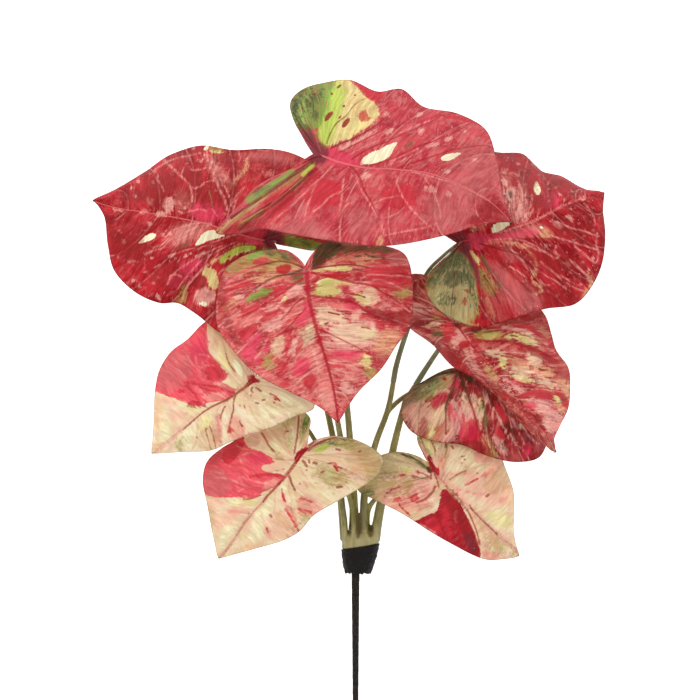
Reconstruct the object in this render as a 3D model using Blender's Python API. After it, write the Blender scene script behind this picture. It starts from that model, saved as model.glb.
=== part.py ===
"""An artificial caladium bush, laid on its back: nine printed leaves on moulded stems, a collar and a pick.

The leaves and stems are drawn on a plan, as the photograph shows them from straight above. A plan point is
(column, row, height): its pixel in the 700 x 700 photograph, and its height over the surface in millimetres.
place() turns it into metres. Each list of points is read by eye, and a smooth curve runs through it.
"""
from dataclasses import dataclass
import math

import bpy
from mathutils import Vector
from mathutils.bvhtree import BVHTree
import numpy as np

MM = 0.001

# The plan: the real size of a pixel on the surface, the eye over its middle, and the pixel of the origin.
PIXEL = 0.8 * MM
EYE_HEIGHT = 2400 * MM
EYE_PIXEL = (350.0, 350.0)
ORIGIN_PIXEL = (347.9, 412.65)

GAP = 0.3 * MM              # between pieces that touch
BLADE_THICKNESS = 0.8 * MM
CAMBER = 0.07               # how far a half leaf arches up, for each unit of its width
EDGE_WAVE = 0.022           # how far its edge waves, for each unit of its width
EDGE_WAVES = 5              # waves along one side of a leaf
FAN = 0.36                  # share of the margin that the veins from the joint reach, from the notch
VEIN_SLANT = 1.2            # above 1, the side veins lean towards the tip

STALK_SIDES = 8
STALK_RING_STEP = 11 * MM
RING_DETAIL = 4             # points of a stem's line for each of its rings
SLEEVE_DEPTH = 8 * MM       # how far a stalk slips over its stem's spur
SPUR_RADIUS = 1.2 * MM
STALK_TIP_RADIUS = 1.3 * MM
STEM_ROOT_RADIUS = 3.4 * MM

# The block, the collar and the pick lie along rows of the plan, at these columns and heights.
BLOCK_TOP_ROW = 530
SHOULDER_ROW = 546          # where the collar's upper rim meets the block
COLLAR_END_ROW = 573
PICK_END_ROW = 740
BLOCK_COLUMN = 360.5
COLLAR_END_COLUMN = 358.0
PICK_COLUMN = 355.5
BLOCK_HEIGHT = 16
BLOCK_HALF = (14.8 * MM, 11.0 * MM)         # half width and half depth
COLLAR_HALF = (15.2 * MM, 11.6 * MM)
COLLAR_END_HALF = (10.4 * MM, 9.4 * MM)
RIM_SLANT = -0.16           # the collar's rim rises towards +X
SPIGOT_DEPTH = 8 * MM       # how far the block reaches into the collar
SPIGOT_SHARE = 0.8          # the spigot's width over the block's
PICK_DEPTH = 8 * MM         # how far the pick reaches into the collar
PICK_RADII = (3.4 * MM, 2.2 * MM)
ROUND_SIDES = 16


@dataclass
class Leaf:
    """Plan points of one leaf. Left and right are seen from the joint, looking to the tip."""

    size: str
    rib: list       # from the joint with the stalk to the tip
    notch: tuple    # where the two lobes part
    left: list      # margin, from the notch to the tip
    right: list


@dataclass
class Stem:
    """Plan points from the block to the leaf's joint, which the leaf itself gives."""

    path: list
    mouth: float        # share of the length where the leaf's stalk takes over
    mouth_radius: float
    root_radius: float = STEM_ROOT_RADIUS


LEAVES = {
    "top": Leaf(
        "large",
        rib=[(322, 155, 112), (358, 166, 120), (400, 169, 126), (430, 173, 127), (460, 184, 126),
             (490, 201, 123), (512, 222, 118)],
        notch=(313, 154, 110),
        left=[(303, 138, 96), (293, 118, 76), (291, 101, 62), (304, 89, 54), (328, 82, 52), (350, 80, 56),
              (378, 92, 68), (401, 89, 66), (424, 107, 80), (458, 114, 84), (485, 129, 90), (496, 158, 102),
              (502, 192, 112)],
        right=[(296, 165, 106), (276, 180, 96), (256, 187, 88), (240, 205, 86), (216, 232, 90), (236, 234, 106),
               (262, 229, 122), (285, 233, 134), (325, 240, 144), (384, 246, 150), (447, 235, 144),
               (480, 225, 132)]),
    "left": Leaf(
        "large",
        rib=[(264, 240, 58), (240, 234, 66), (205, 223, 70), (170, 216, 66), (140, 211, 56), (115, 207, 46),
             (92, 200, 38)],
        notch=(274, 242, 57),
        left=[(283, 262, 62), (297, 298, 68), (290, 332, 78), (256, 346, 83), (222, 334, 80), (196, 314, 75),
              (177, 303, 66), (160, 303, 66), (135, 292, 64), (114, 270, 58), (108, 245, 54), (104, 216, 46)],
        right=[(292, 246, 50), (318, 250, 40), (338, 232, 30), (338, 200, 20), (322, 172, 12), (298, 156, 5),
               (270, 149, 0), (232, 150, 0), (200, 146, 0), (170, 155, 6), (145, 172, 20), (118, 188, 31)]),
    "right": Leaf(
        "large",
        rib=[(462, 241, 80), (480, 237, 88), (505, 229, 92), (530, 220, 88), (558, 208, 76), (583, 198, 62),
             (605, 192, 50)],
        notch=(457, 243, 79),
        left=[(446, 236, 72), (424, 222, 58), (402, 195, 42), (408, 165, 26), (438, 150, 12), (472, 148, 0),
              (500, 153, 0), (522, 154, 0), (535, 165, 13), (543, 172, 20), (560, 176, 26), (580, 187, 37),
              (592, 191, 44)],
        right=[(448, 257, 84), (431, 271, 83), (425, 286, 82), (434, 305, 86), (455, 320, 94), (482, 327, 102),
               (512, 319, 106), (545, 309, 100), (575, 304, 90), (592, 286, 82), (602, 263, 74), (605, 236, 66),
               (603, 208, 56)]),
    "front": Leaf(
        "medium",
        rib=[(307, 272, 150), (309, 298, 157), (316, 328, 158), (326, 360, 153), (334, 392, 145), (338, 424, 134)],
        notch=(305, 266, 149),
        left=[(313, 253, 141), (324, 243, 132), (352, 242, 124), (385, 246, 117), (405, 255, 111), (412, 280, 108),
              (410, 325, 118), (396, 346, 130), (381, 369, 138), (358, 392, 140), (347, 408, 138)],
        right=[(297, 257, 142), (285, 250, 134), (262, 251, 126), (238, 259, 120), (223, 273, 114), (217, 298, 110),
               (218, 327, 112), (232, 349, 120), (258, 375, 130), (290, 392, 137), (318, 406, 138)]),
    "mid_right": Leaf(
        "medium",
        rib=[(457, 324, 82), (471, 345, 95), (492, 370, 101), (518, 398, 97), (542, 428, 86), (556, 453, 74)],
        notch=(451, 317, 80),
        left=[(470, 300, 74), (500, 290, 60), (528, 298, 52), (544, 314, 50), (551, 333, 46), (556, 350, 52),
              (568, 368, 46), (570, 386, 44), (568, 408, 52), (559, 427, 62), (554, 440, 68)],
        right=[(444, 294, 70), (427, 276, 56), (410, 275, 52), (398, 290, 48), (398, 312, 46), (409, 327, 48),
               (432, 344, 52), (454, 367, 55), (475, 378, 52), (500, 400, 48), (528, 430, 56)]),
    "low_right": Leaf(
        "medium",
        rib=[(460, 371, 36), (482, 374, 38), (508, 380, 32), (538, 390, 20), (565, 402, 9)],
        notch=(454, 368, 35),
        left=[(463, 350, 32), (478, 328, 26), (505, 318, 18), (532, 325, 12), (550, 347, 9), (561, 374, 8)],
        right=[(443, 371, 34), (424, 381, 31), (406, 395, 31), (401, 412, 33), (410, 430, 36), (432, 441, 38),
               (462, 445, 39), (488, 456, 38), (515, 462, 34), (538, 458, 27), (547, 444, 20), (557, 424, 13)]),
    "mid_left": Leaf(
        "small",
        rib=[(251, 381, 84), (232, 395, 88), (205, 411, 85), (178, 432, 75), (151, 454, 62)],
        notch=(257, 376, 84),
        left=[(272, 376, 90), (296, 385, 96), (312, 396, 98), (314, 408, 98), (296, 416, 96), (268, 429, 92),
              (245, 436, 88), (228, 443, 82), (212, 450, 76), (180, 452, 68)],
        right=[(256, 364, 76), (250, 345, 66), (236, 326, 58), (219, 315, 54), (204, 323, 56), (188, 339, 60),
               (170, 353, 60), (159, 372, 60), (155, 392, 62), (154, 420, 64)]),
    "low_left": Leaf(
        "small",
        rib=[(299, 455, 68), (288, 470, 74), (272, 490, 75), (255, 510, 71), (236, 536, 63), (218, 559, 56)],
        notch=(307, 446, 67),
        left=[(316, 440, 66), (332, 436, 62), (352, 439, 60), (372, 448, 62), (383, 459, 66), (378, 475, 72),
              (360, 488, 80), (336, 502, 84), (313, 516, 82), (300, 531, 77), (284, 540, 72), (250, 550, 64)],
        right=[(309, 432, 64), (310, 418, 58), (297, 409, 51), (270, 411, 46), (250, 424, 46), (238, 438, 48),
               (221, 449, 48), (207, 462, 48), (203, 482, 50), (207, 503, 54), (212, 530, 56)]),
    "low_front": Leaf(
        "small",
        rib=[(436, 474, 46), (450, 488, 52), (470, 508, 52), (492, 530, 45), (520, 556, 35)],
        notch=(428, 463, 43),
        left=[(422, 452, 35), (417, 438, 24), (421, 420, 14), (442, 410, 8), (472, 420, 7), (496, 444, 9),
              (505, 468, 14), (513, 490, 20), (514, 512, 25), (514, 535, 30)],
        right=[(414, 455, 42), (396, 452, 40), (376, 458, 38), (360, 474, 37), (358, 490, 38), (378, 501, 42),
               (403, 514, 45), (428, 530, 46), (452, 544, 46), (484, 559, 42), (504, 559, 39)]),
}

STEMS = {
    "top": Stem([(356, 540, 20), (354, 500, 28), (350, 440, 46), (347, 405, 60), (343, 360, 74), (338, 300, 86),
                 (333, 250, 94), (328, 205, 99)], mouth=0.42, mouth_radius=2.4 * MM),
    "left": Stem([(344, 540, 15), (341, 500, 17), (336, 455, 23), (331, 428, 27), (324, 398, 29), (311, 358, 30),
                  (295, 310, 33), (279, 268, 42)], mouth=0.55, mouth_radius=2.2 * MM),
    "right": Stem([(366, 540, 20), (364, 500, 24), (370, 465, 27), (376, 442, 28), (388, 409, 30), (397, 363, 34),
                   (408, 328, 38), (418, 297, 42), (427, 273, 48), (442, 257, 60)], mouth=0.48,
                  mouth_radius=2.2 * MM),
    "front": Stem([(351, 540, 10), (353, 505, 17), (347, 468, 33), (341, 440, 47), (336, 412, 66),
                   (329, 370, 92), (319, 322, 120), (311, 290, 137)], mouth=0.5, mouth_radius=2.2 * MM),
    "mid_right": Stem([(375, 540, 15), (380, 508, 17), (388, 475, 20), (393, 450, 22), (399, 425, 24),
                       (406, 402, 25), (420, 378, 29), (437, 352, 41), (450, 334, 62)], mouth=0.6,
                      mouth_radius=2.2 * MM, root_radius=4.4 * MM),
    "low_right": Stem([(387, 413, 30), (392, 407, 26), (404, 397, 18), (425, 386, 16), (446, 376, 22)],
                      mouth=0.45, mouth_radius=2.0 * MM, root_radius=2.2 * MM),
    "low_front": Stem([(370, 540, 14), (367, 520, 17), (370, 506, 21), (382, 494, 27), (406, 484, 31),
                       (424, 478, 35)], mouth=0.55, mouth_radius=1.8 * MM, root_radius=2.6 * MM),
    "low_left": Stem([(354, 540, 22), (352, 508, 31), (347, 492, 38), (338, 480, 42), (322, 466, 52),
                      (308, 459, 60)],
                     mouth=0.55, mouth_radius=1.8 * MM, root_radius=2.8 * MM),
    "mid_left": Stem([(345, 540, 21), (342, 505, 30), (332, 468, 38), (317, 444, 42), (309, 431, 42),
                      (296, 414, 42), (285, 402, 46), (268, 391, 62)], mouth=0.6, mouth_radius=1.8 * MM,
                     root_radius=2.8 * MM),
}

# Rows of faces along one side of a blade, and cells from the rib to the edge.
BLADE_FACES = {"large": (26, 4), "medium": (22, 4), "small": (18, 3)}

FABRIC_RED = (0.52, 0.05, 0.08)
FABRIC_PINK = (0.60, 0.10, 0.16)
FABRIC_CREAM = (0.78, 0.58, 0.36)
BLADE_COLOURS = {"large": FABRIC_RED, "medium": FABRIC_PINK, "small": FABRIC_CREAM}
STALK_COLOUR = (0.30, 0.33, 0.16)
STEM_COLOUR = (0.22, 0.24, 0.09)
COLLAR_COLOUR = (0.017, 0.010, 0.012)
PICK_COLOUR = (0.045, 0.034, 0.029)


def clear_scene():
    for obj in list(bpy.data.objects):
        bpy.data.objects.remove(obj, do_unlink=True)


def place(point):
    """A plan point in metres, in the part's own frame."""
    column, row, height = point
    scale = PIXEL * (1 - height * MM / EYE_HEIGHT)
    x = (EYE_PIXEL[0] - ORIGIN_PIXEL[0]) * PIXEL + (column - EYE_PIXEL[0]) * scale
    y = (ORIGIN_PIXEL[1] - EYE_PIXEL[1]) * PIXEL + (EYE_PIXEL[1] - row) * scale
    return np.array((x, y, height * MM))


def smooth_path(points, shares, detail=24):
    """Points at the given shares of the length of a smooth curve through all the points."""
    points = np.asarray(points, float)
    knots = np.concatenate([[0.0], np.cumsum(np.linalg.norm(np.diff(points, axis=0), axis=1) ** 0.5)])
    slopes = np.gradient(points, knots, axis=0, edge_order=2)
    curve = [points[:1]]
    for k in range(len(points) - 1):
        span = knots[k + 1] - knots[k]
        u = np.linspace(0, 1, detail + 1)[1:, None]
        curve.append((2 * u**3 - 3 * u**2 + 1) * points[k] + (u**3 - 2 * u**2 + u) * span * slopes[k]
                     + (3 * u**2 - 2 * u**3) * points[k + 1] + (u**3 - u**2) * span * slopes[k + 1])
    curve = np.vstack(curve)
    length = np.concatenate([[0.0], np.cumsum(np.linalg.norm(np.diff(curve, axis=0), axis=1))])
    wanted = np.asarray(shares) * length[-1]
    return np.stack([np.interp(wanted, length, curve[:, axis]) for axis in range(3)], axis=1)


def path_length(points):
    return float(np.linalg.norm(np.diff(points, axis=0), axis=1).sum())


def half_blade(leaf, side, rows, cells):
    """The middle surface of one half: points[row][cell], from the notch to the tip and from the rib outwards."""
    along = np.linspace(0, 1, rows + 1)
    rib = [place(p) for p in leaf.rib]
    margin = [place(p) for p in [leaf.notch] + getattr(leaf, side) + [leaf.rib[-1]]]
    from_joint = np.clip((along - FAN) / (1 - FAN), 0, 1) ** VEIN_SLANT
    spine = smooth_path(rib, from_joint)
    edge = smooth_path(margin, along)
    out = np.linspace(0, 1, cells + 1)[None, :, None]
    points = spine[:, None] * (1 - out) + edge[:, None] * out
    width = np.linalg.norm(edge - spine, axis=1)[:, None, None]
    wave = np.sin(2 * math.pi * EDGE_WAVES * along)[:, None, None]
    lift = CAMBER * width * 4 * out * (1 - out) + EDGE_WAVE * width * wave * out**3
    points[:, :, 2:] += lift
    points[:, :, 2] = np.maximum(points[:, :, 2], BLADE_THICKNESS / 2)
    return points


def blade_surface(leaf, rows, cells):
    """Vertices, triangles and outline of a whole blade's middle surface, facing up."""
    halves = {side: half_blade(leaf, side, rows, cells) for side in ("left", "right")}
    vertices, index = [], {}

    def vertex(side, row, cell):
        if row == rows:
            key = "tip"
        elif cell == 0:
            key = "joint" if row <= FAN * rows else ("rib", row)
        elif row == 0:
            key = ("notch", cell)
        else:
            key = (side, row, cell)
        if key not in index:
            index[key] = len(vertices)
            vertices.append(halves[side][row, cell])
        return index[key]

    triangles = []
    for side in halves:
        for row in range(rows):
            for cell in range(cells):
                corners = [vertex(side, row, cell), vertex(side, row + 1, cell),
                           vertex(side, row + 1, cell + 1), vertex(side, row, cell + 1)]
                if side == "right":
                    corners.reverse()
                for tri in ((0, 1, 2), (0, 2, 3)):
                    face = tuple(corners[k] for k in tri)
                    if len(set(face)) == 3:
                        triangles.append(face)
    outline = [vertex("left", row, cells) for row in range(rows + 1)]
    outline += [vertex("right", row, cells) for row in range(rows - 1, 0, -1)]
    return np.array(vertices), triangles, outline


def vertex_normals(vertices, triangles):
    normals = np.zeros_like(vertices)
    for a, b, c in triangles:
        area = np.cross(vertices[b] - vertices[a], vertices[c] - vertices[a])
        for corner in (a, b, c):
            normals[corner] += area
    return normals / np.linalg.norm(normals, axis=1)[:, None]


def add_object(name, vertices, faces, colour, roughness):
    mesh = bpy.data.meshes.new(name)
    mesh.from_pydata([tuple(v) for v in vertices], [], faces)
    mesh.validate()
    obj = bpy.data.objects.new(name, mesh)
    bpy.context.scene.collection.objects.link(obj)
    material = bpy.data.materials.new(name)
    material.use_nodes = True
    shader = material.node_tree.nodes["Principled BSDF"]
    shader.inputs["Base Color"].default_value = (*colour, 1)
    shader.inputs["Roughness"].default_value = roughness
    mesh.materials.append(material)
    mesh.shade_smooth()
    mesh.set_sharp_from_angle(angle=math.radians(50))
    return obj


def make_blade(name, leaf):
    """A thin closed blade, split into the same triangles on both faces."""
    middle, triangles, outline = blade_surface(leaf, *BLADE_FACES[leaf.size])
    normals = vertex_normals(middle, triangles)
    on_surface = middle[:, 2] <= BLADE_THICKNESS / 2 + 1e-9
    normals[on_surface] = (0, 0, 1)
    top = middle + normals * BLADE_THICKNESS / 2
    bottom = middle - normals * BLADE_THICKNESS / 2
    bottom[:, 2] = np.maximum(bottom[:, 2], 0)
    count = len(middle)
    faces = list(triangles) + [tuple(v + count for v in reversed(face)) for face in triangles]
    for a, b in zip(outline, outline[1:] + outline[:1]):
        faces += [(a, b, b + count), (a, b + count, a + count)]
    return add_object(f"leaf_{name}", np.vstack([top, bottom]), faces, BLADE_COLOURS[leaf.size], 0.55)


def ring_axes(direction):
    """Two unit vectors square to a direction, the first one level."""
    across = np.cross(direction, (0, 0, 1))
    across /= np.linalg.norm(across)
    return across, np.cross(direction, across)


def round_ring(centre, direction, radius, sides):
    across, up = ring_axes(direction)
    turn = 2 * math.pi * np.arange(sides) / sides
    return centre + radius * (np.cos(turn)[:, None] * across + np.sin(turn)[:, None] * up)


def skin(rings):
    """Vertices and faces of a closed body through a row of rings with the same number of sides."""
    sides = len(rings[0])
    faces = [tuple(reversed(range(sides)))]
    for k in range(len(rings) - 1):
        for side in range(sides):
            after = (side + 1) % sides
            faces.append((k * sides + side, k * sides + after, (k + 1) * sides + after, (k + 1) * sides + side))
    last = (len(rings) - 1) * sides
    faces.append(tuple(range(last, last + sides)))
    return np.vstack(rings), faces


def stem_line(stem, leaf):
    """The stem's whole smooth line, to a point just behind the leaf's joint."""
    points = [place(p) for p in stem.path + leaf.rib[:1]]
    count = RING_DETAIL * max(8, round(path_length(points) / STALK_RING_STEP))
    return smooth_path(points, np.linspace(0, 1, count + 1))


def directions(line):
    steps = np.gradient(line, axis=0)
    return steps / np.linalg.norm(steps, axis=1)[:, None]


def make_stem_tube(name, stem, leaf):
    """One stem of the moulding, with the thinner spur that its leaf's stalk slips over."""
    line = stem_line(stem, leaf)
    turn = directions(line)
    mouth = round(stem.mouth * (len(line) - 1))
    rings = []
    for k in list(range(0, mouth - RING_DETAIL // 2, RING_DETAIL)) + [mouth]:
        radius = stem.root_radius + (stem.mouth_radius - stem.root_radius) * k / mouth
        rings.append(round_ring(line[k], turn[k], radius, STALK_SIDES))
    for reach in (0, SLEEVE_DEPTH - GAP):
        rings.append(round_ring(line[mouth] + turn[mouth] * reach, turn[mouth], SPUR_RADIUS, STALK_SIDES))
    vertices, faces = skin(rings)
    return add_object(name, vertices, faces, STEM_COLOUR, 0.5)


def make_stalk(name, stem, leaf, blade):
    """A leaf's stalk: a sleeve over the stem's spur, then a rod that ends in a foot behind the blade."""
    line = stem_line(stem, leaf)
    turn = directions(line)
    mouth = round(stem.mouth * (len(line) - 1))
    start, way = line[mouth], turn[mouth]
    sleeve = [(SLEEVE_DEPTH, SPUR_RADIUS + GAP), (GAP, SPUR_RADIUS + GAP), (GAP, stem.mouth_radius),
              (SLEEVE_DEPTH + 2 * MM, stem.mouth_radius)]
    rings = [round_ring(start + way * reach, way, radius, STALK_SIDES) for reach, radius in sleeve]
    first = next(k for k in range(mouth, len(line)) if path_length(line[mouth:k + 1]) > SLEEVE_DEPTH + 8 * MM)
    last = next(k for k in range(len(line) - 1, 0, -1) if path_length(line[k:]) > 6 * MM)
    for k in range(first, last + 1, RING_DETAIL):
        share = (k - first) / (last - first)
        radius = stem.mouth_radius + (STALK_TIP_RADIUS - stem.mouth_radius) * share
        rings.append(round_ring(line[k], turn[k], radius, STALK_SIDES))
    rings.append(foot_ring(line[-1], rings[-1].mean(axis=0), blade))
    vertices, faces = skin(rings)
    return add_object(f"stalk_{name}", vertices, faces, STALK_COLOUR, 0.5)


def foot_ring(joint, before, blade):
    """The stalk's last ring, square to its way in, as near the blade's back as the gap allows."""
    tree = BVHTree.FromPolygons([v.co for v in blade.data.vertices], [tuple(p.vertices) for p in blade.data.polygons])
    way = joint - before
    reach = np.linalg.norm(way)
    way = way / reach
    ring = round_ring(before, way, STALK_TIP_RADIUS, STALK_SIDES)
    hits = [tree.ray_cast(Vector(point), Vector(way), 2 * reach) for point in list(ring) + [before]]
    ring += way * (min(hit[3] for hit in hits if hit[0] is not None) - GAP)
    while min(tree.find_nearest(Vector(point))[3] for point in ring) < GAP:
        ring -= way * GAP / 4
    return ring


def oval_ring(row, column, height, half, slant=0.0):
    """A ring across the part's length, in the plan's row, with its rim slanted across the width."""
    centre = place((column, row, height))
    turn = 2 * math.pi * np.arange(ROUND_SIDES) / ROUND_SIDES - math.pi / 2
    x = half[0] * np.cos(turn)
    z = half[1] * np.sin(turn)
    return centre + np.stack([x, -slant * x, z], axis=1)


def scaled(half, share):
    return half[0] * share, half[1] * share


def make_block():
    """The block that the stems grow from, with the spigot that sits in the collar."""
    spigot = scaled(BLOCK_HALF, SPIGOT_SHARE)
    spigot_row = SHOULDER_ROW + SPIGOT_DEPTH / PIXEL
    rings = [
        oval_ring(BLOCK_TOP_ROW, BLOCK_COLUMN, BLOCK_HEIGHT, scaled(BLOCK_HALF, 0.62)),
        oval_ring(BLOCK_TOP_ROW + 3, BLOCK_COLUMN, BLOCK_HEIGHT, scaled(BLOCK_HALF, 0.88), RIM_SLANT / 2),
        oval_ring(BLOCK_TOP_ROW + 8, BLOCK_COLUMN, BLOCK_HEIGHT, BLOCK_HALF, RIM_SLANT),
        oval_ring(SHOULDER_ROW, BLOCK_COLUMN, BLOCK_HEIGHT, BLOCK_HALF, RIM_SLANT),
        oval_ring(SHOULDER_ROW, BLOCK_COLUMN, BLOCK_HEIGHT, spigot, RIM_SLANT),
        oval_ring(spigot_row, BLOCK_COLUMN, BLOCK_HEIGHT, spigot),
    ]
    vertices, faces = skin(rings)
    return add_object("stems", vertices, faces, STEM_COLOUR, 0.5)


def make_collar():
    """The collar, with a bore at each end: one for the block's spigot, one for the pick."""
    bore = scaled(BLOCK_HALF, SPIGOT_SHARE)
    bore = (bore[0] + GAP, bore[1] + GAP)
    rim_row = SHOULDER_ROW + GAP / PIXEL
    bore_end_row = SHOULDER_ROW + (SPIGOT_DEPTH + GAP) / PIXEL
    waist_row = (SHOULDER_ROW + COLLAR_END_ROW) / 2
    waist_half = tuple((a + b) / 2 for a, b in zip(COLLAR_HALF, COLLAR_END_HALF))
    pick_bore = (PICK_RADII[0] + GAP, PICK_RADII[0] + GAP)
    rings = [
        oval_ring(bore_end_row, BLOCK_COLUMN, BLOCK_HEIGHT, bore),
        oval_ring(rim_row, BLOCK_COLUMN, BLOCK_HEIGHT, bore, RIM_SLANT),
        oval_ring(rim_row, BLOCK_COLUMN, BLOCK_HEIGHT, COLLAR_HALF, RIM_SLANT),
        oval_ring(waist_row, (BLOCK_COLUMN + COLLAR_END_COLUMN) / 2, BLOCK_HEIGHT, waist_half, RIM_SLANT / 2),
        oval_ring(COLLAR_END_ROW, COLLAR_END_COLUMN, BLOCK_HEIGHT, COLLAR_END_HALF),
        oval_ring(COLLAR_END_ROW, PICK_COLUMN, BLOCK_HEIGHT, pick_bore),
        oval_ring(COLLAR_END_ROW - PICK_DEPTH / PIXEL, PICK_COLUMN, BLOCK_HEIGHT, pick_bore),
    ]
    vertices, faces = skin(rings)
    return add_object("collar", vertices, faces, COLLAR_COLOUR, 0.7)


def make_pick():
    """The pick, from its seat in the collar down to its end, which rests on the surface."""
    top_row = COLLAR_END_ROW - (PICK_DEPTH - GAP) / PIXEL
    end_height = PICK_RADII[1] / MM
    rings = []
    for row, share in ((top_row, 0), (COLLAR_END_ROW, 0), (650, 0.5), (PICK_END_ROW - 3, 1), (PICK_END_ROW, 1)):
        radius = PICK_RADII[0] + (PICK_RADII[1] - PICK_RADII[0]) * share
        fall = max(0.0, (row - COLLAR_END_ROW) / (PICK_END_ROW - COLLAR_END_ROW))
        height = BLOCK_HEIGHT + (end_height - BLOCK_HEIGHT) * fall
        rings.append(oval_ring(row, PICK_COLUMN, height, (radius, radius)))
    vertices, faces = skin(rings)
    return add_object("pick", vertices, faces, PICK_COLOUR, 0.8)


def join_stems(block, tubes):
    """The block and all its stems as one moulding."""
    group = bpy.data.collections.new("stem_tubes")
    for tube in tubes:
        group.objects.link(tube)
    union = block.modifiers.new("stems", "BOOLEAN")
    union.operation = "UNION"
    union.operand_type = "COLLECTION"
    union.collection = group
    with bpy.context.temp_override(object=block):
        bpy.ops.object.modifier_apply(modifier=union.name)
    for tube in tubes:
        bpy.data.objects.remove(tube, do_unlink=True)
    bpy.data.collections.remove(group)


def main():
    clear_scene()
    for name, leaf in LEAVES.items():
        blade = make_blade(name, leaf)
        make_stalk(name, STEMS[name], leaf, blade)
    tubes = [make_stem_tube(f"tube_{name}", STEMS[name], LEAVES[name]) for name in STEMS]
    join_stems(make_block(), tubes)
    make_collar()
    make_pick()


main()
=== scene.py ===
"""The looks of an artificial caladium bush lying on its back: printed leaves, stems, stalks, collar and pick.

The leaves and stems repeat the plan that the solids are drawn on, in finer steps. A plan point is (column,
row, height): its pixel in the 700 x 700 photograph, and its height over the surface in millimetres. The print
on each leaf is drawn on the same plan, as patches and strokes of named inks, and the materials' own
noise gives them their ragged edges, streaks and flecks. Some of the marks and of the cloth's colours are
painted shade, painted sheen and painted highlights, not print.
"""

from bisect import bisect_left, bisect_right
from dataclasses import dataclass
import math

import bpy
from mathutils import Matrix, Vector, noise
import numpy as np


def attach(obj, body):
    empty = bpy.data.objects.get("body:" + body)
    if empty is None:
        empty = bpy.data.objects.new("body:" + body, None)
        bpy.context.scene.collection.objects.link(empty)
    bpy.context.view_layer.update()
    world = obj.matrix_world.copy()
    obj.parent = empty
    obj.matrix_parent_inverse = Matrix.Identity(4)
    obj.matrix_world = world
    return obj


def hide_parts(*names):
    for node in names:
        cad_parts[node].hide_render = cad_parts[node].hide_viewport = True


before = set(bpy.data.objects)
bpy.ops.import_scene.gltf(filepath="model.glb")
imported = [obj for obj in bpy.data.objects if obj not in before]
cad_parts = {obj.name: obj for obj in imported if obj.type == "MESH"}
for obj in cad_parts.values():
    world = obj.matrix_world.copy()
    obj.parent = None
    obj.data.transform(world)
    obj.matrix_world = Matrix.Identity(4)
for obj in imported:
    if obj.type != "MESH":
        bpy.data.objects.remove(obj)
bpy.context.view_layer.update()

MM = 0.001

# The plan, as in the part's source.
PIXEL = 0.8 * MM
EYE_HEIGHT = 2400 * MM
EYE_PIXEL = (350.0, 350.0)
ORIGIN_PIXEL = (347.9, 412.65)
PHOTO_PIXELS = 700

# The form of the solids, as in the part's source.
GAP = 0.3 * MM              # between pieces that touch
SOLID_THICKNESS = 0.8 * MM
CAMBER = 0.07               # how far a half leaf arches up, for each unit of its width
EDGE_WAVE = 0.022           # how far its edge waves, for each unit of its width
EDGE_WAVES = 5              # waves along one side of a leaf
FAN = 0.36                  # share of the margin that the veins from the joint reach, from the notch
VEIN_SLANT = 1.2            # above 1, the side veins lean towards the tip
STALK_RING_STEP = 11 * MM
LEAST_RINGS = 8
RING_DETAIL = 4             # points of a stem's line for each of the solid's rings
SLEEVE_DEPTH = 8 * MM       # how far a stalk slips over its stem's spur
SPUR_RADIUS = 1.2 * MM
STALK_TIP_RADIUS = 1.3 * MM
STEM_ROOT_RADIUS = 3.4 * MM
BLOCK_TOP_ROW = 530
SHOULDER_ROW = 546          # where the collar's upper rim meets the block
COLLAR_END_ROW = 573
PICK_END_ROW = 740
BLOCK_COLUMN = 360.5
COLLAR_END_COLUMN = 358.0
PICK_COLUMN = 355.5
BLOCK_HEIGHT = 16
BLOCK_HALF = (14.8 * MM, 11.0 * MM)         # half width and half depth
COLLAR_HALF = (15.2 * MM, 11.6 * MM)
COLLAR_END_HALF = (10.4 * MM, 9.4 * MM)
RIM_SLANT = -0.16           # the collar's rim rises towards +X
SPIGOT_DEPTH = 8 * MM       # how far the block reaches into the collar
SPIGOT_SHARE = 0.8          # the spigot's width over the block's
PICK_DEPTH = 8 * MM         # how far the pick reaches into the collar
PICK_RADII = (3.4 * MM, 2.2 * MM)

# The leaf's finer form.
FABRIC_THICKNESS = 0.5 * MM
TOP_FLOOR = 0.3 * MM        # the upper face stays this far over the surface that the bush lies on
TOP_STEP = 1.1 * MM         # how long the sides of the fabric's cells are at most, on its face and its back
BACK_STEP = 2.4 * MM
LATTICE = (1536, 384)       # the finest cells: steps from the notch to the tip, and from the rib to the edge
LATTICE_BLOCK = 32          # the coarsest cell, in those steps
VEINS = (0.05, 0.14, 0.24, 0.34, 0.44, 0.55, 0.66, 0.77, 0.88)
OUTER_VEINS = (-0.06, 1.02)             # one more before the notch and one past the tip close the row
VEIN_BEND = 0.06            # how far a side vein leans on towards the tip, at the edge
QUILT = 0.045               # how high the fabric puffs between two veins, for each unit of their spacing
QUILT_LIMIT = 1.0 * MM
QUILT_START = 6 * MM        # nearer to the rib, the quilting is lower
VEIN_GROOVE = (0.5 * MM, 1.3 * MM)      # depth and half width
VEIN_FADE = 60 * MM         # near the joint, where a unit of along spans less than this, the grooves fade
RIB_GROOVE = (1.1 * MM, 2.6 * MM)
EDGE_FADE = 6               # the relief fades over the last sixth of a half leaf's width ...
EDGE_RELIEF = 0.15          # ... to this share of itself
SHARE_STEP = 1e-3           # how far on and back along the margin a slope is measured
HALF_OFFSET = 2.5           # keeps the noise of a leaf's two halves apart
LEAF_OFFSET = 7.0           # the same for two leaves
INK_REACH = 6.0             # a mark's distance is kept to this many millimetres
STROKE_REACH = 4            # half of the widest stroke, in pixels
STROKE_DETAIL = 6           # straight pieces between two points of a stroke

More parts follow.
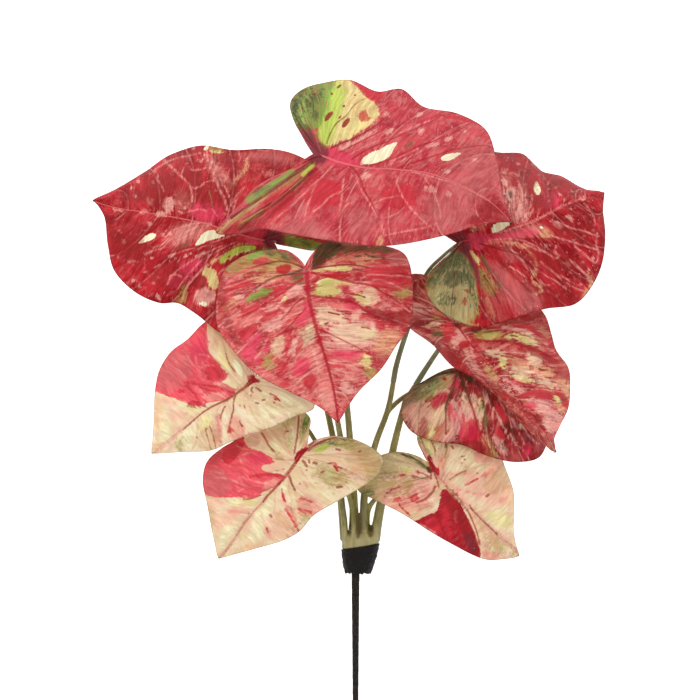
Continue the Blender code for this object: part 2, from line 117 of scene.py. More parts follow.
# The finer form of the stems, stalks, collar and pick.
ROUND = 0.955               # a fine round tube's radius against the solids' eight-sided one
OVAL_SIDES = 96
STEM_SIDES = 20
STALK_SIDES = 24
PICK_SIDES = 32
BLOCK_CROWN = ((0, 0.62, 0.0), (3, 0.88, 0.5), (8, 1.0, 1.0))   # rows from the top, shares of width and slant
MELT_VOXEL = 0.75 * MM      # the stems and their block melt into one skin of cells this wide
MELT_ROUNDS = 4
SLEEVE_BEVEL = (0.4 * MM, 0.97)         # length, and the share of the radius that it starts at
SLEEVE_TAIL = 2 * MM        # how far the sleeve runs on past the spur
ROD_START = 8 * MM          # the rod's first ring is this far past the spur ...
ROD_END = 6 * MM            # ... and the last one before its foot this far from the joint
FOOT_INSET = 0.6 * MM       # the rod stops this far inside its solid
COLLAR_ROWS = 40
COLLAR_NARROWING = 1.4      # above 1, the collar narrows late
LUMPS = ((2.6 * MM, 0.55), (1.2 * MM, 0.3))     # the collar's lumps: their size, and height in millimetres
LUMP_LIMIT = 0.5 * MM
RAGS = ((3.0 * MM, 1.6), (1.1 * MM, 1.0))       # the same for its ragged lower edge
RAG_START = 0.7             # the share of the collar's length where the edge's raggedness begins
COLLAR_LIP_SHARE = 0.8      # the collar's last ring, over its lower end
PICK_ROW_STEP = 0.7
PICK_TAPER_ROW = 650        # where half of the pick's taper is done
PICK_TAPER_END_ROW = 737
PICK_TIP_ROWS = (1, 0.3, 0)             # the last rings, in rows before the end; the last two are narrower
LAP_ROWS = 15.0             # from one turn of the tape to the next
LAP_SIZES = (0.93, 0.05)    # the tape's radius at the start of a turn, and how much it grows, as shares
TAPE_ROUGHNESS = (0.12 * MM, 3 * MM)    # height and size
PICK_TIP_SHARE = 0.6

# The room.
SENSOR_WIDTH = 36.0         # in millimetres, as the camera takes it
SKY_STRENGTH = 0.68
FLOOR_REACH = 6.0
FLOOR_SINK = 0.4 * MM       # how far the floor is under the pieces that lie on it
FLOOR_GREY = 0.85
FLOOR_GLOW = 0.85           # the light that it gives off itself, which turns it white in the picture


@dataclass
class Leaf:
    """Plan points of one leaf. Left and right are seen from the joint, looking to the tip."""

    size: str
    rib: list
    notch: tuple
    left: list
    right: list


@dataclass
class Stem:
    """Plan points from the block to the leaf's joint, which the leaf itself gives."""

    path: list
    mouth: float            # the share of the path where the stalk is plugged on
    mouth_radius: float
    root_radius: float = STEM_ROOT_RADIUS


LEAVES = {
    "top": Leaf(
        "large",
        rib=[(322, 155, 112), (358, 166, 120), (400, 169, 126), (430, 173, 127), (460, 184, 126),
             (490, 201, 123), (512, 222, 118)],
        notch=(313, 154, 110),
        left=[(303, 138, 96), (293, 118, 76), (291, 101, 62), (304, 89, 54), (328, 82, 52), (350, 80, 56),
              (378, 92, 68), (401, 89, 66), (424, 107, 80), (458, 114, 84), (485, 129, 90), (496, 158, 102),
              (502, 192, 112)],
        right=[(296, 165, 106), (276, 180, 96), (256, 187, 88), (240, 205, 86), (216, 232, 90),
               (236, 234, 106), (262, 229, 122), (285, 233, 134), (325, 240, 144), (384, 246, 150),
               (447, 235, 144), (480, 225, 132)]),
    "left": Leaf(
        "large",
        rib=[(264, 240, 58), (240, 234, 66), (205, 223, 70), (170, 216, 66), (140, 211, 56), (115, 207, 46),
             (92, 200, 38)],
        notch=(274, 242, 57),
        left=[(283, 262, 62), (297, 298, 68), (290, 332, 78), (256, 346, 83), (222, 334, 80), (196, 314, 75),
              (177, 303, 66), (160, 303, 66), (135, 292, 64), (114, 270, 58), (108, 245, 54), (104, 216, 46)],
        right=[(292, 246, 50), (318, 250, 40), (338, 232, 30), (338, 200, 20), (322, 172, 12), (298, 156, 5),
               (270, 149, 0), (232, 150, 0), (200, 146, 0), (170, 155, 6), (145, 172, 20), (118, 188, 31)]),
    "right": Leaf(
        "large",
        rib=[(462, 241, 80), (480, 237, 88), (505, 229, 92), (530, 220, 88), (558, 208, 76), (583, 198, 62),
             (605, 192, 50)],
        notch=(457, 243, 79),
        left=[(446, 236, 72), (424, 222, 58), (402, 195, 42), (408, 165, 26), (438, 150, 12), (472, 148, 0),
              (500, 153, 0), (522, 154, 0), (535, 165, 13), (543, 172, 20), (560, 176, 26), (580, 187, 37),
              (592, 191, 44)],
        right=[(448, 257, 84), (431, 271, 83), (425, 286, 82), (434, 305, 86), (455, 320, 94),
               (482, 327, 102), (512, 319, 106), (545, 309, 100), (575, 304, 90), (592, 286, 82),
               (602, 263, 74), (605, 236, 66), (603, 208, 56)]),
    "front": Leaf(
        "medium",
        rib=[(307, 272, 150), (309, 298, 157), (316, 328, 158), (326, 360, 153), (334, 392, 145),
             (338, 424, 134)],
        notch=(305, 266, 149),
        left=[(313, 253, 141), (324, 243, 132), (352, 242, 124), (385, 246, 117), (405, 255, 111),
              (412, 280, 108), (410, 325, 118), (396, 346, 130), (381, 369, 138), (358, 392, 140),
              (347, 408, 138)],
        right=[(297, 257, 142), (285, 250, 134), (262, 251, 126), (238, 259, 120), (223, 273, 114),
               (217, 298, 110), (218, 327, 112), (232, 349, 120), (258, 375, 130), (290, 392, 137),
               (318, 406, 138)]),
    "mid_right": Leaf(
        "medium",
        rib=[(457, 324, 82), (471, 345, 95), (492, 370, 101), (518, 398, 97), (542, 428, 86), (556, 453, 74)],
        notch=(451, 317, 80),
        left=[(470, 300, 74), (500, 290, 60), (528, 298, 52), (544, 314, 50), (551, 333, 46), (556, 350, 52),
              (568, 368, 46), (570, 386, 44), (568, 408, 52), (559, 427, 62), (554, 440, 68)],
        right=[(444, 294, 70), (427, 276, 56), (410, 275, 52), (398, 290, 48), (398, 312, 46), (409, 327, 48),
               (432, 344, 52), (454, 367, 55), (475, 378, 52), (500, 400, 48), (528, 430, 56)]),
    "low_right": Leaf(
        "medium",
        rib=[(460, 371, 36), (482, 374, 38), (508, 380, 32), (538, 390, 20), (565, 402, 9)],
        notch=(454, 368, 35),
        left=[(463, 350, 32), (478, 328, 26), (505, 318, 18), (532, 325, 12), (550, 347, 9), (561, 374, 8)],
        right=[(443, 371, 34), (424, 381, 31), (406, 395, 31), (401, 412, 33), (410, 430, 36), (432, 441, 38),
               (462, 445, 39), (488, 456, 38), (515, 462, 34), (538, 458, 27), (547, 444, 20),
               (557, 424, 13)]),
    "mid_left": Leaf(
        "small",
        rib=[(251, 381, 84), (232, 395, 88), (205, 411, 85), (178, 432, 75), (151, 454, 62)],
        notch=(257, 376, 84),
        left=[(272, 376, 90), (296, 385, 96), (312, 396, 98), (314, 408, 98), (296, 416, 96), (268, 429, 92),
              (245, 436, 88), (228, 443, 82), (212, 450, 76), (180, 452, 68)],
        right=[(256, 364, 76), (250, 345, 66), (236, 326, 58), (219, 315, 54), (204, 323, 56), (188, 339, 60),
               (170, 353, 60), (159, 372, 60), (155, 392, 62), (154, 420, 64)]),
    "low_left": Leaf(
        "small",
        rib=[(299, 455, 68), (288, 470, 74), (272, 490, 75), (255, 510, 71), (236, 536, 63), (218, 559, 56)],
        notch=(307, 446, 67),
        left=[(316, 440, 66), (332, 436, 62), (352, 439, 60), (372, 448, 62), (383, 459, 66), (378, 475, 72),
              (360, 488, 80), (336, 502, 84), (313, 516, 82), (300, 531, 77), (284, 540, 72), (250, 550, 64)],
        right=[(309, 432, 64), (310, 418, 58), (297, 409, 51), (270, 411, 46), (250, 424, 46), (238, 438, 48),
               (221, 449, 48), (207, 462, 48), (203, 482, 50), (207, 503, 54), (212, 530, 56)]),
    "low_front": Leaf(
        "small",
        rib=[(436, 474, 46), (450, 488, 52), (470, 508, 52), (492, 530, 45), (520, 556, 35)],
        notch=(428, 463, 43),
        left=[(422, 452, 35), (417, 438, 24), (421, 420, 14), (442, 410, 8), (472, 420, 7), (496, 444, 9),
              (505, 468, 14), (513, 490, 20), (514, 512, 25), (514, 535, 30)],
        right=[(414, 455, 42), (396, 452, 40), (376, 458, 38), (360, 474, 37), (358, 490, 38), (378, 501, 42),
               (403, 514, 45), (428, 530, 46), (452, 544, 46), (484, 559, 42), (504, 559, 39)]),
}

STEMS = {
    "top": Stem(
        [(356, 540, 20), (354, 500, 28), (350, 440, 46), (347, 405, 60), (343, 360, 74), (338, 300, 86),
         (333, 250, 94), (328, 205, 99)],
        mouth=0.42, mouth_radius=2.4 * MM),
    "left": Stem(
        [(344, 540, 15), (341, 500, 17), (336, 455, 23), (331, 428, 27), (324, 398, 29), (311, 358, 30),
         (295, 310, 33), (279, 268, 42)],
        mouth=0.55, mouth_radius=2.2 * MM),
    "right": Stem(
        [(366, 540, 20), (364, 500, 24), (370, 465, 27), (376, 442, 28), (388, 409, 30), (397, 363, 34),
         (408, 328, 38), (418, 297, 42), (427, 273, 48), (442, 257, 60)],
        mouth=0.48, mouth_radius=2.2 * MM),
    "front": Stem(
        [(351, 540, 10), (353, 505, 17), (347, 468, 33), (341, 440, 47), (336, 412, 66), (329, 370, 92),
         (319, 322, 120), (311, 290, 137)],
        mouth=0.5, mouth_radius=2.2 * MM),
    "mid_right": Stem(
        [(375, 540, 15), (380, 508, 17), (388, 475, 20), (393, 450, 22), (399, 425, 24), (406, 402, 25),
         (420, 378, 29), (437, 352, 41), (450, 334, 62)],
        mouth=0.6, mouth_radius=2.2 * MM, root_radius=4.4 * MM),
    "low_right": Stem(
        [(387, 413, 30), (392, 407, 26), (404, 397, 18), (425, 386, 16), (446, 376, 22)],
        mouth=0.45, mouth_radius=2.0 * MM, root_radius=2.2 * MM),
    "low_front": Stem(
        [(370, 540, 14), (367, 520, 17), (370, 506, 21), (382, 494, 27), (406, 484, 31), (424, 478, 35)],
        mouth=0.55, mouth_radius=1.8 * MM, root_radius=2.6 * MM),
    "low_left": Stem(
        [(354, 540, 22), (352, 508, 31), (347, 492, 38), (338, 480, 42), (322, 466, 52), (308, 459, 60)],
        mouth=0.55, mouth_radius=1.8 * MM, root_radius=2.8 * MM),
    "mid_left": Stem(
        [(345, 540, 21), (342, 505, 30), (332, 468, 38), (317, 444, 42), (309, 431, 42), (296, 414, 42),
         (285, 402, 46), (268, 391, 62)],
        mouth=0.6, mouth_radius=1.8 * MM, root_radius=2.8 * MM),
}


@dataclass
class Mark:
    """One mark of the print, in plan pixels. A patch has no widths; a stroke has one for each end."""

    ink: str
    points: np.ndarray
    widths: tuple = ()
    crisp: float = 1.0


def pairs(numbers):
    return np.array(numbers, float).reshape(-1, 2)


def patch(ink, *numbers):
    return Mark(ink, pairs(numbers))


def zone(ink, crisp, *numbers):
    """A patch with a soft, streaky border: the lower crisp is, the softer."""
    return Mark(ink, pairs(numbers), crisp=crisp)


def stroke(ink, start_width, end_width, *numbers):
    return Mark(ink, pairs(numbers), widths=(start_width, end_width))


def dots(ink, size, *numbers):
    """Small round flecks, all of one size: each is a stroke too short to show its length."""
    way, narrowing = (0.6, 0.3), 0.7
    return [Mark(ink, np.array([point, point + way]), widths=(size, size * narrowing))
            for point in pairs(numbers)]


PRINTS = {
    "top": [
        # broad areas of painted shade and painted sheen
        zone("crimson", 0.25, 300, 196, 312, 180, 330, 176, 344, 186, 340, 206, 320, 212),
        zone("crimson", 0.25, 262, 206, 276, 190, 292, 184, 296, 202, 284, 220, 268, 222),
        zone("crimson", 0.25, 380, 196, 392, 184, 414, 186, 418, 204, 400, 212, 384, 208),
        zone("haze", 0.2, 440, 176, 470, 160, 490, 168, 492, 196, 470, 206, 446, 200),
        # the lobe over the joint: green print, with painted shade in the dark green along its left edge,
        # where it curves away
        zone("pine", 0.3, 291, 112, 290, 100, 298, 92, 306, 88, 304, 100, 300, 112, 303, 128, 298, 128),
        zone("pine", 0.25, 306, 96, 316, 88, 320, 96, 314, 108, 308, 112),
        zone("green", 0.8, 298, 132, 289, 118, 289, 100, 302, 88, 330, 79, 336, 84, 328, 104, 322, 126,
             314, 130),
        zone("lime", 0.35, 317, 144, 318, 124, 324, 104, 328, 84, 340, 78, 346, 92, 342, 112, 336, 130,
             329, 148),
        zone("straw", 1.0, 318, 142, 322, 120, 334, 80, 350, 78, 362, 92, 368, 100, 376, 104, 379, 112,
             381, 116, 370, 126, 350, 138, 330, 148),
        zone("peach", 0.6, 338, 138, 348, 122, 362, 118, 378, 116, 374, 124, 356, 136, 342, 142),
        zone("moss", 0.9, 292, 116, 290, 104, 294, 98, 299, 104, 298, 116),
        zone("straw", 0.9, 300, 118, 297, 104, 301, 96, 305, 104, 307, 118, 310, 128, 304, 126),
        zone("moss", 0.8, 298, 124, 303, 122, 311, 128, 314, 138, 312, 146, 304, 138),
        zone("moss", 1.0, 311, 120, 312, 112, 317, 108, 320, 114, 318, 122),
        patch("moss", 321, 92, 322, 88, 326, 88, 325, 92),
        stroke("dark_line", 1.6, 1.0, 310, 130, 304, 116, 302, 102),
        stroke("moss", 2.0, 1.2, 311, 112, 308, 106, 307, 98),
        patch("fleck", 324, 122, 327, 115, 331, 112, 334, 112, 331, 117, 327, 122),
        patch("fleck", 341, 128, 345, 121, 350, 118, 350, 123, 345, 129),
        patch("crimson", 357, 118, 361, 112, 366, 111, 367, 115, 374, 119, 368, 122, 360, 121),
        patch("fleck", 336, 90, 339, 85, 342, 85, 340, 89),
        patch("fleck", 338, 119, 341, 116, 342, 117, 340, 120),
        *dots("fleck", 2.4, 344, 107, 332, 95, 355, 96, 315, 94),
        stroke("dark_line", 1.8, 0.8, 327, 144, 331, 133, 337, 124, 346, 117, 354, 107, 364, 100),
        stroke("dark_line", 1.6, 0.9, 331, 149, 345, 142, 362, 135, 378, 125, 386, 119),
        zone("bloom", 0.8, 334, 152, 344, 144, 362, 138, 378, 128, 376, 134, 360, 142, 346, 150),
        patch("crimson", 349, 79, 352, 84, 358, 87, 362, 94, 368, 100, 378, 103, 384, 96, 376, 88, 360, 80),
        # the joint
        zone("wine", 0.9, 310, 140, 317, 140, 327, 146, 330, 156, 322, 166, 308, 164),
        zone("wine", 0.4, 296, 126, 304, 128, 314, 134, 322, 146, 312, 150, 302, 140),
        zone("rose", 0.6, 326, 148, 340, 150, 352, 156, 366, 164, 350, 168, 334, 168, 326, 160),
        # dark and light lines that fan out in the upper half
        stroke("red_line", 1.6, 0.8, 340, 152, 362, 142, 384, 130, 402, 112),
        stroke("red_line", 1.8, 0.8, 352, 160, 372, 148, 396, 138, 420, 128, 440, 118),
        stroke("pale_line", 1.2, 1.0, 350, 156, 372, 144, 398, 134, 424, 124, 442, 118),
        stroke("pale_line", 1.4, 1.0, 362, 142, 376, 136, 388, 128),
        stroke("pale_line", 1.6, 1.0, 385, 166, 402, 161, 420, 152, 436, 146),
        stroke("pale_line", 1.4, 1.0, 390, 163, 404, 156, 418, 149),
        stroke("red_line", 1.4, 0.8, 372, 165, 396, 158, 420, 146, 448, 136, 470, 124),
        stroke("red_line", 1.4, 0.8, 396, 168, 424, 160, 456, 150, 486, 146),
        patch("bloom", 384, 134, 388, 130, 393, 128, 392, 132, 387, 136),
        patch("bloom", 416, 134, 420, 129, 424, 129, 424, 133, 419, 135),
        patch("bloom", 382, 117, 385, 112, 391, 115, 388, 118),
        patch("bloom", 414, 116, 418, 111, 423, 113, 419, 118),
        patch("bloom", 444, 142, 447, 136, 452, 138, 449, 143),
        patch("bloom", 462, 134, 464, 131, 467, 132, 465, 134),
        zone("bloom", 0.8, 424, 148, 432, 143, 442, 144, 436, 149),
        patch("bloom", 444, 173, 445, 170, 450, 171, 449, 174),
        patch("bloom", 472, 160, 475, 158, 478, 159, 475, 161),
        patch("cream", 359, 165, 362, 160, 369, 154, 380, 149, 390, 145, 399, 142, 394, 149, 391, 156,
              385, 161, 376, 164, 366, 164),
        patch("cream", 440, 159, 444, 156, 452, 154, 462, 153, 457, 157, 451, 161, 443, 162),
        patch("moss", 404, 148, 408, 145, 410, 142, 415, 143, 412, 146, 407, 149),
        # the long lobe on the right half, striped along its length
        stroke("olive", 5, 5, 304, 170, 280, 188, 256, 204, 232, 222, 220, 230),
        stroke("olive", 5, 5, 306, 178, 284, 196, 262, 212, 240, 226),
        stroke("green", 6, 8, 292, 172, 278, 182, 264, 190, 250, 200),
        patch("moss", 253, 195, 256, 189, 266, 186, 273, 187, 264, 191, 257, 197),
        patch("lime", 256, 199, 262, 193, 270, 193, 263, 198),
        stroke("bloom", 3, 2, 286, 181, 272, 194, 258, 204, 240, 214, 222, 228),
        stroke("dark_line", 4, 3, 312, 163, 298, 172, 282, 184, 268, 194, 250, 206, 232, 218),
        stroke("dark_line", 3, 3.4, 312, 172, 296, 188, 276, 204, 258, 216, 240, 230),
        stroke("deep", 4, 6, 316, 170, 300, 190, 280, 208, 258, 224, 240, 234),
        stroke("dark_line", 1.6, 1.2, 302, 178, 286, 192, 264, 208, 244, 220),
        patch("lime", 301, 176, 305, 168, 311, 162, 317, 161, 313, 169, 306, 175),
        zone("deep", 0.8, 222, 234, 230, 226, 244, 222, 258, 222, 264, 230, 246, 236, 230, 238),
        stroke("pale_line", 2, 1.4, 324, 176, 306, 192, 290, 208, 268, 226),
        # light veins in the lower half
        stroke("pale_line", 1.8, 1.2, 318, 180, 312, 194, 308, 206, 304, 222),
        stroke("pale_line", 1.4, 1.2, 314, 212, 322, 206, 330, 198, 344, 190, 352, 176),
        stroke("pale_line", 1.8, 1.4, 344, 180, 342, 196, 340, 212, 340, 234),
        stroke("pale_line", 1.6, 1.2, 354, 202, 344, 208, 338, 222),
        stroke("red_line", 2.2, 1.0, 350, 166, 360, 178, 364, 190, 372, 204, 380, 222),
        stroke("pale_line", 1.8, 1.4, 356, 176, 361, 190, 370, 204, 378, 218, 384, 234),
        stroke("pale_line", 1.4, 1.0, 372, 204, 388, 198, 400, 196),
        stroke("pale_line", 1.4, 1.0, 378, 218, 392, 216, 404, 208),
        stroke("pale_line", 1.8, 1.2, 396, 176, 400, 192, 410, 208, 424, 222, 434, 230),
        stroke("pale_line", 1.4, 1.0, 424, 178, 434, 194, 440, 212, 440, 228),
        stroke("pale_line", 1.8, 1.6, 412, 172, 430, 176, 450, 182, 470, 190, 490, 201),
        stroke("pale_line", 1.2, 1.0, 382, 236, 402, 232, 424, 228, 440, 222),
        zone("bloom", 0.7, 366, 170, 372, 176, 366, 182, 360, 178),
        zone("bloom", 0.7, 424, 186, 434, 186, 436, 192, 426, 192),
        patch("bloom", 445, 197, 447, 191, 450, 193, 451, 198),
        zone("peach", 0.8, 376, 240, 380, 236, 384, 240, 382, 246, 376, 246),
        # painted sheen, and painted shade at the deep tip
        zone("haze", 0.4, 448, 150, 470, 140, 496, 150, 504, 180, 486, 192, 462, 178),
        zone("haze", 0.4, 420, 200, 444, 188, 474, 206, 470, 226, 444, 232, 424, 220),
        zone("haze", 0.4, 272, 234, 290, 214, 320, 222, 336, 240, 310, 246),
        zone("haze", 0.4, 352, 206, 368, 208, 374, 236, 350, 240),
        zone("deep", 0.35, 474, 204, 496, 194, 516, 222, 500, 224, 480, 222),
        zone("deep", 0.6, 462, 222, 474, 214, 490, 218, 480, 226),
        stroke("crimson", 3, 4, 420, 122, 450, 118, 480, 124),
    ],
    "left": [
        # broad areas of painted shade
        zone("deep", 0.25, 136, 196, 150, 178, 168, 172, 172, 190, 164, 206, 146, 208),
        zone("deep", 0.25, 172, 190, 182, 168, 200, 166, 204, 186, 196, 206, 180, 208),
        zone("deep", 0.25, 204, 196, 208, 178, 222, 178, 226, 198, 218, 212, 206, 210),
        zone("deep", 0.25, 112, 236, 130, 236, 150, 246, 150, 262, 130, 262, 114, 254),
        zone("deep", 0.25, 150, 268, 168, 262, 186, 270, 184, 286, 166, 290, 152, 282),
        # the upper half: dark bands of painted shade between the veins, where the cloth folds
        zone("deep", 0.5, 146, 177, 152, 182, 157, 192, 162, 204, 160, 212, 152, 206, 146, 196, 142, 186),
        zone("deep", 0.5, 160, 165, 168, 172, 174, 180, 177, 190, 172, 198, 166, 192, 161, 180),
        zone("shade", 0.6, 176, 160, 186, 158, 190, 166, 198, 176, 202, 183, 194, 188, 186, 180, 178, 170),
        zone("deep", 0.5, 199, 186, 208, 185, 213, 192, 208, 200, 206, 210, 200, 208, 196, 196),
        zone("shade", 0.8, 217, 155, 232, 154, 232, 164, 224, 172, 216, 164),
        zone("deep", 0.45, 226, 186, 238, 181, 240, 190, 232, 206, 226, 202),
        zone("shade", 0.7, 118, 192, 138, 186, 144, 196, 142, 208, 122, 206),
        zone("shade", 0.7, 190, 150, 204, 146, 206, 152, 198, 156, 190, 155),
        zone("shade", 0.7, 272, 158, 284, 160, 284, 172, 274, 180, 268, 170),
        zone("haze", 0.6, 246, 150, 270, 150, 298, 158, 290, 166, 268, 160, 248, 162),
        stroke("brick", 3, 5, 248, 152, 272, 151, 304, 160),
        zone("rose", 0.5, 190, 206, 204, 200, 220, 206, 226, 222, 206, 222, 190, 216),
        zone("crimson", 0.5, 212, 196, 222, 204, 226, 214, 216, 220, 208, 212),
        # light veins there, pale flecks and print, and patches of painted light and painted highlight
        stroke("pale_line", 2.0, 1.4, 154, 171, 162, 166, 172, 161, 184, 157, 200, 154),
        stroke("pale_line", 2.4, 1.6, 164, 160, 168, 165, 176, 172, 184, 180, 190, 187, 192, 196, 192, 202),
        stroke("pale_line", 1.2, 1.2, 170, 165, 177, 174, 182, 178),
        stroke("pale_line", 1.0, 0.8, 187, 164, 184, 170, 181, 176),
        stroke("pale_line", 1.6, 1.8, 192, 170, 202, 170, 209, 168, 213, 174),
        stroke("pale_line", 1.8, 1.8, 207, 150, 207, 158, 209, 166),
        stroke("pale_line", 2.4, 2.8, 212, 172, 216, 182, 220, 192, 225, 202, 227, 210),
        stroke("pale_line", 1.4, 1.4, 220, 180, 225, 188, 229, 197, 231, 206),
        stroke("pale_line", 1.8, 1.4, 193, 188, 200, 187, 206, 183, 217, 182),
        stroke("peach", 3.0, 2.0, 246, 160, 247, 167, 241, 174, 234, 182, 229, 190),
        stroke("pale_line", 1.4, 1.0, 237, 150, 240, 156, 238, 162),
        stroke("pale_line", 1.8, 1.2, 244, 188, 239, 196, 235, 204, 233, 212),
        stroke("pale_line", 1.4, 1.0, 238, 194, 232, 204),
        stroke("olive_line", 1.8, 1.4, 209, 192, 211, 200, 212, 208),
        stroke("pale_line", 1.2, 1.2, 150, 175, 156, 172, 158, 178),
        stroke("pale_line", 1.2, 1.0, 156, 178, 161, 185, 164, 192),
        stroke("pale_line", 1.6, 1.2, 184, 214, 198, 210, 206, 212),
        stroke("pale_line", 1.2, 1.0, 212, 210, 218, 218),
        patch("bloom", 147, 198, 149, 199, 153, 204, 150, 207, 147, 203),
        zone("bloom", 0.9, 163, 201, 169, 196, 176, 202, 174, 210, 168, 214, 163, 209),
        zone("glow", 0.8, 176, 190, 188, 192, 194, 206, 184, 212, 176, 206),
        zone("glow", 0.7, 204, 150, 222, 168, 232, 182, 222, 190, 210, 178),
        zone("bloom", 0.9, 155, 213, 158, 210, 164, 212, 168, 214, 164, 217, 157, 216),
        zone("bloom", 0.8, 137, 211, 145, 209, 149, 212, 143, 214),
        patch("bloom", 112, 210, 114, 207.5, 119, 209, 124, 211, 118, 212),
        zone("pinkish", 0.8, 262, 178, 264, 172, 272, 170, 274, 176, 268, 178),
        *dots("bloom", 2.4, 152, 201, 153, 183, 166, 213, 185, 209, 181, 213, 132, 189, 139, 183, 204, 160,
              200, 162, 204, 156, 212, 164, 136, 197, 176, 196, 180, 204, 170, 206, 188, 204, 216, 192,
              224, 214, 235, 184),
        patch("cream", 203, 151, 205, 146, 209, 146, 208, 151),
        patch("olive", 209, 150, 210, 146, 218, 146.5, 224, 149, 222, 152, 214, 152),
        stroke("straw", 1.2, 1.0, 211, 152, 218, 153, 226, 152),
        stroke("pale_line", 1.0, 1.0, 258, 150, 264, 151, 270, 151),
        patch("bloom", 192, 150, 193, 147, 195, 147, 195, 151),
        # the lower half, with lines that run out from the joint
        zone("deep", 0.5, 103, 212, 111, 212, 116, 234, 120, 256, 114, 262, 106, 236),
        zone("shade", 0.7, 112, 216, 136, 218, 150, 232, 146, 250, 126, 262, 116, 246),
        zone("glow", 0.6, 176, 226, 198, 222, 214, 224, 204, 236, 186, 244, 172, 246, 164, 240),
        stroke("pale_line", 1.6, 1.2, 172, 231, 182, 227, 196, 223, 212, 224),
        stroke("pale_line", 2.2, 1.6, 176, 238, 186, 232, 196, 228, 210, 225),
        stroke("pale_line", 1.4, 1.2, 160, 250, 170, 244, 182, 238, 194, 233),
        stroke("pale_line", 2.0, 1.4, 154, 248, 162, 245, 170, 240),
        stroke("pale_line", 1.4, 1.0, 146, 255, 156, 250, 168, 247, 178, 242),
        stroke("pale_line", 1.2, 1.0, 154, 268, 162, 263, 170, 258, 180, 252, 194, 248),
        stroke("pale_line", 1.4, 1.0, 168, 284, 172, 276, 180, 268, 190, 262, 204, 254, 222, 246),
        stroke("pale_line", 1.2, 1.0, 176, 290, 184, 280, 194, 268, 206, 258, 220, 250, 236, 242),
        stroke("red_line", 2.4, 1.4, 150, 262, 168, 254, 188, 248, 210, 244, 236, 238),
        stroke("red_line", 2.2, 1.2, 160, 276, 176, 264, 196, 254, 218, 246, 240, 240),
        stroke("pale_line", 1.4, 1.2, 196, 250, 210, 244, 226, 238, 238, 234),
        stroke("pale_line", 1.6, 2.4, 183, 298, 187, 287, 192, 279, 199, 273, 206, 266),
        patch("cream", 194.5, 247, 198, 240, 203, 234, 209, 230, 216, 231, 227, 236, 218, 238, 208, 241,
              200, 245),
        patch("cream", 137, 244, 142, 240, 147, 235, 152, 233, 157, 235, 156, 238.5, 150, 241, 143, 243.5),
        *dots("bloom", 3.4, 150, 224, 124, 242, 134, 281),
        *dots("bloom", 2.2, 152, 204, 154, 283, 118, 257, 158, 277, 186, 256, 190, 254, 140, 287, 171, 234,
              164, 236, 146, 272, 152, 258, 121, 232, 204, 252, 178, 262, 184, 272, 176, 258),
        stroke("bloom", 2.4, 2.0, 145, 254, 149, 252.5, 151, 251),
        stroke("bloom", 2.8, 2.0, 169, 257, 173, 254.5, 176, 252.5),
        stroke("bloom", 3.6, 3.0, 197, 257, 200, 256, 203, 254),
        stroke("bloom", 2.0, 1.6, 130, 262, 133, 261, 136, 261),
        patch("moss", 177, 249.5, 181, 246, 185, 243, 190, 241.5, 187, 246, 181, 249.5),
        patch("rose", 165, 280, 167, 276, 171, 276, 174.5, 280, 172, 285, 167, 284.5),
        zone("haze", 0.9, 167, 279, 170, 277, 172, 280, 170, 282),
        stroke("pale_line", 1.6, 1.4, 170, 277, 174, 274.5, 181, 276.5),
        patch("bloom", 155, 298, 156, 291, 158.5, 295, 161, 300),
        zone("rose", 0.5, 180, 262, 196, 258, 206, 262, 196, 272, 180, 286, 168, 290),
        # the lower lobe
        patch("straw", 201, 275, 206, 268, 211, 267, 215, 271, 218, 277, 220, 287, 216, 290, 210, 289,
              208, 282, 207, 276),
        stroke("peach", 3, 2, 204, 270, 213, 262, 226, 253, 240, 246, 252, 244),
        stroke("lime", 5, 6, 222, 261, 232, 253, 244, 248, 252, 248),
        stroke("straw", 2, 2.6, 224, 262, 234, 255, 244, 251, 252, 251),
        stroke("dark_line", 1.4, 1.0, 216, 258, 230, 250, 244, 245, 258, 247),
        stroke("dark_line", 1.4, 1.0, 224, 266, 240, 257, 252, 251, 262, 250),
        patch("scarlet", 235, 262, 239, 257.5, 244, 256, 241, 260, 237, 263),
        stroke("green", 4, 4, 252, 256, 262, 251, 276, 250),
        patch("deep", 193, 280, 199, 276, 206, 276, 207, 284, 202, 290, 194, 288),
        zone("haze", 0.9, 199, 282, 203, 278, 207, 281, 204, 286),
        zone("bloom", 0.7, 194, 300, 197, 290, 206, 287, 210, 290, 216, 291, 215, 300, 206, 307, 198, 305),
        zone("shade", 0.8, 202, 293, 208, 292, 210, 298, 204, 300),
        patch("cream", 199, 303, 204, 301, 208, 303, 206, 307, 202, 306),
        zone("olive", 0.7, 178, 302, 180, 288, 186, 282, 188, 292, 184, 304),
        stroke("dark_line", 1.2, 1.0, 180, 298, 184, 288, 188, 280),
        zone("brick", 0.8, 184, 300, 192, 304, 198, 310, 190, 312),
        zone("shade", 0.7, 222, 268, 236, 262, 240, 274, 232, 290, 222, 296, 219, 280),
        stroke("pale_line", 1.6, 1.2, 219, 274, 226, 268, 238, 262),
        # the joint and the lobe behind the next leaf
        zone("crimson", 0.5, 232, 238, 246, 230, 262, 230, 262, 240, 246, 244),
        patch("rose", 244, 238, 252, 232, 262, 230, 268, 236, 264, 245, 254, 246, 247, 243),
        patch("wine", 262, 236, 268, 231, 278, 232, 286, 238, 284, 246, 274, 252, 264, 248),
        zone("haze", 0.9, 270, 230, 282, 231, 300, 236, 288, 237, 276, 235),
        zone("green", 0.7, 278, 240, 288, 235, 304, 238, 322, 243, 324, 254, 304, 250, 286, 246),
        *dots("straw", 3, 283, 240, 296, 241, 306, 247, 314, 250, 292, 237),
        zone("moss", 0.9, 300, 242, 308, 240, 312, 247, 304, 249),
        *dots("moss", 3, 290, 244, 318, 247),
    ],
    "right": [
        # broad areas of painted shade, and the dark green of the lobe
        zone("pine", 0.3, 428, 282, 436, 266, 450, 251, 462, 248, 468, 262, 460, 268, 446, 272, 438, 280,
             430, 288),
        zone("pine", 0.25, 470, 262, 476, 276, 480, 300, 476, 306, 468, 284, 464, 270),
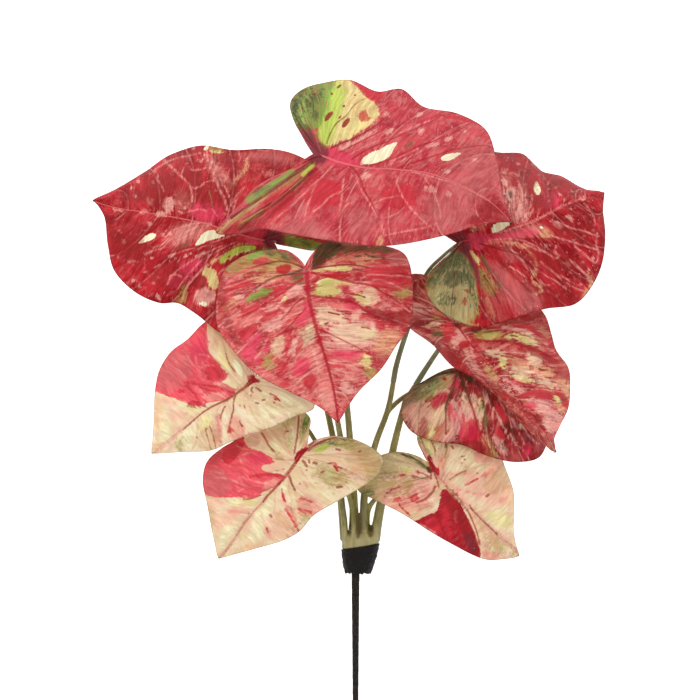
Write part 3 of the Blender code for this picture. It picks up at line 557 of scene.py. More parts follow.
        zone("deep", 0.25, 540, 220, 562, 226, 590, 224, 598, 238, 580, 240, 556, 238),
        zone("deep", 0.25, 530, 250, 556, 252, 586, 262, 580, 274, 552, 268, 530, 262),
        zone("deep", 0.25, 508, 166, 528, 170, 540, 182, 530, 192, 514, 184),
        # the upper half
        zone("deep", 0.45, 528, 158, 540, 170, 560, 178, 578, 188, 566, 194, 548, 184, 534, 176),
        zone("deep", 0.5, 528, 186, 536, 198, 544, 200, 552, 190, 556, 206, 540, 214, 530, 208),
        zone("shade", 0.7, 496, 156, 518, 156, 530, 164, 524, 172, 504, 172),
        zone("rose", 0.4, 544, 196, 556, 194, 562, 204, 550, 210, 542, 208),
        zone("glow", 0.5, 500, 176, 514, 174, 526, 182, 526, 200, 530, 216, 516, 224, 506, 206),
        patch("cream", 536, 181, 533, 189, 535, 195, 539, 197, 541, 192, 539, 186),
        zone("bloom", 0.9, 505, 190, 509, 188, 514, 190, 516, 196, 513, 203, 508, 202, 505, 196),
        patch("dusk", 508.5, 193, 512, 192, 513, 196, 511, 200, 509, 199),
        zone("bloom", 0.9, 500, 180, 504, 181, 507, 184, 505, 188, 502, 185),
        zone("scarlet", 0.6, 510, 178, 520, 180, 518, 188, 510, 188),
        *dots("bloom", 2.6, 518, 165, 532, 165, 544, 179, 525, 185, 507, 171, 505, 175, 504, 195, 513, 209,
              509, 207, 506, 203, 526, 196, 523, 200),
        *dots("cream", 3.2, 549, 201, 541, 228),
        *dots("bloom", 2, 564, 201, 556, 188, 572, 192, 548, 183, 560, 196, 538, 176),
        stroke("pale_line", 1.4, 1.2, 509, 175, 514, 174.5, 518, 177),
        stroke("pale_line", 1.4, 1.2, 519, 172, 520, 177, 524, 178),
        stroke("pale_line", 2.6, 1.8, 515, 223, 517, 213, 520, 204, 522, 196, 521, 188, 518, 182),
        stroke("pale_line", 2.0, 1.6, 517, 223, 522, 212, 526, 204, 526, 199),
        stroke("pale_line", 1.6, 1.2, 519, 224, 527, 214, 531, 206, 532, 196),
        stroke("pale_line", 1.6, 1.4, 513, 222, 510, 214, 504, 206),
        stroke("pale_line", 1.8, 1.2, 530, 222, 537, 217, 539, 210),
        stroke("pale_line", 1.2, 1.0, 522, 222, 530, 216, 533, 210),
        zone("bloom", 0.9, 524, 216, 528, 210, 530, 216, 527, 220),
        zone("bloom", 0.8, 514, 222, 516, 214, 520, 206, 524, 204, 522, 214, 518, 222),
        # the pale rib and what hangs from it
        stroke("pale_line", 2.4, 2.0, 500, 232, 520, 226, 536, 220, 548, 214, 560, 207, 574, 201, 584, 197),
        stroke("pale_line", 2.4, 1.6, 534, 222, 546, 214, 557, 209),
        patch("bloom", 580, 200, 583, 195.5, 587, 198, 584, 201),
        stroke("pale_line", 1.4, 1.0, 552, 212, 553, 218, 550, 222),
        zone("bloom", 0.8, 552, 222, 558, 220, 564, 226, 560, 230, 554, 228),
        patch("bloom", 564, 217, 568, 214.5, 572, 218, 574, 222, 570, 223, 568, 219),
        zone("peach", 0.9, 538, 230, 546, 228, 554, 234, 550, 240, 542, 238),
        zone("glow", 0.6, 500, 236, 520, 228, 540, 224, 548, 232, 524, 238, 506, 242),
        zone("rose", 0.5, 486, 236, 510, 232, 536, 228, 536, 236, 510, 240, 490, 244),
        # light lines of the lower half
        stroke("peach", 2.4, 2.0, 486, 244, 500, 242, 516, 244, 528, 251, 534, 260, 536, 268, 532, 277),
        stroke("pale_line", 1.2, 1.6, 490, 241, 510, 239, 528, 243, 544, 252, 556, 259),
        stroke("pale_line", 2.6, 2.0, 524, 244, 534, 249, 546, 253, 555, 259),
        stroke("pale_line", 1.8, 1.8, 556, 246, 555, 252, 559, 256, 553, 259),
        patch("bloom", 561, 262, 565, 261, 571, 264, 570, 267, 565, 266),
        stroke("pale_line", 1.6, 1.4, 540, 234, 560, 239, 580, 245, 597, 250),
        stroke("pale_line", 1.6, 1.4, 574, 247, 582, 253, 590, 260, 595, 263, 598, 254, 596, 244, 596, 234),
        stroke("pale_line", 1.4, 1.2, 562, 224, 574, 229, 588, 233, 597, 237),
        stroke("pale_line", 1.8, 2.2, 570, 260, 578, 268, 586, 276, 592, 283),
        stroke("pale_line", 1.2, 1.2, 546, 266, 556, 275, 567, 284, 582, 291),
        stroke("pale_line", 1.6, 1.2, 510, 267, 518, 272, 527, 278),
        stroke("pale_line", 1.4, 1.0, 540, 280, 546, 285, 552, 284),
        stroke("peach", 2.4, 2.0, 533, 283, 540, 286, 541, 290, 536, 294),
        stroke("pale_line", 1.2, 1.0, 500, 246, 512, 250, 522, 260, 532, 272),
        stroke("pale_line", 1.2, 1.0, 540, 262, 552, 272, 564, 278, 576, 286),
        stroke("pale_line", 1.0, 1.0, 530, 262, 540, 272, 556, 282, 570, 292),
        stroke("pale_line", 1.4, 1.2, 584, 204, 592, 214, 594, 226),
        # a painted highlight along the edge
        stroke("peach", 2.6, 2.0, 588, 275, 592, 282, 586, 292, 580, 299),
        *dots("bloom", 2.4, 584, 217, 590, 222, 578, 224, 592, 231, 573, 240, 564, 234, 584, 236, 588, 270,
              592, 258, 576, 296, 580, 284, 557, 296, 566, 294, 582, 262, 570, 272, 546, 246, 548, 292),
        # and its dark lines
        stroke("deep", 3.6, 2, 528, 249, 545, 262, 560, 276, 580, 290),
        stroke("deep", 2.4, 2, 545, 256, 560, 266, 578, 276),
        stroke("deep", 2.6, 2, 516, 240, 540, 240, 566, 238, 592, 242),
        stroke("deep", 2.6, 1.6, 566, 224, 580, 229, 596, 232),
        stroke("deep", 3, 2, 556, 230, 572, 236, 590, 240),
        stroke("deep", 2.4, 2, 488, 252, 504, 266, 520, 282, 530, 292),
        stroke("dark_line", 1.6, 1.0, 480, 244, 500, 250, 520, 256, 534, 270),
        stroke("deep", 2.6, 2, 562, 210, 578, 216, 596, 218),
        zone("deep", 0.5, 544, 290, 560, 288, 584, 294, 578, 304, 556, 309, 542, 308),
        zone("shade", 0.7, 556, 214, 566, 220, 576, 226, 566, 228, 556, 222),
        zone("shade", 0.7, 530, 262, 546, 270, 560, 284, 548, 288, 534, 276),
        zone("haze", 0.9, 500, 248, 512, 249, 517, 262, 506, 263),
        zone("haze", 0.7, 484, 258, 500, 266, 520, 280, 540, 292, 542, 309, 516, 317, 506, 302, 494, 280),
        # the green lobe
        zone("olive", 0.9, 446, 260, 458, 249, 468, 256, 474, 268, 478, 284, 481, 300, 478, 324, 458, 324,
             440, 316, 428, 300, 422, 286, 428, 270),
        zone("moss", 0.35, 428, 284, 430, 270, 444, 259, 458, 250, 468, 258, 474, 270, 476, 284, 462, 287,
             446, 286),
        zone("sage", 0.6, 427, 292, 431, 276, 443, 261, 457, 250, 466, 254, 473, 268, 478, 290, 477, 318,
             456, 325, 438, 315, 428, 302),
        zone("straw", 0.4, 436, 292, 446, 288, 450, 300, 442, 306, 434, 300),
        zone("pine", 0.8, 444, 279, 449, 269, 458, 271, 473, 271, 475, 281, 462, 283, 456, 288, 447, 287),
        zone("pine", 0.8, 440, 269, 444, 262, 453, 265, 451, 271),
        zone("pine", 0.8, 425, 285, 429, 276, 437, 278, 435, 287),
        zone("pine", 0.5, 452, 262, 460, 256, 468, 262, 464, 268),
        zone("pine", 0.4, 436, 300, 446, 292, 458, 298, 452, 304, 442, 306),
        zone("green", 0.9, 432, 284, 434, 276, 440, 276, 442, 283, 437, 286),
        zone("green", 0.8, 448, 262, 456, 254, 464, 258, 462, 266, 454, 266),
        zone("haze", 0.8, 460, 258, 466, 260, 470, 270, 464, 268),
        patch("moss", 440, 297, 441, 291, 446, 290, 449, 294, 446, 298),
        stroke("peach", 2, 3, 436, 288, 443, 282, 447, 275),
        patch("deep", 466, 293, 466, 289, 470, 289, 470, 293, 468, 295),
        patch("deep", 462, 303, 463, 298, 467, 297, 468, 302, 465, 306),
        patch("deep", 475, 320, 476, 314, 479, 315, 479, 321),
        stroke("dark_line", 1.2, 1.0, 455, 270, 453, 290, 451, 318),
        stroke("olive_line", 1.2, 1.0, 446, 284, 444, 298, 446, 314),
        stroke("peach", 3, 3, 434, 306, 446, 315, 460, 322, 478, 325),
        # between the lobe and the red
        zone("brick", 0.8, 480, 262, 488, 268, 500, 286, 506, 304, 508, 322, 488, 324, 482, 300, 476, 276),
        zone("olive", 0.7, 478, 268, 488, 272, 498, 290, 490, 296, 482, 286),
        stroke("moss", 3, 2, 482, 258, 492, 272, 502, 290),
        stroke("moss", 2.4, 2, 480, 272, 488, 286, 494, 296),
        stroke("peach", 2, 2.4, 486, 292, 490, 306, 494, 320),
        stroke("dark_line", 1.8, 1.4, 484, 276, 492, 288, 500, 304),
        zone("shade", 0.4, 496, 304, 504, 306, 510, 318, 506, 325, 497, 322),
        patch("deep", 482, 296, 482, 290, 486, 292, 488, 297, 485, 298),
        patch("straw", 469, 250, 474, 252, 480, 260, 480, 266, 476, 262),
        stroke("wine", 6, 3, 463, 245, 470, 257, 476, 270, 479, 284),
        stroke("deep", 2.6, 1.4, 478, 282, 480, 298, 486, 322),
        # the joint
        patch("rose", 464, 240, 470, 233, 482, 232, 492, 236, 490, 246, 480, 250, 470, 249),
        patch("wine", 446, 236, 456, 234, 462, 230, 467, 235, 471, 244, 471, 252, 465, 256, 458, 250,
              456, 242),
        patch("cream", 491, 233, 493, 226, 497, 222, 505, 222, 512, 224, 506, 227, 501, 230, 497, 233),
        zone("pinkish", 0.9, 470, 231, 474, 225, 484, 223, 487, 230, 480, 232),
        *dots("straw", 2.4, 472, 231, 475, 227, 486, 225),
    ],
    "front": [
        # the olive of the upper edge and the darker side
        zone("olive", 0.3, 222, 264, 236, 252, 256, 247, 280, 251, 298, 262, 292, 271, 264, 270, 240, 275,
             226, 276),
        zone("deep", 0.3, 216, 280, 226, 276, 228, 300, 232, 324, 244, 344, 234, 344, 222, 320, 216, 300),
        # left-hand half in the photograph: the green upper edge
        patch("green", 246, 260, 251, 253, 257, 249, 263, 250, 266, 254, 260, 258, 252, 261),
        zone("moss", 0.9, 262, 249, 275, 250, 287, 252, 300, 262, 292, 262, 276, 258, 264, 256),
        patch("chartreuse", 273, 258, 276, 255, 282, 256, 280, 259),
        zone("peach", 0.9, 270, 265, 284, 260, 298, 264, 300, 270, 284, 272, 270, 271),
        zone("scarlet", 0.8, 276, 266, 290, 264, 292, 270, 284, 275, 277, 273),
        patch("magenta", 251, 263, 257, 259, 265, 258, 271, 261, 266, 265, 258, 266.5),
        zone("olive", 0.7, 230, 270, 240, 264, 254, 262, 262, 266, 250, 270, 236, 274),
        zone("haze", 0.9, 219, 287, 224, 276, 236, 270, 252, 268, 246, 274, 230, 282),
        patch("bloom", 223, 280, 226, 276, 230, 277, 226, 281),
        stroke("bloom", 1.6, 1.4, 228, 282, 238, 276, 250, 271, 262, 268),
        stroke("rose", 1.6, 1.4, 224, 284, 236, 276, 248, 270, 262, 266),
        zone("peach", 0.8, 250, 280, 260, 275, 274, 272, 290, 277, 276, 280, 262, 284),
        zone("glow", 0.8, 244, 293, 256, 288, 264, 283, 276, 280, 272, 286, 256, 291),
        patch("moss", 290, 278, 296, 274, 304, 274, 304, 284, 298, 285, 292, 281),
        zone("crimson", 0.8, 222, 292, 228, 284, 240, 280, 252, 282, 246, 290, 232, 294),
        stroke("pale_line", 1.6, 1.2, 224, 288, 236, 284, 250, 279),
        stroke("pale_line", 1.4, 1.2, 224, 296, 236, 291, 250, 286),
        stroke("deep", 2, 1.6, 228, 290, 238, 289, 244, 288),
        stroke("deep", 1.8, 1.4, 250, 273, 254, 272.5, 257, 272.5),
        stroke("deep", 1.8, 1.4, 257, 274, 261, 272.5, 265, 272),
        stroke("deep", 1.6, 1.2, 265, 277, 268, 276, 271, 275),
        stroke("deep", 1.8, 1.4, 266, 287, 270, 286, 273, 285.5),
        stroke("deep", 2.2, 1.6, 277, 285, 281, 283, 284, 280),
        patch("green", 246, 302, 250, 296, 256, 292, 263, 289, 270, 288, 275, 289, 271, 293, 262, 297,
              254, 301),
        stroke("deep", 2.8, 2, 255, 302, 264, 299, 272, 295),
        zone("crimson", 0.7, 272, 296, 276, 288, 286, 284, 288, 288, 282, 294, 276, 298),
        zone("bloom", 0.8, 234, 300, 238, 295, 246, 294, 244, 299, 238, 302),
        zone("peach", 0.8, 222, 311, 227, 303, 236, 298, 242, 299, 234, 306, 226, 312),
        stroke("deep", 1.8, 1.4, 226, 310, 234, 304, 242, 300),
        stroke("deep", 2, 1.4, 220, 314, 230, 310, 240, 306),
        zone("pinkish", 0.6, 224, 314, 240, 306, 262, 304, 262, 318, 246, 330, 228, 328),
        zone("crimson", 0.4, 240, 306, 258, 304, 262, 312, 250, 318, 240, 316),
        stroke("pale_line", 1.6, 1.4, 224, 320, 234, 316, 246, 314),
        stroke("pale_line", 1.6, 1.2, 226, 328, 236, 323, 248, 318),
        stroke("pale_line", 2.8, 2, 244, 322, 254, 314, 266, 308, 278, 304),
        stroke("bloom", 3, 2, 258, 322, 264, 314, 276, 308, 284, 300),
        patch("bloom", 244, 328, 246, 324, 252, 322, 251, 326),
        stroke("crimson", 3, 2, 263, 314, 272, 313, 280, 309),
        stroke("crimson", 2.2, 1.6, 270, 319, 277, 315, 284, 312),
        zone("bloom", 0.7, 262, 326, 270, 318, 284, 314, 290, 318, 280, 328, 268, 334),
        zone("bloom", 0.8, 286, 296, 288, 289, 296, 284, 303, 286, 304, 294, 297, 298, 290, 301),
        patch("deep", 283, 305, 288, 300, 296, 296.5, 301, 296.5, 296, 301, 289, 305),
        patch("straw", 281, 301, 284, 297.5, 288, 298, 285, 302),
        stroke("bloom", 3, 2.4, 286, 314, 294, 306, 302, 302),
        stroke("pinkish", 4, 3, 284, 322, 292, 314, 302, 306),
        patch("rose", 296, 322, 300, 313, 305, 305, 310, 301, 313, 312, 309, 322, 302, 328),
        patch("magenta", 282, 328, 284, 324, 288, 324, 287, 328),
        stroke("deep", 2.4, 1.6, 281, 334, 287, 331, 293, 328),
        zone("mint", 0.4, 297, 344, 300, 333, 307, 323, 314, 321, 316, 334, 311, 342, 303, 348),
        # its long dark veins
        stroke("dark_line", 1.8, 1.2, 303, 268, 294, 264, 280, 262, 266, 264, 252, 268),
        stroke("dusk", 2.8, 1.4, 302, 270, 290, 274, 276, 277, 264, 283, 252, 291, 236, 294),
        stroke("red_line", 2.6, 1.6, 303, 279, 292, 286, 280, 295, 268, 303, 254, 311, 238, 318),
        stroke("red_line", 2.0, 1.4, 304, 298, 296, 304, 289, 312, 281, 320),
        stroke("red_line", 1.8, 1.2, 306, 308, 297, 318, 288, 328, 274, 338),
        # its lower part
        zone("rose", 0.8, 240, 350, 247, 338, 256, 332, 263, 332, 262, 342, 256, 350, 262, 362, 250, 362,
             242, 356),
        patch("rose", 263, 351, 265, 344, 270, 343, 271, 350, 267, 353),
        zone("ivory", 0.7, 270, 350, 272, 341, 277, 336, 284, 335, 285, 344, 282, 353, 275, 355),
        zone("bloom", 0.8, 286, 354, 292, 340, 299, 334, 304, 338, 300, 352, 292, 360),
        zone("crimson", 0.9, 284, 354, 286, 342, 290, 334, 294, 336, 291, 346, 287, 355),
        patch("crimson", 296, 350, 298, 338, 301, 335, 304, 341, 302, 349, 296, 356),
        zone("olive", 0.9, 263, 367, 265, 358, 270, 354, 278, 354, 280, 361, 276, 367, 268, 370),
        zone("crimson", 0.9, 272, 358, 276, 355, 280, 360, 277, 364, 273, 363),
        stroke("crimson", 3, 2.4, 283, 370, 287, 362, 291, 356),
        patch("rose", 292, 371, 295, 364, 300, 358, 306, 356, 311, 359, 309, 368, 304, 374, 297, 375),
        zone("crimson", 0.7, 238, 334, 246, 326, 262, 326, 254, 334, 242, 342),
        stroke("pale_line", 1.8, 1.4, 240, 352, 248, 342, 258, 332, 266, 322),
        stroke("pale_line", 2.0, 1.6, 256, 358, 264, 348, 268, 338, 272, 328),
        stroke("pale_line", 2.0, 1.6, 264, 372, 272, 362, 282, 350, 290, 338),
        stroke("pale_line", 2.4, 2, 286, 376, 293, 365, 300, 354, 310, 344),
        zone("glow", 0.8, 304, 346, 314, 342, 322, 352, 326, 372, 316, 378, 308, 364),
        stroke("bloom", 2, 2, 312, 348, 316, 358, 318, 370),
        zone("pinkish", 0.8, 250, 366, 264, 370, 284, 380, 300, 388, 298, 394, 276, 386, 256, 376),
        zone("crimson", 0.8, 278, 386, 282, 380, 292, 382, 288, 388),
        zone("glow", 0.8, 286, 382, 300, 380, 306, 386, 298, 392, 288, 388),
        zone("crimson", 0.7, 303, 386, 306, 376, 314, 374, 320, 384, 314, 390),
        zone("bloom", 0.9, 311, 386, 314, 380, 319, 380, 318, 386, 314, 389),
        zone("pinkish", 0.6, 318, 384, 328, 372, 336, 392, 336, 412, 326, 404),
        zone("bloom", 0.6, 316, 396, 326, 386, 334, 396, 335, 412, 326, 408),
        zone("glow", 0.5, 308, 392, 322, 372, 334, 378, 338, 400, 336, 414, 320, 404),
        zone("pinkish", 0.7, 302, 396, 310, 393, 322, 397, 330, 406, 322, 408, 308, 402),
        patch("crimson", 310, 400, 313, 397, 318, 399, 315, 402),
        # right-hand half: the dark upper edge, green print under painted shadow from the leaf above
        zone("moss", 0.9, 318, 266, 314, 256, 320, 243, 340, 243, 360, 247, 384, 245, 398, 252, 384, 254,
             362, 252, 345, 253, 332, 258),
        zone("dusk", 0.9, 311, 268, 314, 254, 319, 243, 328, 241, 340, 244, 346, 248, 336, 254, 326, 261,
             318, 267),
        zone("deep", 0.8, 310, 268, 317, 258, 323, 255, 327, 260, 322, 267, 314, 270),
        zone("haze", 0.9, 383, 256, 394, 252, 405, 254, 410, 260, 410, 270, 400, 266, 390, 262),
        zone("peach", 0.7, 324, 266, 338, 257, 358, 254, 382, 256, 378, 262, 360, 266, 340, 266),
        zone("brick", 0.8, 334, 260, 350, 255, 364, 258, 352, 264, 338, 264),
        stroke("dusk", 1.6, 1.4, 354, 257, 358, 256.5, 362, 257),
        stroke("dusk", 1.8, 1.4, 365, 255, 373, 257, 384, 258),
        stroke("deep", 3, 2.4, 365, 261, 368, 261, 371, 260),
        stroke("crimson", 3, 2.6, 375, 261, 380, 261, 385, 261),
        stroke("crimson", 2.4, 3, 336, 264, 346, 262, 354, 264),
        zone("crimson", 0.45, 362, 264, 380, 264, 404, 266, 412, 280, 404, 292, 386, 292, 368, 284),
        stroke("pale_line", 1.6, 1.4, 340, 270, 360, 267, 384, 266, 406, 265),
        stroke("pale_line", 1.6, 1.4, 366, 275, 380, 275, 400, 276, 411, 277),
        stroke("pale_line", 2, 1.6, 366, 282, 378, 280, 392, 284, 404, 290),
        stroke("crimson", 4, 3, 371, 272, 379, 271, 389, 272),
        stroke("deep", 2, 2, 390, 274, 400, 274, 410, 276),
        stroke("crimson", 3, 2.4, 390, 267, 400, 267, 410, 270),
        zone("olive", 0.6, 391, 294, 396, 286, 408, 284, 411, 294, 402, 300, 394, 298),
        # stripes by the rib
        zone("straw", 0.9, 311, 271, 320, 268, 346, 266, 354, 269, 345, 272, 328, 271, 316, 273),
        patch("chartreuse", 337, 270, 340, 267, 348, 267, 353, 269, 348, 271),
        stroke("dark_line", 1.4, 1.2, 352, 269, 357, 270, 363, 271.5),
        zone("scarlet", 0.6, 318, 276, 332, 273, 350, 274, 352, 278, 334, 278),
        zone("straw", 0.8, 317, 279, 330, 278, 346, 281, 354, 284, 342, 286, 340, 294, 326, 297, 314, 295,
             316, 286),
        patch("chartreuse", 321, 279, 331, 278, 335, 284, 332, 290, 325, 291, 320, 287),
        patch("chartreuse", 312, 292, 320, 288, 332, 288, 340, 292, 338, 296, 325, 297, 314, 296),
        *dots("moss", 3, 316, 293, 319, 293, 313, 290),
        stroke("red_line", 1.6, 1.2, 312, 288, 317, 287, 322, 286),
        stroke("red_line", 1.4, 1.2, 312, 284, 316, 285),
        stroke("peach", 1.6, 1.4, 312, 286, 320, 284),
        patch("magenta", 335, 287, 341, 284, 348, 285, 349, 288, 343, 290.5, 337, 288.5),
        zone("bloom", 0.9, 347, 288, 352, 284, 360, 285, 367, 286, 360, 291, 352, 293),
        zone("ivory", 0.9, 360, 291, 364, 287, 371, 286.5, 376, 290, 378, 296, 377, 303, 372, 306, 366, 303,
             362, 297),
        zone("straw", 0.9, 352, 297, 358, 293, 367, 294, 370, 300, 368, 306, 360, 304, 354, 300),
        stroke("fleck", 1.6, 1.2, 344, 294, 350, 294, 355, 295.5),
        stroke("fleck", 1.6, 1.2, 356, 295, 360, 296, 364, 297.5),
        zone("pinkish", 0.7, 324, 302, 336, 301, 352, 306, 362, 312, 352, 314, 338, 310, 326, 306),
        zone("rose", 0.7, 344, 303, 352, 302, 360, 308, 354, 311, 346, 308),
        patch("ivory", 316, 311, 319, 307, 325, 305.5, 331, 308, 338, 312, 344, 316, 349, 320, 344, 324,
              335, 322, 328, 325, 322, 329, 318, 321),
        stroke("fleck", 1.6, 1.2, 322, 312.5, 326, 312.5),
        stroke("fleck", 1.8, 1.4, 328, 312.5, 334, 314, 339, 315),
        stroke("fleck", 2, 1.6, 325, 324, 328, 322.5),
        stroke("fleck", 1.6, 1.2, 342, 318, 348, 319.5),
        zone("bloom", 0.7, 352, 312, 356, 308, 362, 309, 360, 316, 354, 322, 349, 318),
        patch("ivory", 350, 319, 354, 315, 358, 317, 357, 321, 352, 322),
        stroke("fleck", 2, 1.6, 363, 313.5, 368, 314.5),
        zone("bloom", 0.5, 326, 330, 340, 322, 362, 320, 378, 324, 384, 334, 372, 346, 350, 350, 332, 344),
        zone("ivory", 0.45, 334, 326, 350, 322, 372, 326, 376, 336, 362, 344, 344, 344, 332, 336),
        zone("peach", 0.9, 352, 330, 356, 325, 366, 325, 373, 330, 366, 332),
        stroke("fleck", 1.8, 1.4, 361, 327.5, 366, 328, 370, 329.5),
        zone("straw", 0.7, 360, 335, 368, 330, 376, 331, 372, 338, 364, 340),
        zone("pinkish", 0.8, 342, 330, 346, 325, 352, 327, 350, 332),
        zone("crimson", 0.8, 374, 326, 378, 319, 386, 322, 384, 330, 378, 332),
        zone("peach", 0.6, 374, 336, 386, 328, 402, 332, 398, 346, 384, 360, 372, 352),
        zone("deep", 0.8, 364, 306, 372, 308, 384, 311, 394, 313, 402, 309, 411, 306, 412, 324, 404, 328,
             392, 324, 380, 319, 370, 318, 365, 312),
        zone("pinkish", 0.8, 380, 298, 390, 302, 400, 308, 404, 306, 398, 300, 388, 296),
        stroke("pale_line", 2.4, 2, 378, 300, 388, 306, 398, 311),
        stroke("pale_line", 1.8, 1.4, 398, 302, 404, 308, 410, 312),
        # its dark veins
        stroke("dark_line", 1.8, 1.4, 312, 269, 325, 267, 346, 265, 368, 268),
        stroke("red_line", 2.6, 2, 312, 273, 334, 278, 352, 282, 372, 286, 381, 292, 391, 298, 400, 304),
        stroke("red_line", 1.8, 3, 311, 296, 326, 298, 342, 300, 355, 304, 366, 311, 380, 318),
        stroke("red_line", 1.6, 1.4, 316, 328, 330, 334, 346, 342, 362, 350),
        # its lower part
        zone("bloom", 0.5, 322, 338, 340, 346, 362, 348, 352, 352, 332, 350, 324, 346),
        stroke("pinkish", 2, 2, 340, 344, 350, 345, 360, 349),
        patch("rose", 328, 353, 338, 350, 350, 350, 361, 353, 363, 356, 356, 358, 344, 359, 334, 356),
        zone("straw", 0.5, 360, 358, 364, 355, 369, 357, 371, 363, 366, 369, 361, 364),
        zone("olive", 0.9, 363, 367, 370, 367, 379, 374, 376, 380, 369, 379, 365, 373),
        zone("brick", 0.8, 367, 352, 380, 350, 389, 356, 384, 367, 378, 372, 371, 364),
        zone("glow", 0.7, 332, 362, 348, 360, 362, 366, 366, 378, 350, 384, 336, 378),
        stroke("pale_line", 1.6, 1.4, 330, 360, 342, 362, 358, 370),
        stroke("pale_line", 1.6, 1.4, 334, 372, 346, 376, 360, 384),
        stroke("crimson", 2.4, 1.6, 332, 366, 342, 367, 350, 370),
        zone("bloom", 0.8, 338, 384, 346, 380, 354, 386, 352, 394, 342, 396),
        zone("pinkish", 0.7, 340, 396, 350, 396, 346, 406, 340, 412),
        zone("pinkish", 0.8, 326, 400, 334, 406, 338, 420, 330, 414),
    ],
    "mid_right": [
        # left-hand half in the photograph
        zone("bloom", 0.8, 411, 301, 418, 303, 430, 307, 436, 311, 426, 314, 414, 312),
        zone("haze", 0.8, 410, 308, 422, 309, 430, 314, 424, 319, 412, 317),
        stroke("dark_line", 1.4, 1.2, 411, 306, 420, 308, 432, 309),
        stroke("red_line", 1.8, 1.4, 424, 309, 434, 314, 444, 318, 454, 324),
        stroke("dark_line", 1.4, 1.2, 418, 312, 426, 315, 432, 317),
        zone("brick", 0.9, 414, 316, 420, 315, 428, 319, 424, 323, 416, 321),
        zone("deep", 0.8, 410, 321, 418, 320, 424, 324, 418, 329, 410, 326),
        zone("olive", 0.8, 430, 314, 438, 315, 444, 319, 436, 320),
        stroke("dark_line", 1.6, 1.6, 443, 319, 436, 319.5, 430, 322, 426, 324.5, 420, 323),
        zone("ivory", 0.9, 427, 325, 432, 321, 440, 321, 441, 325, 434, 328, 429, 327),
        stroke("fleck", 1.4, 1.2, 432, 327.5, 436, 327),
        stroke("fleck", 1.4, 1.4, 437, 327, 440, 327.5),
        *dots("fleck", 2, 443, 325, 446, 326.5, 445, 322.5),
        patch("moss", 432, 332, 435, 329, 441, 329, 444, 332, 442, 335.5, 436, 336, 433, 335),
        zone("crimson", 0.7, 444, 321, 450, 323, 457, 329, 452, 338, 447, 344, 444, 334),
        stroke("pinkish", 2, 2, 413, 329, 424, 333, 436, 340),
        stroke("deep", 2, 1.6, 424, 335, 436, 344, 446, 354),
        zone("dusk", 0.6, 453, 322, 460, 324, 462, 328, 455, 328),
        zone("bloom", 0.7, 453, 332, 459, 329, 466, 334, 469, 342, 462, 342, 456, 348, 452, 342),
        patch("magenta", 453, 334, 457, 331.5, 459, 335, 455, 337),
        patch("scarlet", 459, 344, 463, 340, 469, 341, 471, 345, 465, 348, 461, 347),
        zone("bloom", 0.5, 464, 350, 470, 351, 476, 362, 482, 374, 478, 374, 470, 364),
        zone("crimson", 0.7, 438, 346, 452, 350, 462, 360, 474, 376, 486, 384, 474, 380, 456, 369, 446, 358),
        zone("deep", 0.7, 446, 348, 456, 352, 462, 362, 458, 366, 450, 360),
        zone("deep", 0.5, 458, 368, 470, 374, 482, 380, 474, 379),
        stroke("pale_line", 1.6, 1.6, 463, 331, 469, 340, 472, 350, 476, 361, 484, 374, 494, 384),
        stroke("pale_line", 1.4, 1.2, 466, 360, 474, 371, 486, 382),
        zone("peach", 0.8, 484, 366, 489, 365, 496, 374, 500, 381, 494, 382, 488, 375),
        zone("olive", 0.6, 486, 368, 490, 368, 495, 376, 492, 378),
        stroke("bloom", 2, 2, 494, 376, 504, 386, 514, 395),
        zone("crimson", 0.6, 500, 388, 512, 396, 524, 408, 518, 408, 506, 398),
        patch("bloom", 514, 402, 517, 401, 519, 404, 516, 405),
        stroke("crimson", 3, 2, 516, 403, 528, 416, 542, 432),
        stroke("pale_line", 1.6, 1.4, 508, 399, 522, 412, 538, 430),
        stroke("bloom", 1.6, 1.4, 520, 408, 532, 420, 544, 434),
        zone("brick", 0.8, 522, 414, 532, 422, 544, 436, 548, 442, 540, 438, 528, 426),
        # right-hand half, from the top
        zone("deep", 0.9, 497, 313, 512, 316, 530, 314, 543, 310, 544, 315, 534, 320, 518, 324, 504, 326,
             494, 325),
        zone("scarlet", 0.8, 516, 318, 526, 315, 532, 317, 524, 321),
        zone("brick", 0.8, 526, 320, 538, 314, 546, 320, 551, 332, 552, 342, 546, 342, 538, 333, 528, 326),
        zone("peach", 0.9, 536, 327, 544, 325, 549, 334, 548, 342, 541, 337),
        stroke("glow", 2, 1.6, 507, 323, 522, 322, 533, 324, 540, 329),
        stroke("crimson", 4, 2.6, 513, 325, 524, 326.5, 534, 330, 544, 338, 553, 347),
        stroke("pale_line", 1.6, 1.4, 526, 331, 536, 337, 546, 346, 554, 353),
        zone("dusk", 0.6, 470, 328, 474, 330, 482, 330, 474, 333),
        patch("chartreuse", 472, 336, 477, 332.5, 486, 330.5, 495, 331, 502, 334, 500, 339, 488, 341,
              478, 340),
        zone("straw", 0.8, 482, 334, 492, 332, 498, 335, 492, 339, 484, 339),
        zone("bloom", 0.9, 500, 326, 508, 325, 518, 328, 526, 330, 531, 335, 532, 340, 526, 335, 516, 332,
             505, 331),
        patch("rose", 507, 329, 510, 328, 512.5, 330.5, 510, 332.5, 507.5, 331.5),
        zone("straw", 0.8, 502, 335, 514, 333, 526, 335, 534, 341, 538, 346, 528, 347, 518, 341, 506, 339),
        zone("ivory", 0.8, 524, 332, 531, 334, 538, 343, 536, 347, 530, 343, 526, 337),
        stroke("fleck", 2, 1.4, 510, 336, 514, 336.5, 517, 337.5),
        stroke("peach", 1.6, 1.4, 504, 338, 514, 339, 526, 342),
        stroke("dark_line", 1.4, 1.2, 519, 335, 526, 336.5, 530, 338),
        stroke("red_line", 1.6, 4, 476, 341, 490, 342, 506, 342.5, 520, 345.5, 534, 350, 546, 356, 556, 361),
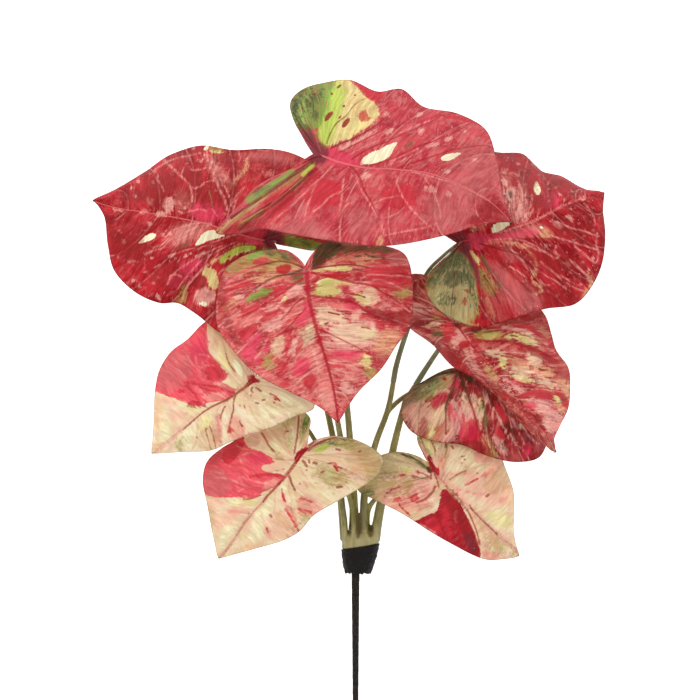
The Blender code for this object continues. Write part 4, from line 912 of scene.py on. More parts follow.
        patch("deep", 524, 346, 533, 350, 545, 353, 554, 357, 560, 363, 556, 366, 545, 361, 536, 357,
              528, 352),
        zone("pinkish", 0.7, 478, 344, 492, 344, 508, 345, 520, 350, 510, 352, 494, 349, 482, 349),
        zone("crimson", 0.8, 514, 345, 522, 346, 528, 350, 520, 351),
        patch("ivory", 485, 352, 490, 350, 500, 350, 506, 353, 505, 358, 496, 359, 488, 357),
        stroke("fleck", 1.4, 1.2, 495, 355, 499, 354.5),
        stroke("fleck", 1.8, 1.2, 501, 356.5, 505, 356.5, 512, 358),
        stroke("red_line", 1.4, 1.4, 504, 354, 514, 356, 524, 360),
        zone("straw", 0.6, 497, 359, 504, 358, 507, 366, 504, 371, 499, 366),
        *dots("fleck", 2, 503.5, 367),
        zone("peach", 0.7, 506, 359, 518, 359, 528, 364, 524, 372, 512, 370),
        stroke("brick", 2, 1.6, 508, 363, 518, 363, 526, 361),
        zone("ivory", 0.8, 527, 352, 533, 351, 540, 355, 542, 362, 538, 368, 530, 368, 526, 360),
        stroke("dark_line", 1.6, 1.2, 531, 355, 536, 356.5),
        zone("ivory", 0.5, 508, 368, 522, 366, 532, 370, 530, 378, 516, 378),
        zone("peach", 0.9, 532, 367, 544, 366, 554, 371, 552, 378, 540, 376, 534, 373),
        stroke("fleck", 1.8, 1.6, 538, 369, 542, 370.5, 545, 370),
        zone("brick", 0.9, 552, 362, 562, 364, 570, 374, 568, 382, 558, 378, 554, 370),
        stroke("bloom", 2.4, 2, 528, 371, 538, 375, 545, 381, 548, 386),
        zone("ivory", 0.8, 530, 378, 540, 379, 550, 379, 554, 385, 551, 391, 544, 388, 534, 383),
        zone("straw", 0.5, 514, 374, 526, 376, 534, 380, 526, 384, 514, 380),
        zone("peach", 1.2, 555, 379, 566, 378, 571, 386, 569, 398, 563, 396, 558, 388),
        patch("bloom", 552, 388, 556, 384, 559, 388, 556, 391),
        *dots("fleck", 1.6, 566, 381.5, 566, 384, 559, 389.5),
        zone("bloom", 0.6, 500, 376, 508, 380, 520, 387, 530, 389, 520, 394, 510, 387),
        zone("rose", 0.7, 508, 380, 518, 382, 526, 384, 518, 388),
        stroke("red_line", 1.4, 1.4, 516, 382, 523, 384, 530, 385),
        stroke("red_line", 1.6, 1.4, 524, 388, 532, 387, 541, 385, 549, 390),
        patch("crimson", 517, 397, 524, 393, 534, 390, 545, 391, 553, 394, 554, 399, 545, 400, 534, 397,
              524, 396),
        stroke("glow", 1.6, 1.4, 520, 394, 527, 391.5, 536, 389.5),
        patch("straw", 550, 396, 554, 394.5, 558, 398, 561, 401, 557, 402.5, 553, 400),
        zone("scarlet", 0.8, 552, 391, 560, 394, 568, 398, 567, 409, 560, 405, 562, 400, 556, 396),
        stroke("dusk", 2, 1.6, 560, 400, 563, 400, 566, 399),
        zone("peach", 0.9, 552, 402, 560, 404, 567, 410, 564, 415, 556, 410),
        zone("bloom", 0.6, 524, 398, 538, 399, 550, 402, 558, 412, 552, 420, 540, 416, 530, 406),
        zone("rose", 0.8, 526, 404, 532, 402, 537, 406, 534, 409, 528, 408),
        zone("rose", 0.8, 548, 406, 554, 406, 558, 409, 552, 412),
        zone("bloom", 1.1, 540, 418, 548, 412, 560, 414, 563, 421, 556, 430, 550, 436, 544, 428),
        zone("pinkish", 0.8, 552, 424, 560, 420, 562, 426, 556, 434),
        zone("deep", 0.8, 534, 412, 541, 419, 546, 431, 540, 428, 534, 420),
        zone("brick", 1.0, 543, 430, 550, 434, 555, 440, 557, 452, 550, 442),
    ],
    "low_right": [
        # the upper left part in the photograph
        zone("peach", 0.3, 400, 404, 408, 394, 420, 402, 434, 404, 446, 398, 450, 412, 446, 440, 430, 441,
             414, 433, 404, 420),
        zone("mauve", 0.3, 400, 412, 410, 402, 428, 404, 432, 420, 424, 436, 410, 430),
        zone("ivory", 0.4, 408, 416, 416, 404, 428, 402, 434, 414, 430, 430, 418, 432),
        zone("sage", 0.3, 400, 406, 408, 390, 420, 380, 436, 372, 452, 371, 448, 384, 434, 392, 420, 402,
             406, 412),
        zone("pine", 0.3, 400, 408, 406, 394, 414, 386, 424, 379, 438, 373, 438, 379, 426, 388, 418, 398,
             408, 406),
        zone("bloom", 0.3, 452, 400, 470, 396, 480, 412, 474, 424, 462, 436, 450, 436),
        zone("dusk", 0.8, 416, 386, 424, 378, 436, 372, 450, 369, 458, 371, 450, 374, 438, 376, 426, 383),
        zone("peach", 0.9, 438, 376, 446, 373, 452, 374, 452, 382, 448, 390, 440, 389),
        zone("olive", 0.8, 417, 392, 424, 384, 434, 378, 446, 374, 450, 380, 444, 390, 434, 398, 422, 402,
             416, 403),
        zone("straw", 0.5, 418, 388, 424, 384, 428, 387, 424, 392, 419, 393),
        patch("green", 429, 396, 431, 388, 434, 382, 439, 378, 438, 386, 435, 393, 431, 398),
        stroke("moss", 4, 2.6, 434, 377, 429, 387, 424, 398),
        patch("moss", 415, 402, 416, 394, 419, 390, 422, 394, 420, 401, 417, 405),
        stroke("olive_line", 1.6, 1.4, 424, 392, 421, 403, 419, 416, 419, 430),
        patch("scarlet", 442, 379, 443, 376, 446, 378, 447, 381, 444, 381),
        zone("ivory", 0.8, 432, 396, 436, 390, 444, 388, 450, 390, 448, 394, 440, 394),
        patch("magenta", 431.5, 405, 434, 398, 439, 393, 445, 391.5, 448, 393, 447.5, 399, 443, 404,
              437, 408.5, 433, 409),
        zone("ivory", 1.1, 430, 410, 438, 408, 446, 402, 446, 416, 442, 424, 434, 428, 428, 422),
        zone("straw", 0.6, 426, 422, 432, 424, 436, 434, 430, 438, 425, 434),
        zone("pinkish", 0.7, 414, 406, 422, 402, 430, 404, 427, 416, 420, 420, 414, 416),
        zone("deep", 0.6, 419, 424, 424, 414, 429, 424, 429, 436, 422, 438, 418, 432),
        zone("peach", 0.7, 426, 430, 434, 428, 440, 438, 434, 442, 426, 440),
        zone("brick", 0.9, 436, 428, 440, 420, 445, 418, 444, 432, 440, 440, 434, 440),
        # between the second and the middle vein
        zone("rose", 0.6, 452, 388, 453, 379, 458, 376, 460, 384, 456, 388),
        zone("brick", 0.8, 450, 396, 452, 389, 458, 387, 459, 394, 455, 399),
        patch("deep", 459, 388, 461, 381, 465, 384, 467, 391, 463, 392),
        zone("ivory", 0.9, 460, 392, 464, 390, 468, 396, 470, 410, 466, 416, 461, 406),
        patch("bloom", 449, 402, 452, 398, 456, 400, 455, 407, 452, 410),
        zone("bloom", 0.6, 446, 410, 454, 408, 460, 416, 466, 418, 462, 432, 454, 440, 446, 440),
        stroke("rose", 3, 2.4, 450, 404, 452, 412, 455, 420),
        stroke("crimson", 2.4, 1.8, 449, 408, 449, 414, 450, 420),
        stroke("rose", 2, 2, 456, 412, 460, 424, 463, 436),
        patch("crimson", 458, 408, 459, 402, 461, 401, 462, 405, 460, 410),
        stroke("deep", 1.8, 1.4, 462, 400, 464, 404),
        stroke("dusk", 1.8, 1.4, 465, 396, 467, 400),
        stroke("crimson", 3, 3, 463, 414, 464, 424, 466, 434),
        stroke("bloom", 1.6, 1.4, 459, 412, 462, 424, 465, 434),
        zone("crimson", 0.8, 458, 432, 464, 424, 472, 416, 478, 428, 482, 440, 470, 444, 458, 442),
        zone("magenta", 0.6, 466, 432, 472, 424, 477, 430, 476, 440, 468, 440),
        zone("deep", 0.8, 452, 441, 466, 440, 480, 440, 492, 452, 496, 458, 482, 453, 466, 447, 453, 445),
        zone("bloom", 0.6, 438, 438, 446, 432, 456, 434, 456, 441, 444, 443),
        # between the middle vein and the blade above
        zone("dusk", 0.7, 462, 374, 468, 375, 475, 380, 472, 386, 466, 382),
        stroke("deep", 2.6, 1.8, 470, 388, 475, 392, 478, 398),
        stroke("deep", 2.6, 1.8, 476, 383, 480, 390, 483, 398),
        stroke("wine", 2, 2, 474, 382, 482, 390, 488, 398),
        zone("ivory", 0.9, 469, 396, 474, 392, 479, 400, 484, 412, 482, 424, 476, 416, 472, 406),
        stroke("deep", 1.6, 1.2, 476, 401, 478, 406, 480, 410),
        stroke("bloom", 2, 2, 474, 404, 478, 416, 482, 430),
        zone("straw", 0.8, 478, 398, 481, 398, 483, 410, 481, 413),
        patch("moss", 480, 405, 484, 403, 487, 412, 489, 422, 489, 432, 486, 428, 483, 420, 480, 412),
        patch("olive", 480, 406, 483, 405, 485, 414, 485, 421, 482, 416),
        zone("ivory", 0.7, 481, 390, 486, 392, 489, 400, 486, 404, 482, 398),
        stroke("olive_line", 1.8, 1.6, 482, 418, 486, 430, 490, 440, 494, 450),
        zone("peach", 0.7, 480, 434, 486, 436, 492, 446, 492, 452, 485, 446),
        stroke("pale_line", 1.8, 1.4, 486, 394, 490, 406, 493, 418, 493, 430, 496, 442),
        zone("crimson", 0.6, 492, 400, 498, 402, 506, 412, 510, 424, 502, 420, 496, 412),
        stroke("bloom", 3.4, 1.6, 493, 409, 497, 416, 501, 423, 505, 431, 508, 438),
        stroke("fleck", 1.8, 1.4, 494, 411.5, 496, 415.5),
        patch("crimson", 493, 424, 498, 426, 503, 432, 506, 440, 499, 438, 494, 432),
        zone("bloom", 0.7, 493, 436, 500, 438, 508, 450, 508, 456, 500, 454, 495, 446),
        stroke("moss", 2, 1.6, 502, 444, 504, 448, 505, 450),
        stroke("dusk", 2.6, 1.8, 484, 386, 488, 392, 491, 400, 494, 406),
        stroke("pale_line", 1.8, 1.4, 494, 391, 500, 402, 507, 412, 516, 424),
        stroke("dark_line", 1.6, 1.4, 501, 402, 506, 410, 511, 417),
        zone("haze", 0.8, 501, 400, 508, 400, 516, 408, 524, 420, 516, 418, 508, 410),
        patch("bloom", 510, 409, 515, 408, 519, 412, 516, 414, 512, 412),
        stroke("deep", 4, 2.6, 502, 396, 509, 401, 517, 406),
        stroke("dark_line", 1.8, 1.4, 510, 409, 518, 419, 527, 430),
        stroke("pale_line", 1.8, 1.4, 506, 414, 513, 422, 518, 432, 524, 444),
        stroke("dusk", 1.8, 1.6, 506, 422, 512, 431, 517, 440),
        zone("wine", 0.8, 512, 424, 516, 420, 520, 426, 516, 430),
        patch("ivory", 516, 425, 520, 421, 525, 427, 521, 430, 517, 429),
        zone("deep", 0.8, 510, 430, 520, 430, 530, 440, 524, 446, 514, 440),
        zone("wine", 0.6, 521, 432, 526, 430, 532, 438, 528, 444),
        zone("dusk", 0.45, 530, 432, 535, 430, 538, 435, 534, 438),
        stroke("pale_line", 1.6, 1.4, 524, 428, 530, 438, 538, 444),
        stroke("bloom", 1.6, 1.4, 510, 434, 516, 444, 526, 452),
        zone("shade", 0.9, 510, 440, 530, 440, 547, 442, 544, 456, 528, 461, 512, 458),
        zone("magenta", 0.6, 520, 450, 526, 444, 532, 446, 530, 456, 522, 458),
        zone("haze", 0.7, 534, 444, 540, 440, 542, 446, 537, 449),
        zone("olive", 0.7, 483, 452, 489, 449, 497, 452, 499, 458, 490, 457),
        zone("brick", 0.8, 500, 452, 512, 451, 522, 456, 514, 461, 502, 459),
        stroke("bloom", 1.4, 1.4, 526, 451, 528, 458),
        # the veins
        stroke("dusk", 2.8, 1.6, 457, 371, 455, 382, 452, 392, 447, 402, 446, 412),
        stroke("dark_line", 1.6, 1.4, 446, 408, 446, 420, 446, 434),
        stroke("bloom", 1.6, 1.6, 447, 408, 448, 422, 448, 436),
        stroke("dusk", 4.4, 2, 460, 372, 463, 383, 467, 393, 471, 404),
        stroke("red_line", 2.2, 1.8, 470, 402, 474, 413, 477, 426, 483, 438, 490, 450),
    ],
    "mid_left": [
        patch("carmine", 206, 318, 208, 335, 208, 350, 214, 358, 221, 366, 227, 374, 228, 379, 221, 382,
              228, 386, 237, 390, 233, 395, 226, 399, 216, 402, 206, 402.5, 206, 406.5, 198, 407, 190, 405,
              184, 402, 172, 398, 160, 393, 148, 388, 142, 365, 165, 340, 188, 322),
        # inside the red
        zone("haze", 1.0, 158, 390, 158, 370, 168, 354, 180, 350, 190, 358, 192, 370, 184, 382, 176, 392),
        zone("crimson", 0.3, 204, 378, 205, 366, 212, 360, 220, 366, 226, 375, 222, 380, 212, 382),
        zone("rose", 0.3, 190, 358, 194, 342, 204, 336, 206, 350, 206, 362, 198, 364),
        stroke("crimson", 3.4, 1.8, 186, 383, 196, 384, 208, 386, 219, 387),
        stroke("crimson", 3, 2, 187, 386, 193, 392, 199, 399),
        stroke("crimson", 2.6, 2, 200, 387, 208, 390, 216, 392),
        patch("crimson", 177, 391, 180, 389, 185, 390, 184, 393, 179, 393),
        patch("crimson", 188, 403, 194, 399, 200, 401, 202, 405, 195, 407, 190, 405),
        stroke("deep", 1.6, 1.4, 189, 405, 195, 407, 205, 406.5),
        stroke("pale_line", 2, 1.6, 197, 387, 203, 393, 210, 399),
        stroke("pale_line", 1.6, 1.4, 200, 368, 202, 376, 208, 382),
        stroke("pale_line", 1.6, 1.4, 196, 356, 200, 368, 206, 366, 214, 366),
        stroke("pale_line", 1.4, 1.2, 199, 355, 205, 355.5, 210, 357),
        stroke("pale_line", 1.4, 1.2, 176, 362, 182, 372, 190, 380),
        stroke("pale_line", 1.4, 1.2, 166, 366, 174, 376, 184, 384),
        stroke("pale_line", 1.4, 1.2, 182, 350, 190, 360, 194, 370),
        zone("blush", 0.8, 204, 400, 206, 394, 216, 391, 226, 393, 228, 398, 216, 401),
        zone("blush", 0.8, 212, 383, 218, 381, 226, 386, 238, 389, 230, 390, 218, 386),
        stroke("dull", 1.4, 1.2, 214, 385.5, 224, 388, 240, 389.5),
        stroke("crimson", 1.8, 1.4, 221, 389, 228, 391.5, 235, 393),
        # between the red and the front leaf
        stroke("blush", 3, 2.4, 209, 330, 210, 350, 218, 362, 230, 378),
        zone("tan", 0.5, 212, 352, 213, 332, 219, 328, 220, 342, 217, 356),
        zone("straw", 0.25, 218, 360, 220, 346, 226, 352, 232, 368, 228, 370),
        stroke("tan", 3, 2.2, 221, 336, 225, 350, 229, 362, 236, 375, 244, 384),
        stroke("umber", 1.6, 1.2, 226, 354, 229, 363, 235, 372),
        stroke("tan", 2, 1.6, 230, 362, 234, 370, 239, 379),
        stroke("tan", 2, 1.6, 242, 366, 243.5, 373, 244, 381),
        zone("cream", 0.5, 232, 362, 236, 360, 243, 370, 242, 378, 237, 374),
        zone("peach", 0.7, 225, 340, 229, 338, 234, 350, 234, 360, 229, 354),
        zone("blush", 0.7, 244, 366, 249, 366, 253, 374, 248, 380, 245, 376),
        # the joint and the rib
        patch("garnet", 244, 387, 247, 383, 248, 379, 247, 376, 251, 374.5, 255, 375, 256, 378.5, 262, 381,
              257, 383, 252, 383.5, 248, 387),
        zone("tan", 0.8, 234, 392, 236, 386, 244, 382, 250, 388, 242, 393),
        stroke("umber", 3.4, 2.4, 249, 384, 243, 388.5, 235, 394.5, 224, 401),
        stroke("deep", 1.8, 1.4, 232, 396, 226, 400, 219, 403),
        stroke("umber", 2.4, 1.8, 224, 401, 213, 406, 204, 411.5, 196, 418),
        stroke("umber", 1.8, 1.8, 196, 418, 190, 423.5, 183, 430),
        zone("blush", 0.9, 186, 418, 196, 412, 204, 408, 202, 412, 194, 419, 186, 425),
        zone("blush", 0.7, 176, 428, 183, 422, 190, 420, 186, 428, 178, 434),
        stroke("mauve", 3.4, 3, 182, 431, 172, 439, 164, 446, 155, 452),
        # flecks beyond the joint
        stroke("umber", 2, 2, 252.5, 388, 251.5, 390.5, 253, 393),
        stroke("umber", 1.8, 1.8, 256, 388, 258, 389.5),
        stroke("umber", 2.6, 2.2, 259, 390, 261, 391.5),
        stroke("umber", 2.2, 2, 256, 403, 258.5, 403.5),
        stroke("umber", 2, 1.6, 262.5, 400.5, 265, 400),
        *dots("umber", 1.6, 251, 395.5, 240, 405.5, 233.5, 408.5),
        stroke("umber", 1.2, 1.2, 244.5, 405, 245, 408.5),
        stroke("scarlet", 1.8, 1.6, 270, 394, 273.5, 394.5),
        stroke("crimson", 2.8, 2.4, 275, 396, 276.5, 399, 276, 401),
        stroke("scarlet", 1.8, 1.6, 275, 399, 274.5, 403),
        stroke("scarlet", 1.8, 1.6, 277, 398, 279.5, 400.5),
        zone("blush", 0.6, 268, 394, 275, 391, 281, 398, 278, 405, 272, 402),
        stroke("brick", 2, 1.6, 270, 417, 274, 418),
        stroke("umber", 2, 1.6, 225, 407, 222.5, 412.5, 221, 418),
        zone("tan", 0.6, 250, 396, 260, 394, 270, 401, 264, 402, 254, 399),
        zone("tan", 0.5, 252, 384, 260, 383, 268, 387, 258, 388),
        zone("mint", 0.9, 256, 396, 268, 390, 282, 390, 296, 400, 306, 408, 290, 416, 268, 412, 254, 406),
        zone("mint", 0.7, 258, 414, 270, 410, 280, 418, 266, 424),
        zone("blush", 0.5, 262, 388, 276, 388, 284, 396, 270, 392),
        zone("tan", 0.4, 262, 398, 282, 404, 304, 404, 290, 410, 268, 408),
        # side veins
        stroke("umber", 2, 1.4, 237, 393, 234, 401, 233.5, 409, 231, 420, 229, 432),
        stroke("tan", 1.6, 1.4, 231, 399, 219, 408, 213, 420, 207, 430),
        stroke("tan", 1.6, 1.2, 246.5, 389, 248, 399, 252, 412, 260, 424),
        stroke("tan", 1.2, 1.0, 246, 390, 245, 402, 248, 414),
        stroke("tan", 2.4, 1.8, 197.5, 418, 198, 430, 197, 440, 193, 448),
        *dots("umber", 2, 197, 437, 207, 428.5),
        # the pink below the red, and the left end
        zone("mint", 1.0, 157, 440, 159, 424, 168, 420, 172, 430, 168, 442),
        zone("mint", 0.7, 179, 406, 181, 402, 187, 403, 187, 408),
        zone("straw", 0.3, 188, 408, 194, 408, 203, 409, 198, 413, 190, 411),
        zone("blush", 0.9, 160, 398, 172, 399, 180, 404, 178, 408, 164, 404),
        zone("blush", 1.0, 168, 412, 180, 408, 190, 412, 186, 420, 172, 422),
        *dots("tan", 2.4, 187, 413, 166, 402, 176, 403),
        zone("peach", 0.7, 154, 420, 156, 396, 162, 396, 162, 420, 158, 440),
        zone("peach", 0.6, 153, 452, 156, 442, 164, 442, 160, 450),
        # below the rib
        zone("mint", 0.7, 174, 446, 180, 434, 190, 426, 195, 430, 192, 444, 184, 450),
        zone("olive", 0.35, 174, 446, 180, 436, 184, 440, 182, 450),
        zone("straw", 0.3, 200, 428, 203, 416, 211, 412, 211, 424, 204, 430),
        zone("tan", 0.9, 197, 446, 199, 432, 208, 424, 218, 430, 218, 448, 206, 450),
        stroke("umber", 1.2, 1.2, 206, 430, 209, 440, 211, 449),
        stroke("umber", 1.2, 1.2, 210, 426, 214, 438, 216, 449),
        stroke("tan", 1.4, 1.4, 202, 434, 205, 442, 207, 450),
        zone("pinkish", 0.9, 212, 440, 212, 422, 218, 412, 223, 418, 223, 434, 220, 448),
        stroke("brick", 1.8, 1.4, 218, 416, 218.5, 428, 220, 436, 221, 446),
        zone("pinkish", 0.9, 226, 433, 228, 420, 232, 414, 241, 418, 246, 428, 246, 437, 236, 441),
        patch("crimson", 227, 431, 229, 427, 232, 427, 235, 430.5, 232, 432.5, 229, 433),
        stroke("fleck", 1.8, 1.6, 239.5, 421, 241, 424, 243, 426),
        stroke("pale_line", 1.4, 1.2, 232, 420, 238, 426, 243, 434),
        stroke("brick", 1.8, 1.4, 243, 437, 256, 431.5, 269, 428),
        zone("olive", 0.35, 268, 429, 284, 421, 300, 414, 296, 417, 280, 424),
    ],
    "low_left": [
        # a broad darker area
        zone("shade", 0.25, 204, 470, 212, 454, 226, 442, 238, 440, 238, 446, 224, 454, 214, 470, 208, 490),
        # the red area
        patch("carmine", 228, 430, 244, 434, 245, 443, 250, 448, 258, 451, 266, 454, 273, 459, 275, 463,
              269, 465, 262, 466, 262, 470, 274, 473, 286, 475, 281, 481, 275, 487, 268, 490, 263, 492,
              259, 497, 252, 499, 245, 499.5, 240, 497, 228, 498, 214, 497, 200, 493, 194, 480, 200, 456,
              214, 438),
        # inside the red
        zone("crimson", 0.9, 222, 462, 224, 446, 232, 438, 244, 436, 244, 448, 238, 458, 230, 464),
        stroke("scarlet", 2, 1.6, 206, 458, 218, 448, 230, 439, 244, 436),
        zone("haze", 1.0, 203, 494, 204, 474, 214, 466, 224, 472, 232, 482, 228, 496, 214, 498),
        zone("rose", 0.5, 246, 458, 252, 452, 264, 455, 272, 461, 262, 464, 250, 466),
        stroke("crimson", 3.4, 2.4, 251, 477, 260, 475.5, 270, 474.5, 282, 476.5),
        zone("blush", 0.9, 262, 488, 266, 480, 280, 477, 284, 479, 276, 486, 268, 490),
        zone("blush", 0.9, 264, 469, 270, 465, 282, 467, 284, 471, 274, 473),
        stroke("dull", 1.4, 1.2, 262, 472, 272, 471.5, 284, 469.5),
        stroke("pale_line", 2, 1.8, 240, 457, 243, 465, 248, 472),
        stroke("pale_line", 1.4, 1.2, 242, 457, 250, 453, 256, 456),
        stroke("pale_line", 1.4, 1.2, 216, 478, 228, 479, 242, 484, 256, 489),
        stroke("pale_line", 1.4, 1.2, 206, 470, 218, 473, 232, 474),
        stroke("pale_line", 1.4, 1.2, 236, 444, 242, 449, 250, 450),
        stroke("pale_line", 1.4, 1.2, 238, 492, 246, 488, 258, 486),
        stroke("pale_line", 1.4, 1.2, 244, 478, 256, 482, 268, 484),
        stroke("umber", 1.4, 1.4, 244, 499.5, 252, 498.5, 261, 495),
        stroke("dull", 1.4, 1.2, 260, 491, 268, 488.5, 275, 486),
        # the joint and the rib
        patch("garnet", 294, 460, 295, 455, 298, 451, 301, 449.5, 304, 447, 310, 447, 306, 452, 302, 456,
              299, 461, 296, 464),
        stroke("deep", 2, 1.4, 304, 450, 310, 445, 316, 441),
        zone("pinkish", 0.9, 302, 447, 305, 441, 311, 440, 313, 444, 307, 448),
        stroke("umber", 3, 2, 308, 450, 316, 445, 326, 440, 336, 438),
        stroke("red_line", 3.6, 2.8, 297, 460, 292, 468, 286, 476, 278, 484),
        stroke("umber", 2.6, 2.4, 280, 483, 273, 490, 266, 497, 263, 502),
        stroke("brick", 2.6, 2.6, 264, 500, 262, 504),
        stroke("mauve", 3.4, 2.8, 260, 506, 252, 513, 246, 521, 239, 531),
        stroke("mauve", 2.8, 3, 239, 531, 233, 541, 227, 549, 221, 556),
        stroke("dull", 1.6, 1.4, 249, 513, 247, 519, 243, 524, 240, 529, 236, 535),
        stroke("dull", 1.4, 1.4, 231, 545, 227, 550, 224, 555),
        # the lobe behind
        zone("mauve", 0.9, 246, 445, 247, 436, 256, 433, 262, 440, 256, 448),
        zone("blush", 0.9, 256, 436, 266, 430, 272, 436, 268, 444, 260, 442),
        stroke("umber", 2.2, 1.8, 262, 434, 266, 440, 269, 446, 275, 452),
        stroke("tan", 2.6, 2, 272, 450, 278, 456, 285, 460),
        zone("olive", 0.4, 274, 452, 279, 452, 284, 458, 278, 458),
        stroke("tan", 1.8, 1.6, 270, 430, 277, 436, 281, 443, 288, 454),
        stroke("tan", 2.8, 2, 283, 430, 285, 440, 288, 449, 292, 456),
        zone("olive", 0.6, 279, 428, 284, 421, 298, 415, 300, 418, 290, 424, 286, 430),
        zone("mint", 0.8, 286, 448, 286, 436, 291, 430, 294, 440, 291, 448),
        zone("olive", 0.4, 287, 446, 288, 436, 292, 436, 291, 446),
        zone("mint", 0.7, 270, 446, 272, 440, 280, 444, 286, 455, 278, 453),
        stroke("brick", 3.6, 3, 285.5, 431.5, 289.5, 431),
        stroke("scarlet", 2, 1.8, 286, 432, 288, 431),
        *dots("tan", 2, 291, 446, 284, 426),
        stroke("umber", 2.4, 1.8, 298.5, 416, 298, 430, 296, 444, 294, 454),
        patch("olive", 299, 446, 300, 430, 302, 414, 310, 413, 309, 428, 306, 438, 301, 446),
        patch("green", 303, 424, 305, 414, 309.5, 413, 309, 424, 305, 430),
        zone("moss", 0.6, 302, 422, 306, 420, 307, 428, 303, 434),
        stroke("dusk", 1.6, 1.4, 309, 436, 312, 440, 315, 443),
        stroke("dull", 1.4, 1.2, 274, 459, 284, 460, 295, 459.5),
        # the lobe to the right
        zone("olive", 0.9, 308, 452, 318, 444, 330, 437, 350, 438, 372, 446, 384, 458, 382, 474, 372, 490,
             366, 480, 362, 462, 350, 450, 334, 446, 318, 448),
        zone("tan", 0.5, 346, 452, 362, 448, 378, 456, 380, 468, 366, 476, 352, 472, 344, 462),
        patch("lime", 312, 454, 316, 449, 322, 445, 330, 444, 329, 448, 321, 453),
        zone("chartreuse", 0.7, 336, 446, 342, 441, 352, 441, 356, 444, 346, 448),
        stroke("moss", 2, 1.6, 314, 447, 325, 442.5, 334, 444, 346, 446.5),
        stroke("moss", 1.6, 1.4, 324, 441, 338, 439, 352, 441),
        *dots("dusk", 2, 344, 440.5),
        stroke("tan", 1.6, 1.4, 306, 456, 320, 455.5, 334, 456.5, 350, 459),
        stroke("umber", 2.2, 2, 336, 449.5, 340, 450.5),
        zone("blush", 0.8, 335, 453, 339, 451, 344, 454, 340, 457, 336, 456),
        stroke("umber", 2.2, 1.8, 359, 452.5, 361, 451.5),
        zone("brick", 0.6, 356, 466, 364, 461, 374, 463, 372, 469, 362, 471),
        zone("brick", 0.35, 348, 474, 354, 470, 364, 474, 356, 478),
        zone("brick", 0.3, 334, 478, 340, 476, 344, 478, 340, 480),
        zone("olive", 0.6, 366, 484, 370, 474, 380, 468, 382, 476, 374, 488),
        zone("mint", 0.9, 326, 482, 327, 472, 334, 470, 335, 480, 331, 484),
        zone("blush", 0.8, 328, 462, 336, 459, 343, 466, 340, 474, 334, 470),
        stroke("umber", 2.2, 1.8, 328.5, 464, 332.5, 463),
        patch("crimson", 333, 463, 336, 463, 339, 467, 337, 470, 334.5, 468),
        stroke("scarlet", 2, 2, 334, 467, 337.5, 472),
        stroke("umber", 2.2, 1.8, 338.5, 467, 341.5, 468.5),
        stroke("umber", 2.4, 1.8, 337, 487.5, 342, 487),
        stroke("tan", 2, 1.6, 330, 487.5, 333, 487.5),
        stroke("umber", 2.6, 2.4, 303, 461.5, 305, 464, 307, 466.5),
        stroke("umber", 2.2, 2, 309, 461, 309.5, 463),
        stroke("umber", 3, 2.6, 314, 463.5, 316.5, 464.5),
        stroke("umber", 2.6, 2.4, 321.5, 472.5, 324, 472),
        stroke("brick", 2.8, 2.4, 314.5, 476.5, 318.5, 476.5),
        *dots("umber", 1.8, 306.5, 470, 300, 484),
        stroke("brick", 1.6, 1.4, 304.5, 482, 306, 484.5, 306.5, 487.5),
        stroke("tan", 1.2, 1.0, 302, 462, 312, 468, 330, 470),
        stroke("tan", 1.4, 1.2, 300, 468, 306, 478, 316, 490, 328, 500),
        zone("olive", 0.3, 312, 466, 330, 464, 350, 480, 334, 490, 318, 480),
        # below the rib
        stroke("umber", 2.6, 2.2, 289.5, 476, 292, 484, 295, 490),
        stroke("tan", 2, 1.6, 292, 484, 296, 494, 297, 500),
        stroke("tan", 1.6, 1.4, 289, 480, 289.5, 492, 292, 500, 296, 508),
        stroke("tan", 1.6, 1.4, 276, 489, 275, 500, 274.5, 512, 275, 522),
        patch("scarlet", 281.5, 489, 283, 490, 285, 495, 286, 499, 287, 503.5, 284, 501, 282, 498),
        stroke("umber", 1.6, 1.4, 282.3, 489, 282.6, 493),
        zone("blush", 0.6, 279, 496, 282, 490, 288, 496, 289, 506, 283, 506),
        zone("mint", 0.8, 280, 490, 282, 484, 286, 486, 285, 492),
        zone("mint", 0.9, 262, 514, 264, 504, 269, 500, 271, 510, 267, 518),
        stroke("umber", 2.8, 2.6, 270.5, 515, 272, 516.5),
        stroke("umber", 2, 1.6, 267, 527.5, 268.5, 532),
        zone("pinkish", 0.5, 266, 532, 268, 526, 272, 532, 272, 538),
        zone("blush", 0.8, 262, 536, 268, 518, 278, 506, 290, 516, 298, 530, 288, 538, 274, 540),
        zone("tan", 0.5, 272, 520, 280, 508, 288, 518, 294, 532, 282, 530),
        stroke("tan", 1.4, 1.2, 278, 514, 286, 522, 292, 531),
        stroke("tan", 1.4, 1.2, 278, 520, 284, 528, 288, 536),
        zone("pinkish", 0.9, 284, 508, 291, 504, 297, 514, 299, 528, 293, 522, 287, 516),
        stroke("crimson", 2.8, 2, 286, 508, 290, 515, 294, 522, 298.5, 530),
        stroke("brick", 1.8, 1.4, 291, 505, 292, 512, 295, 519),
        zone("pinkish", 1.0, 296, 512, 297, 498, 306, 494, 318, 500, 324, 506, 318, 514, 308, 518),
        stroke("crimson", 3.6, 2.4, 299, 509, 304, 511, 311, 512),
        stroke("crimson", 2.8, 2, 300, 499, 306, 499.5, 311, 503),
        stroke("brick", 2.4, 1.8, 307, 502, 313, 504),
        stroke("tan", 1.6, 1.4, 322, 502, 328, 504),
        zone("olive", 0.4, 299, 524, 302, 516, 312, 514, 308, 522),
        zone("brick", 0.5, 290, 532, 296, 528, 300, 528, 296, 535),
        # below the red
        zone("blush", 0.8, 206, 506, 208, 499, 222, 500, 226, 506, 216, 509),
        zone("tan", 0.5, 208, 530, 206, 506, 212, 504, 216, 516, 214, 530),
        zone("mint", 0.8, 228, 505, 232, 500, 242, 500, 240, 505),
        zone("straw", 0.25, 238, 504, 242, 500, 256, 500, 260, 502, 250, 506),
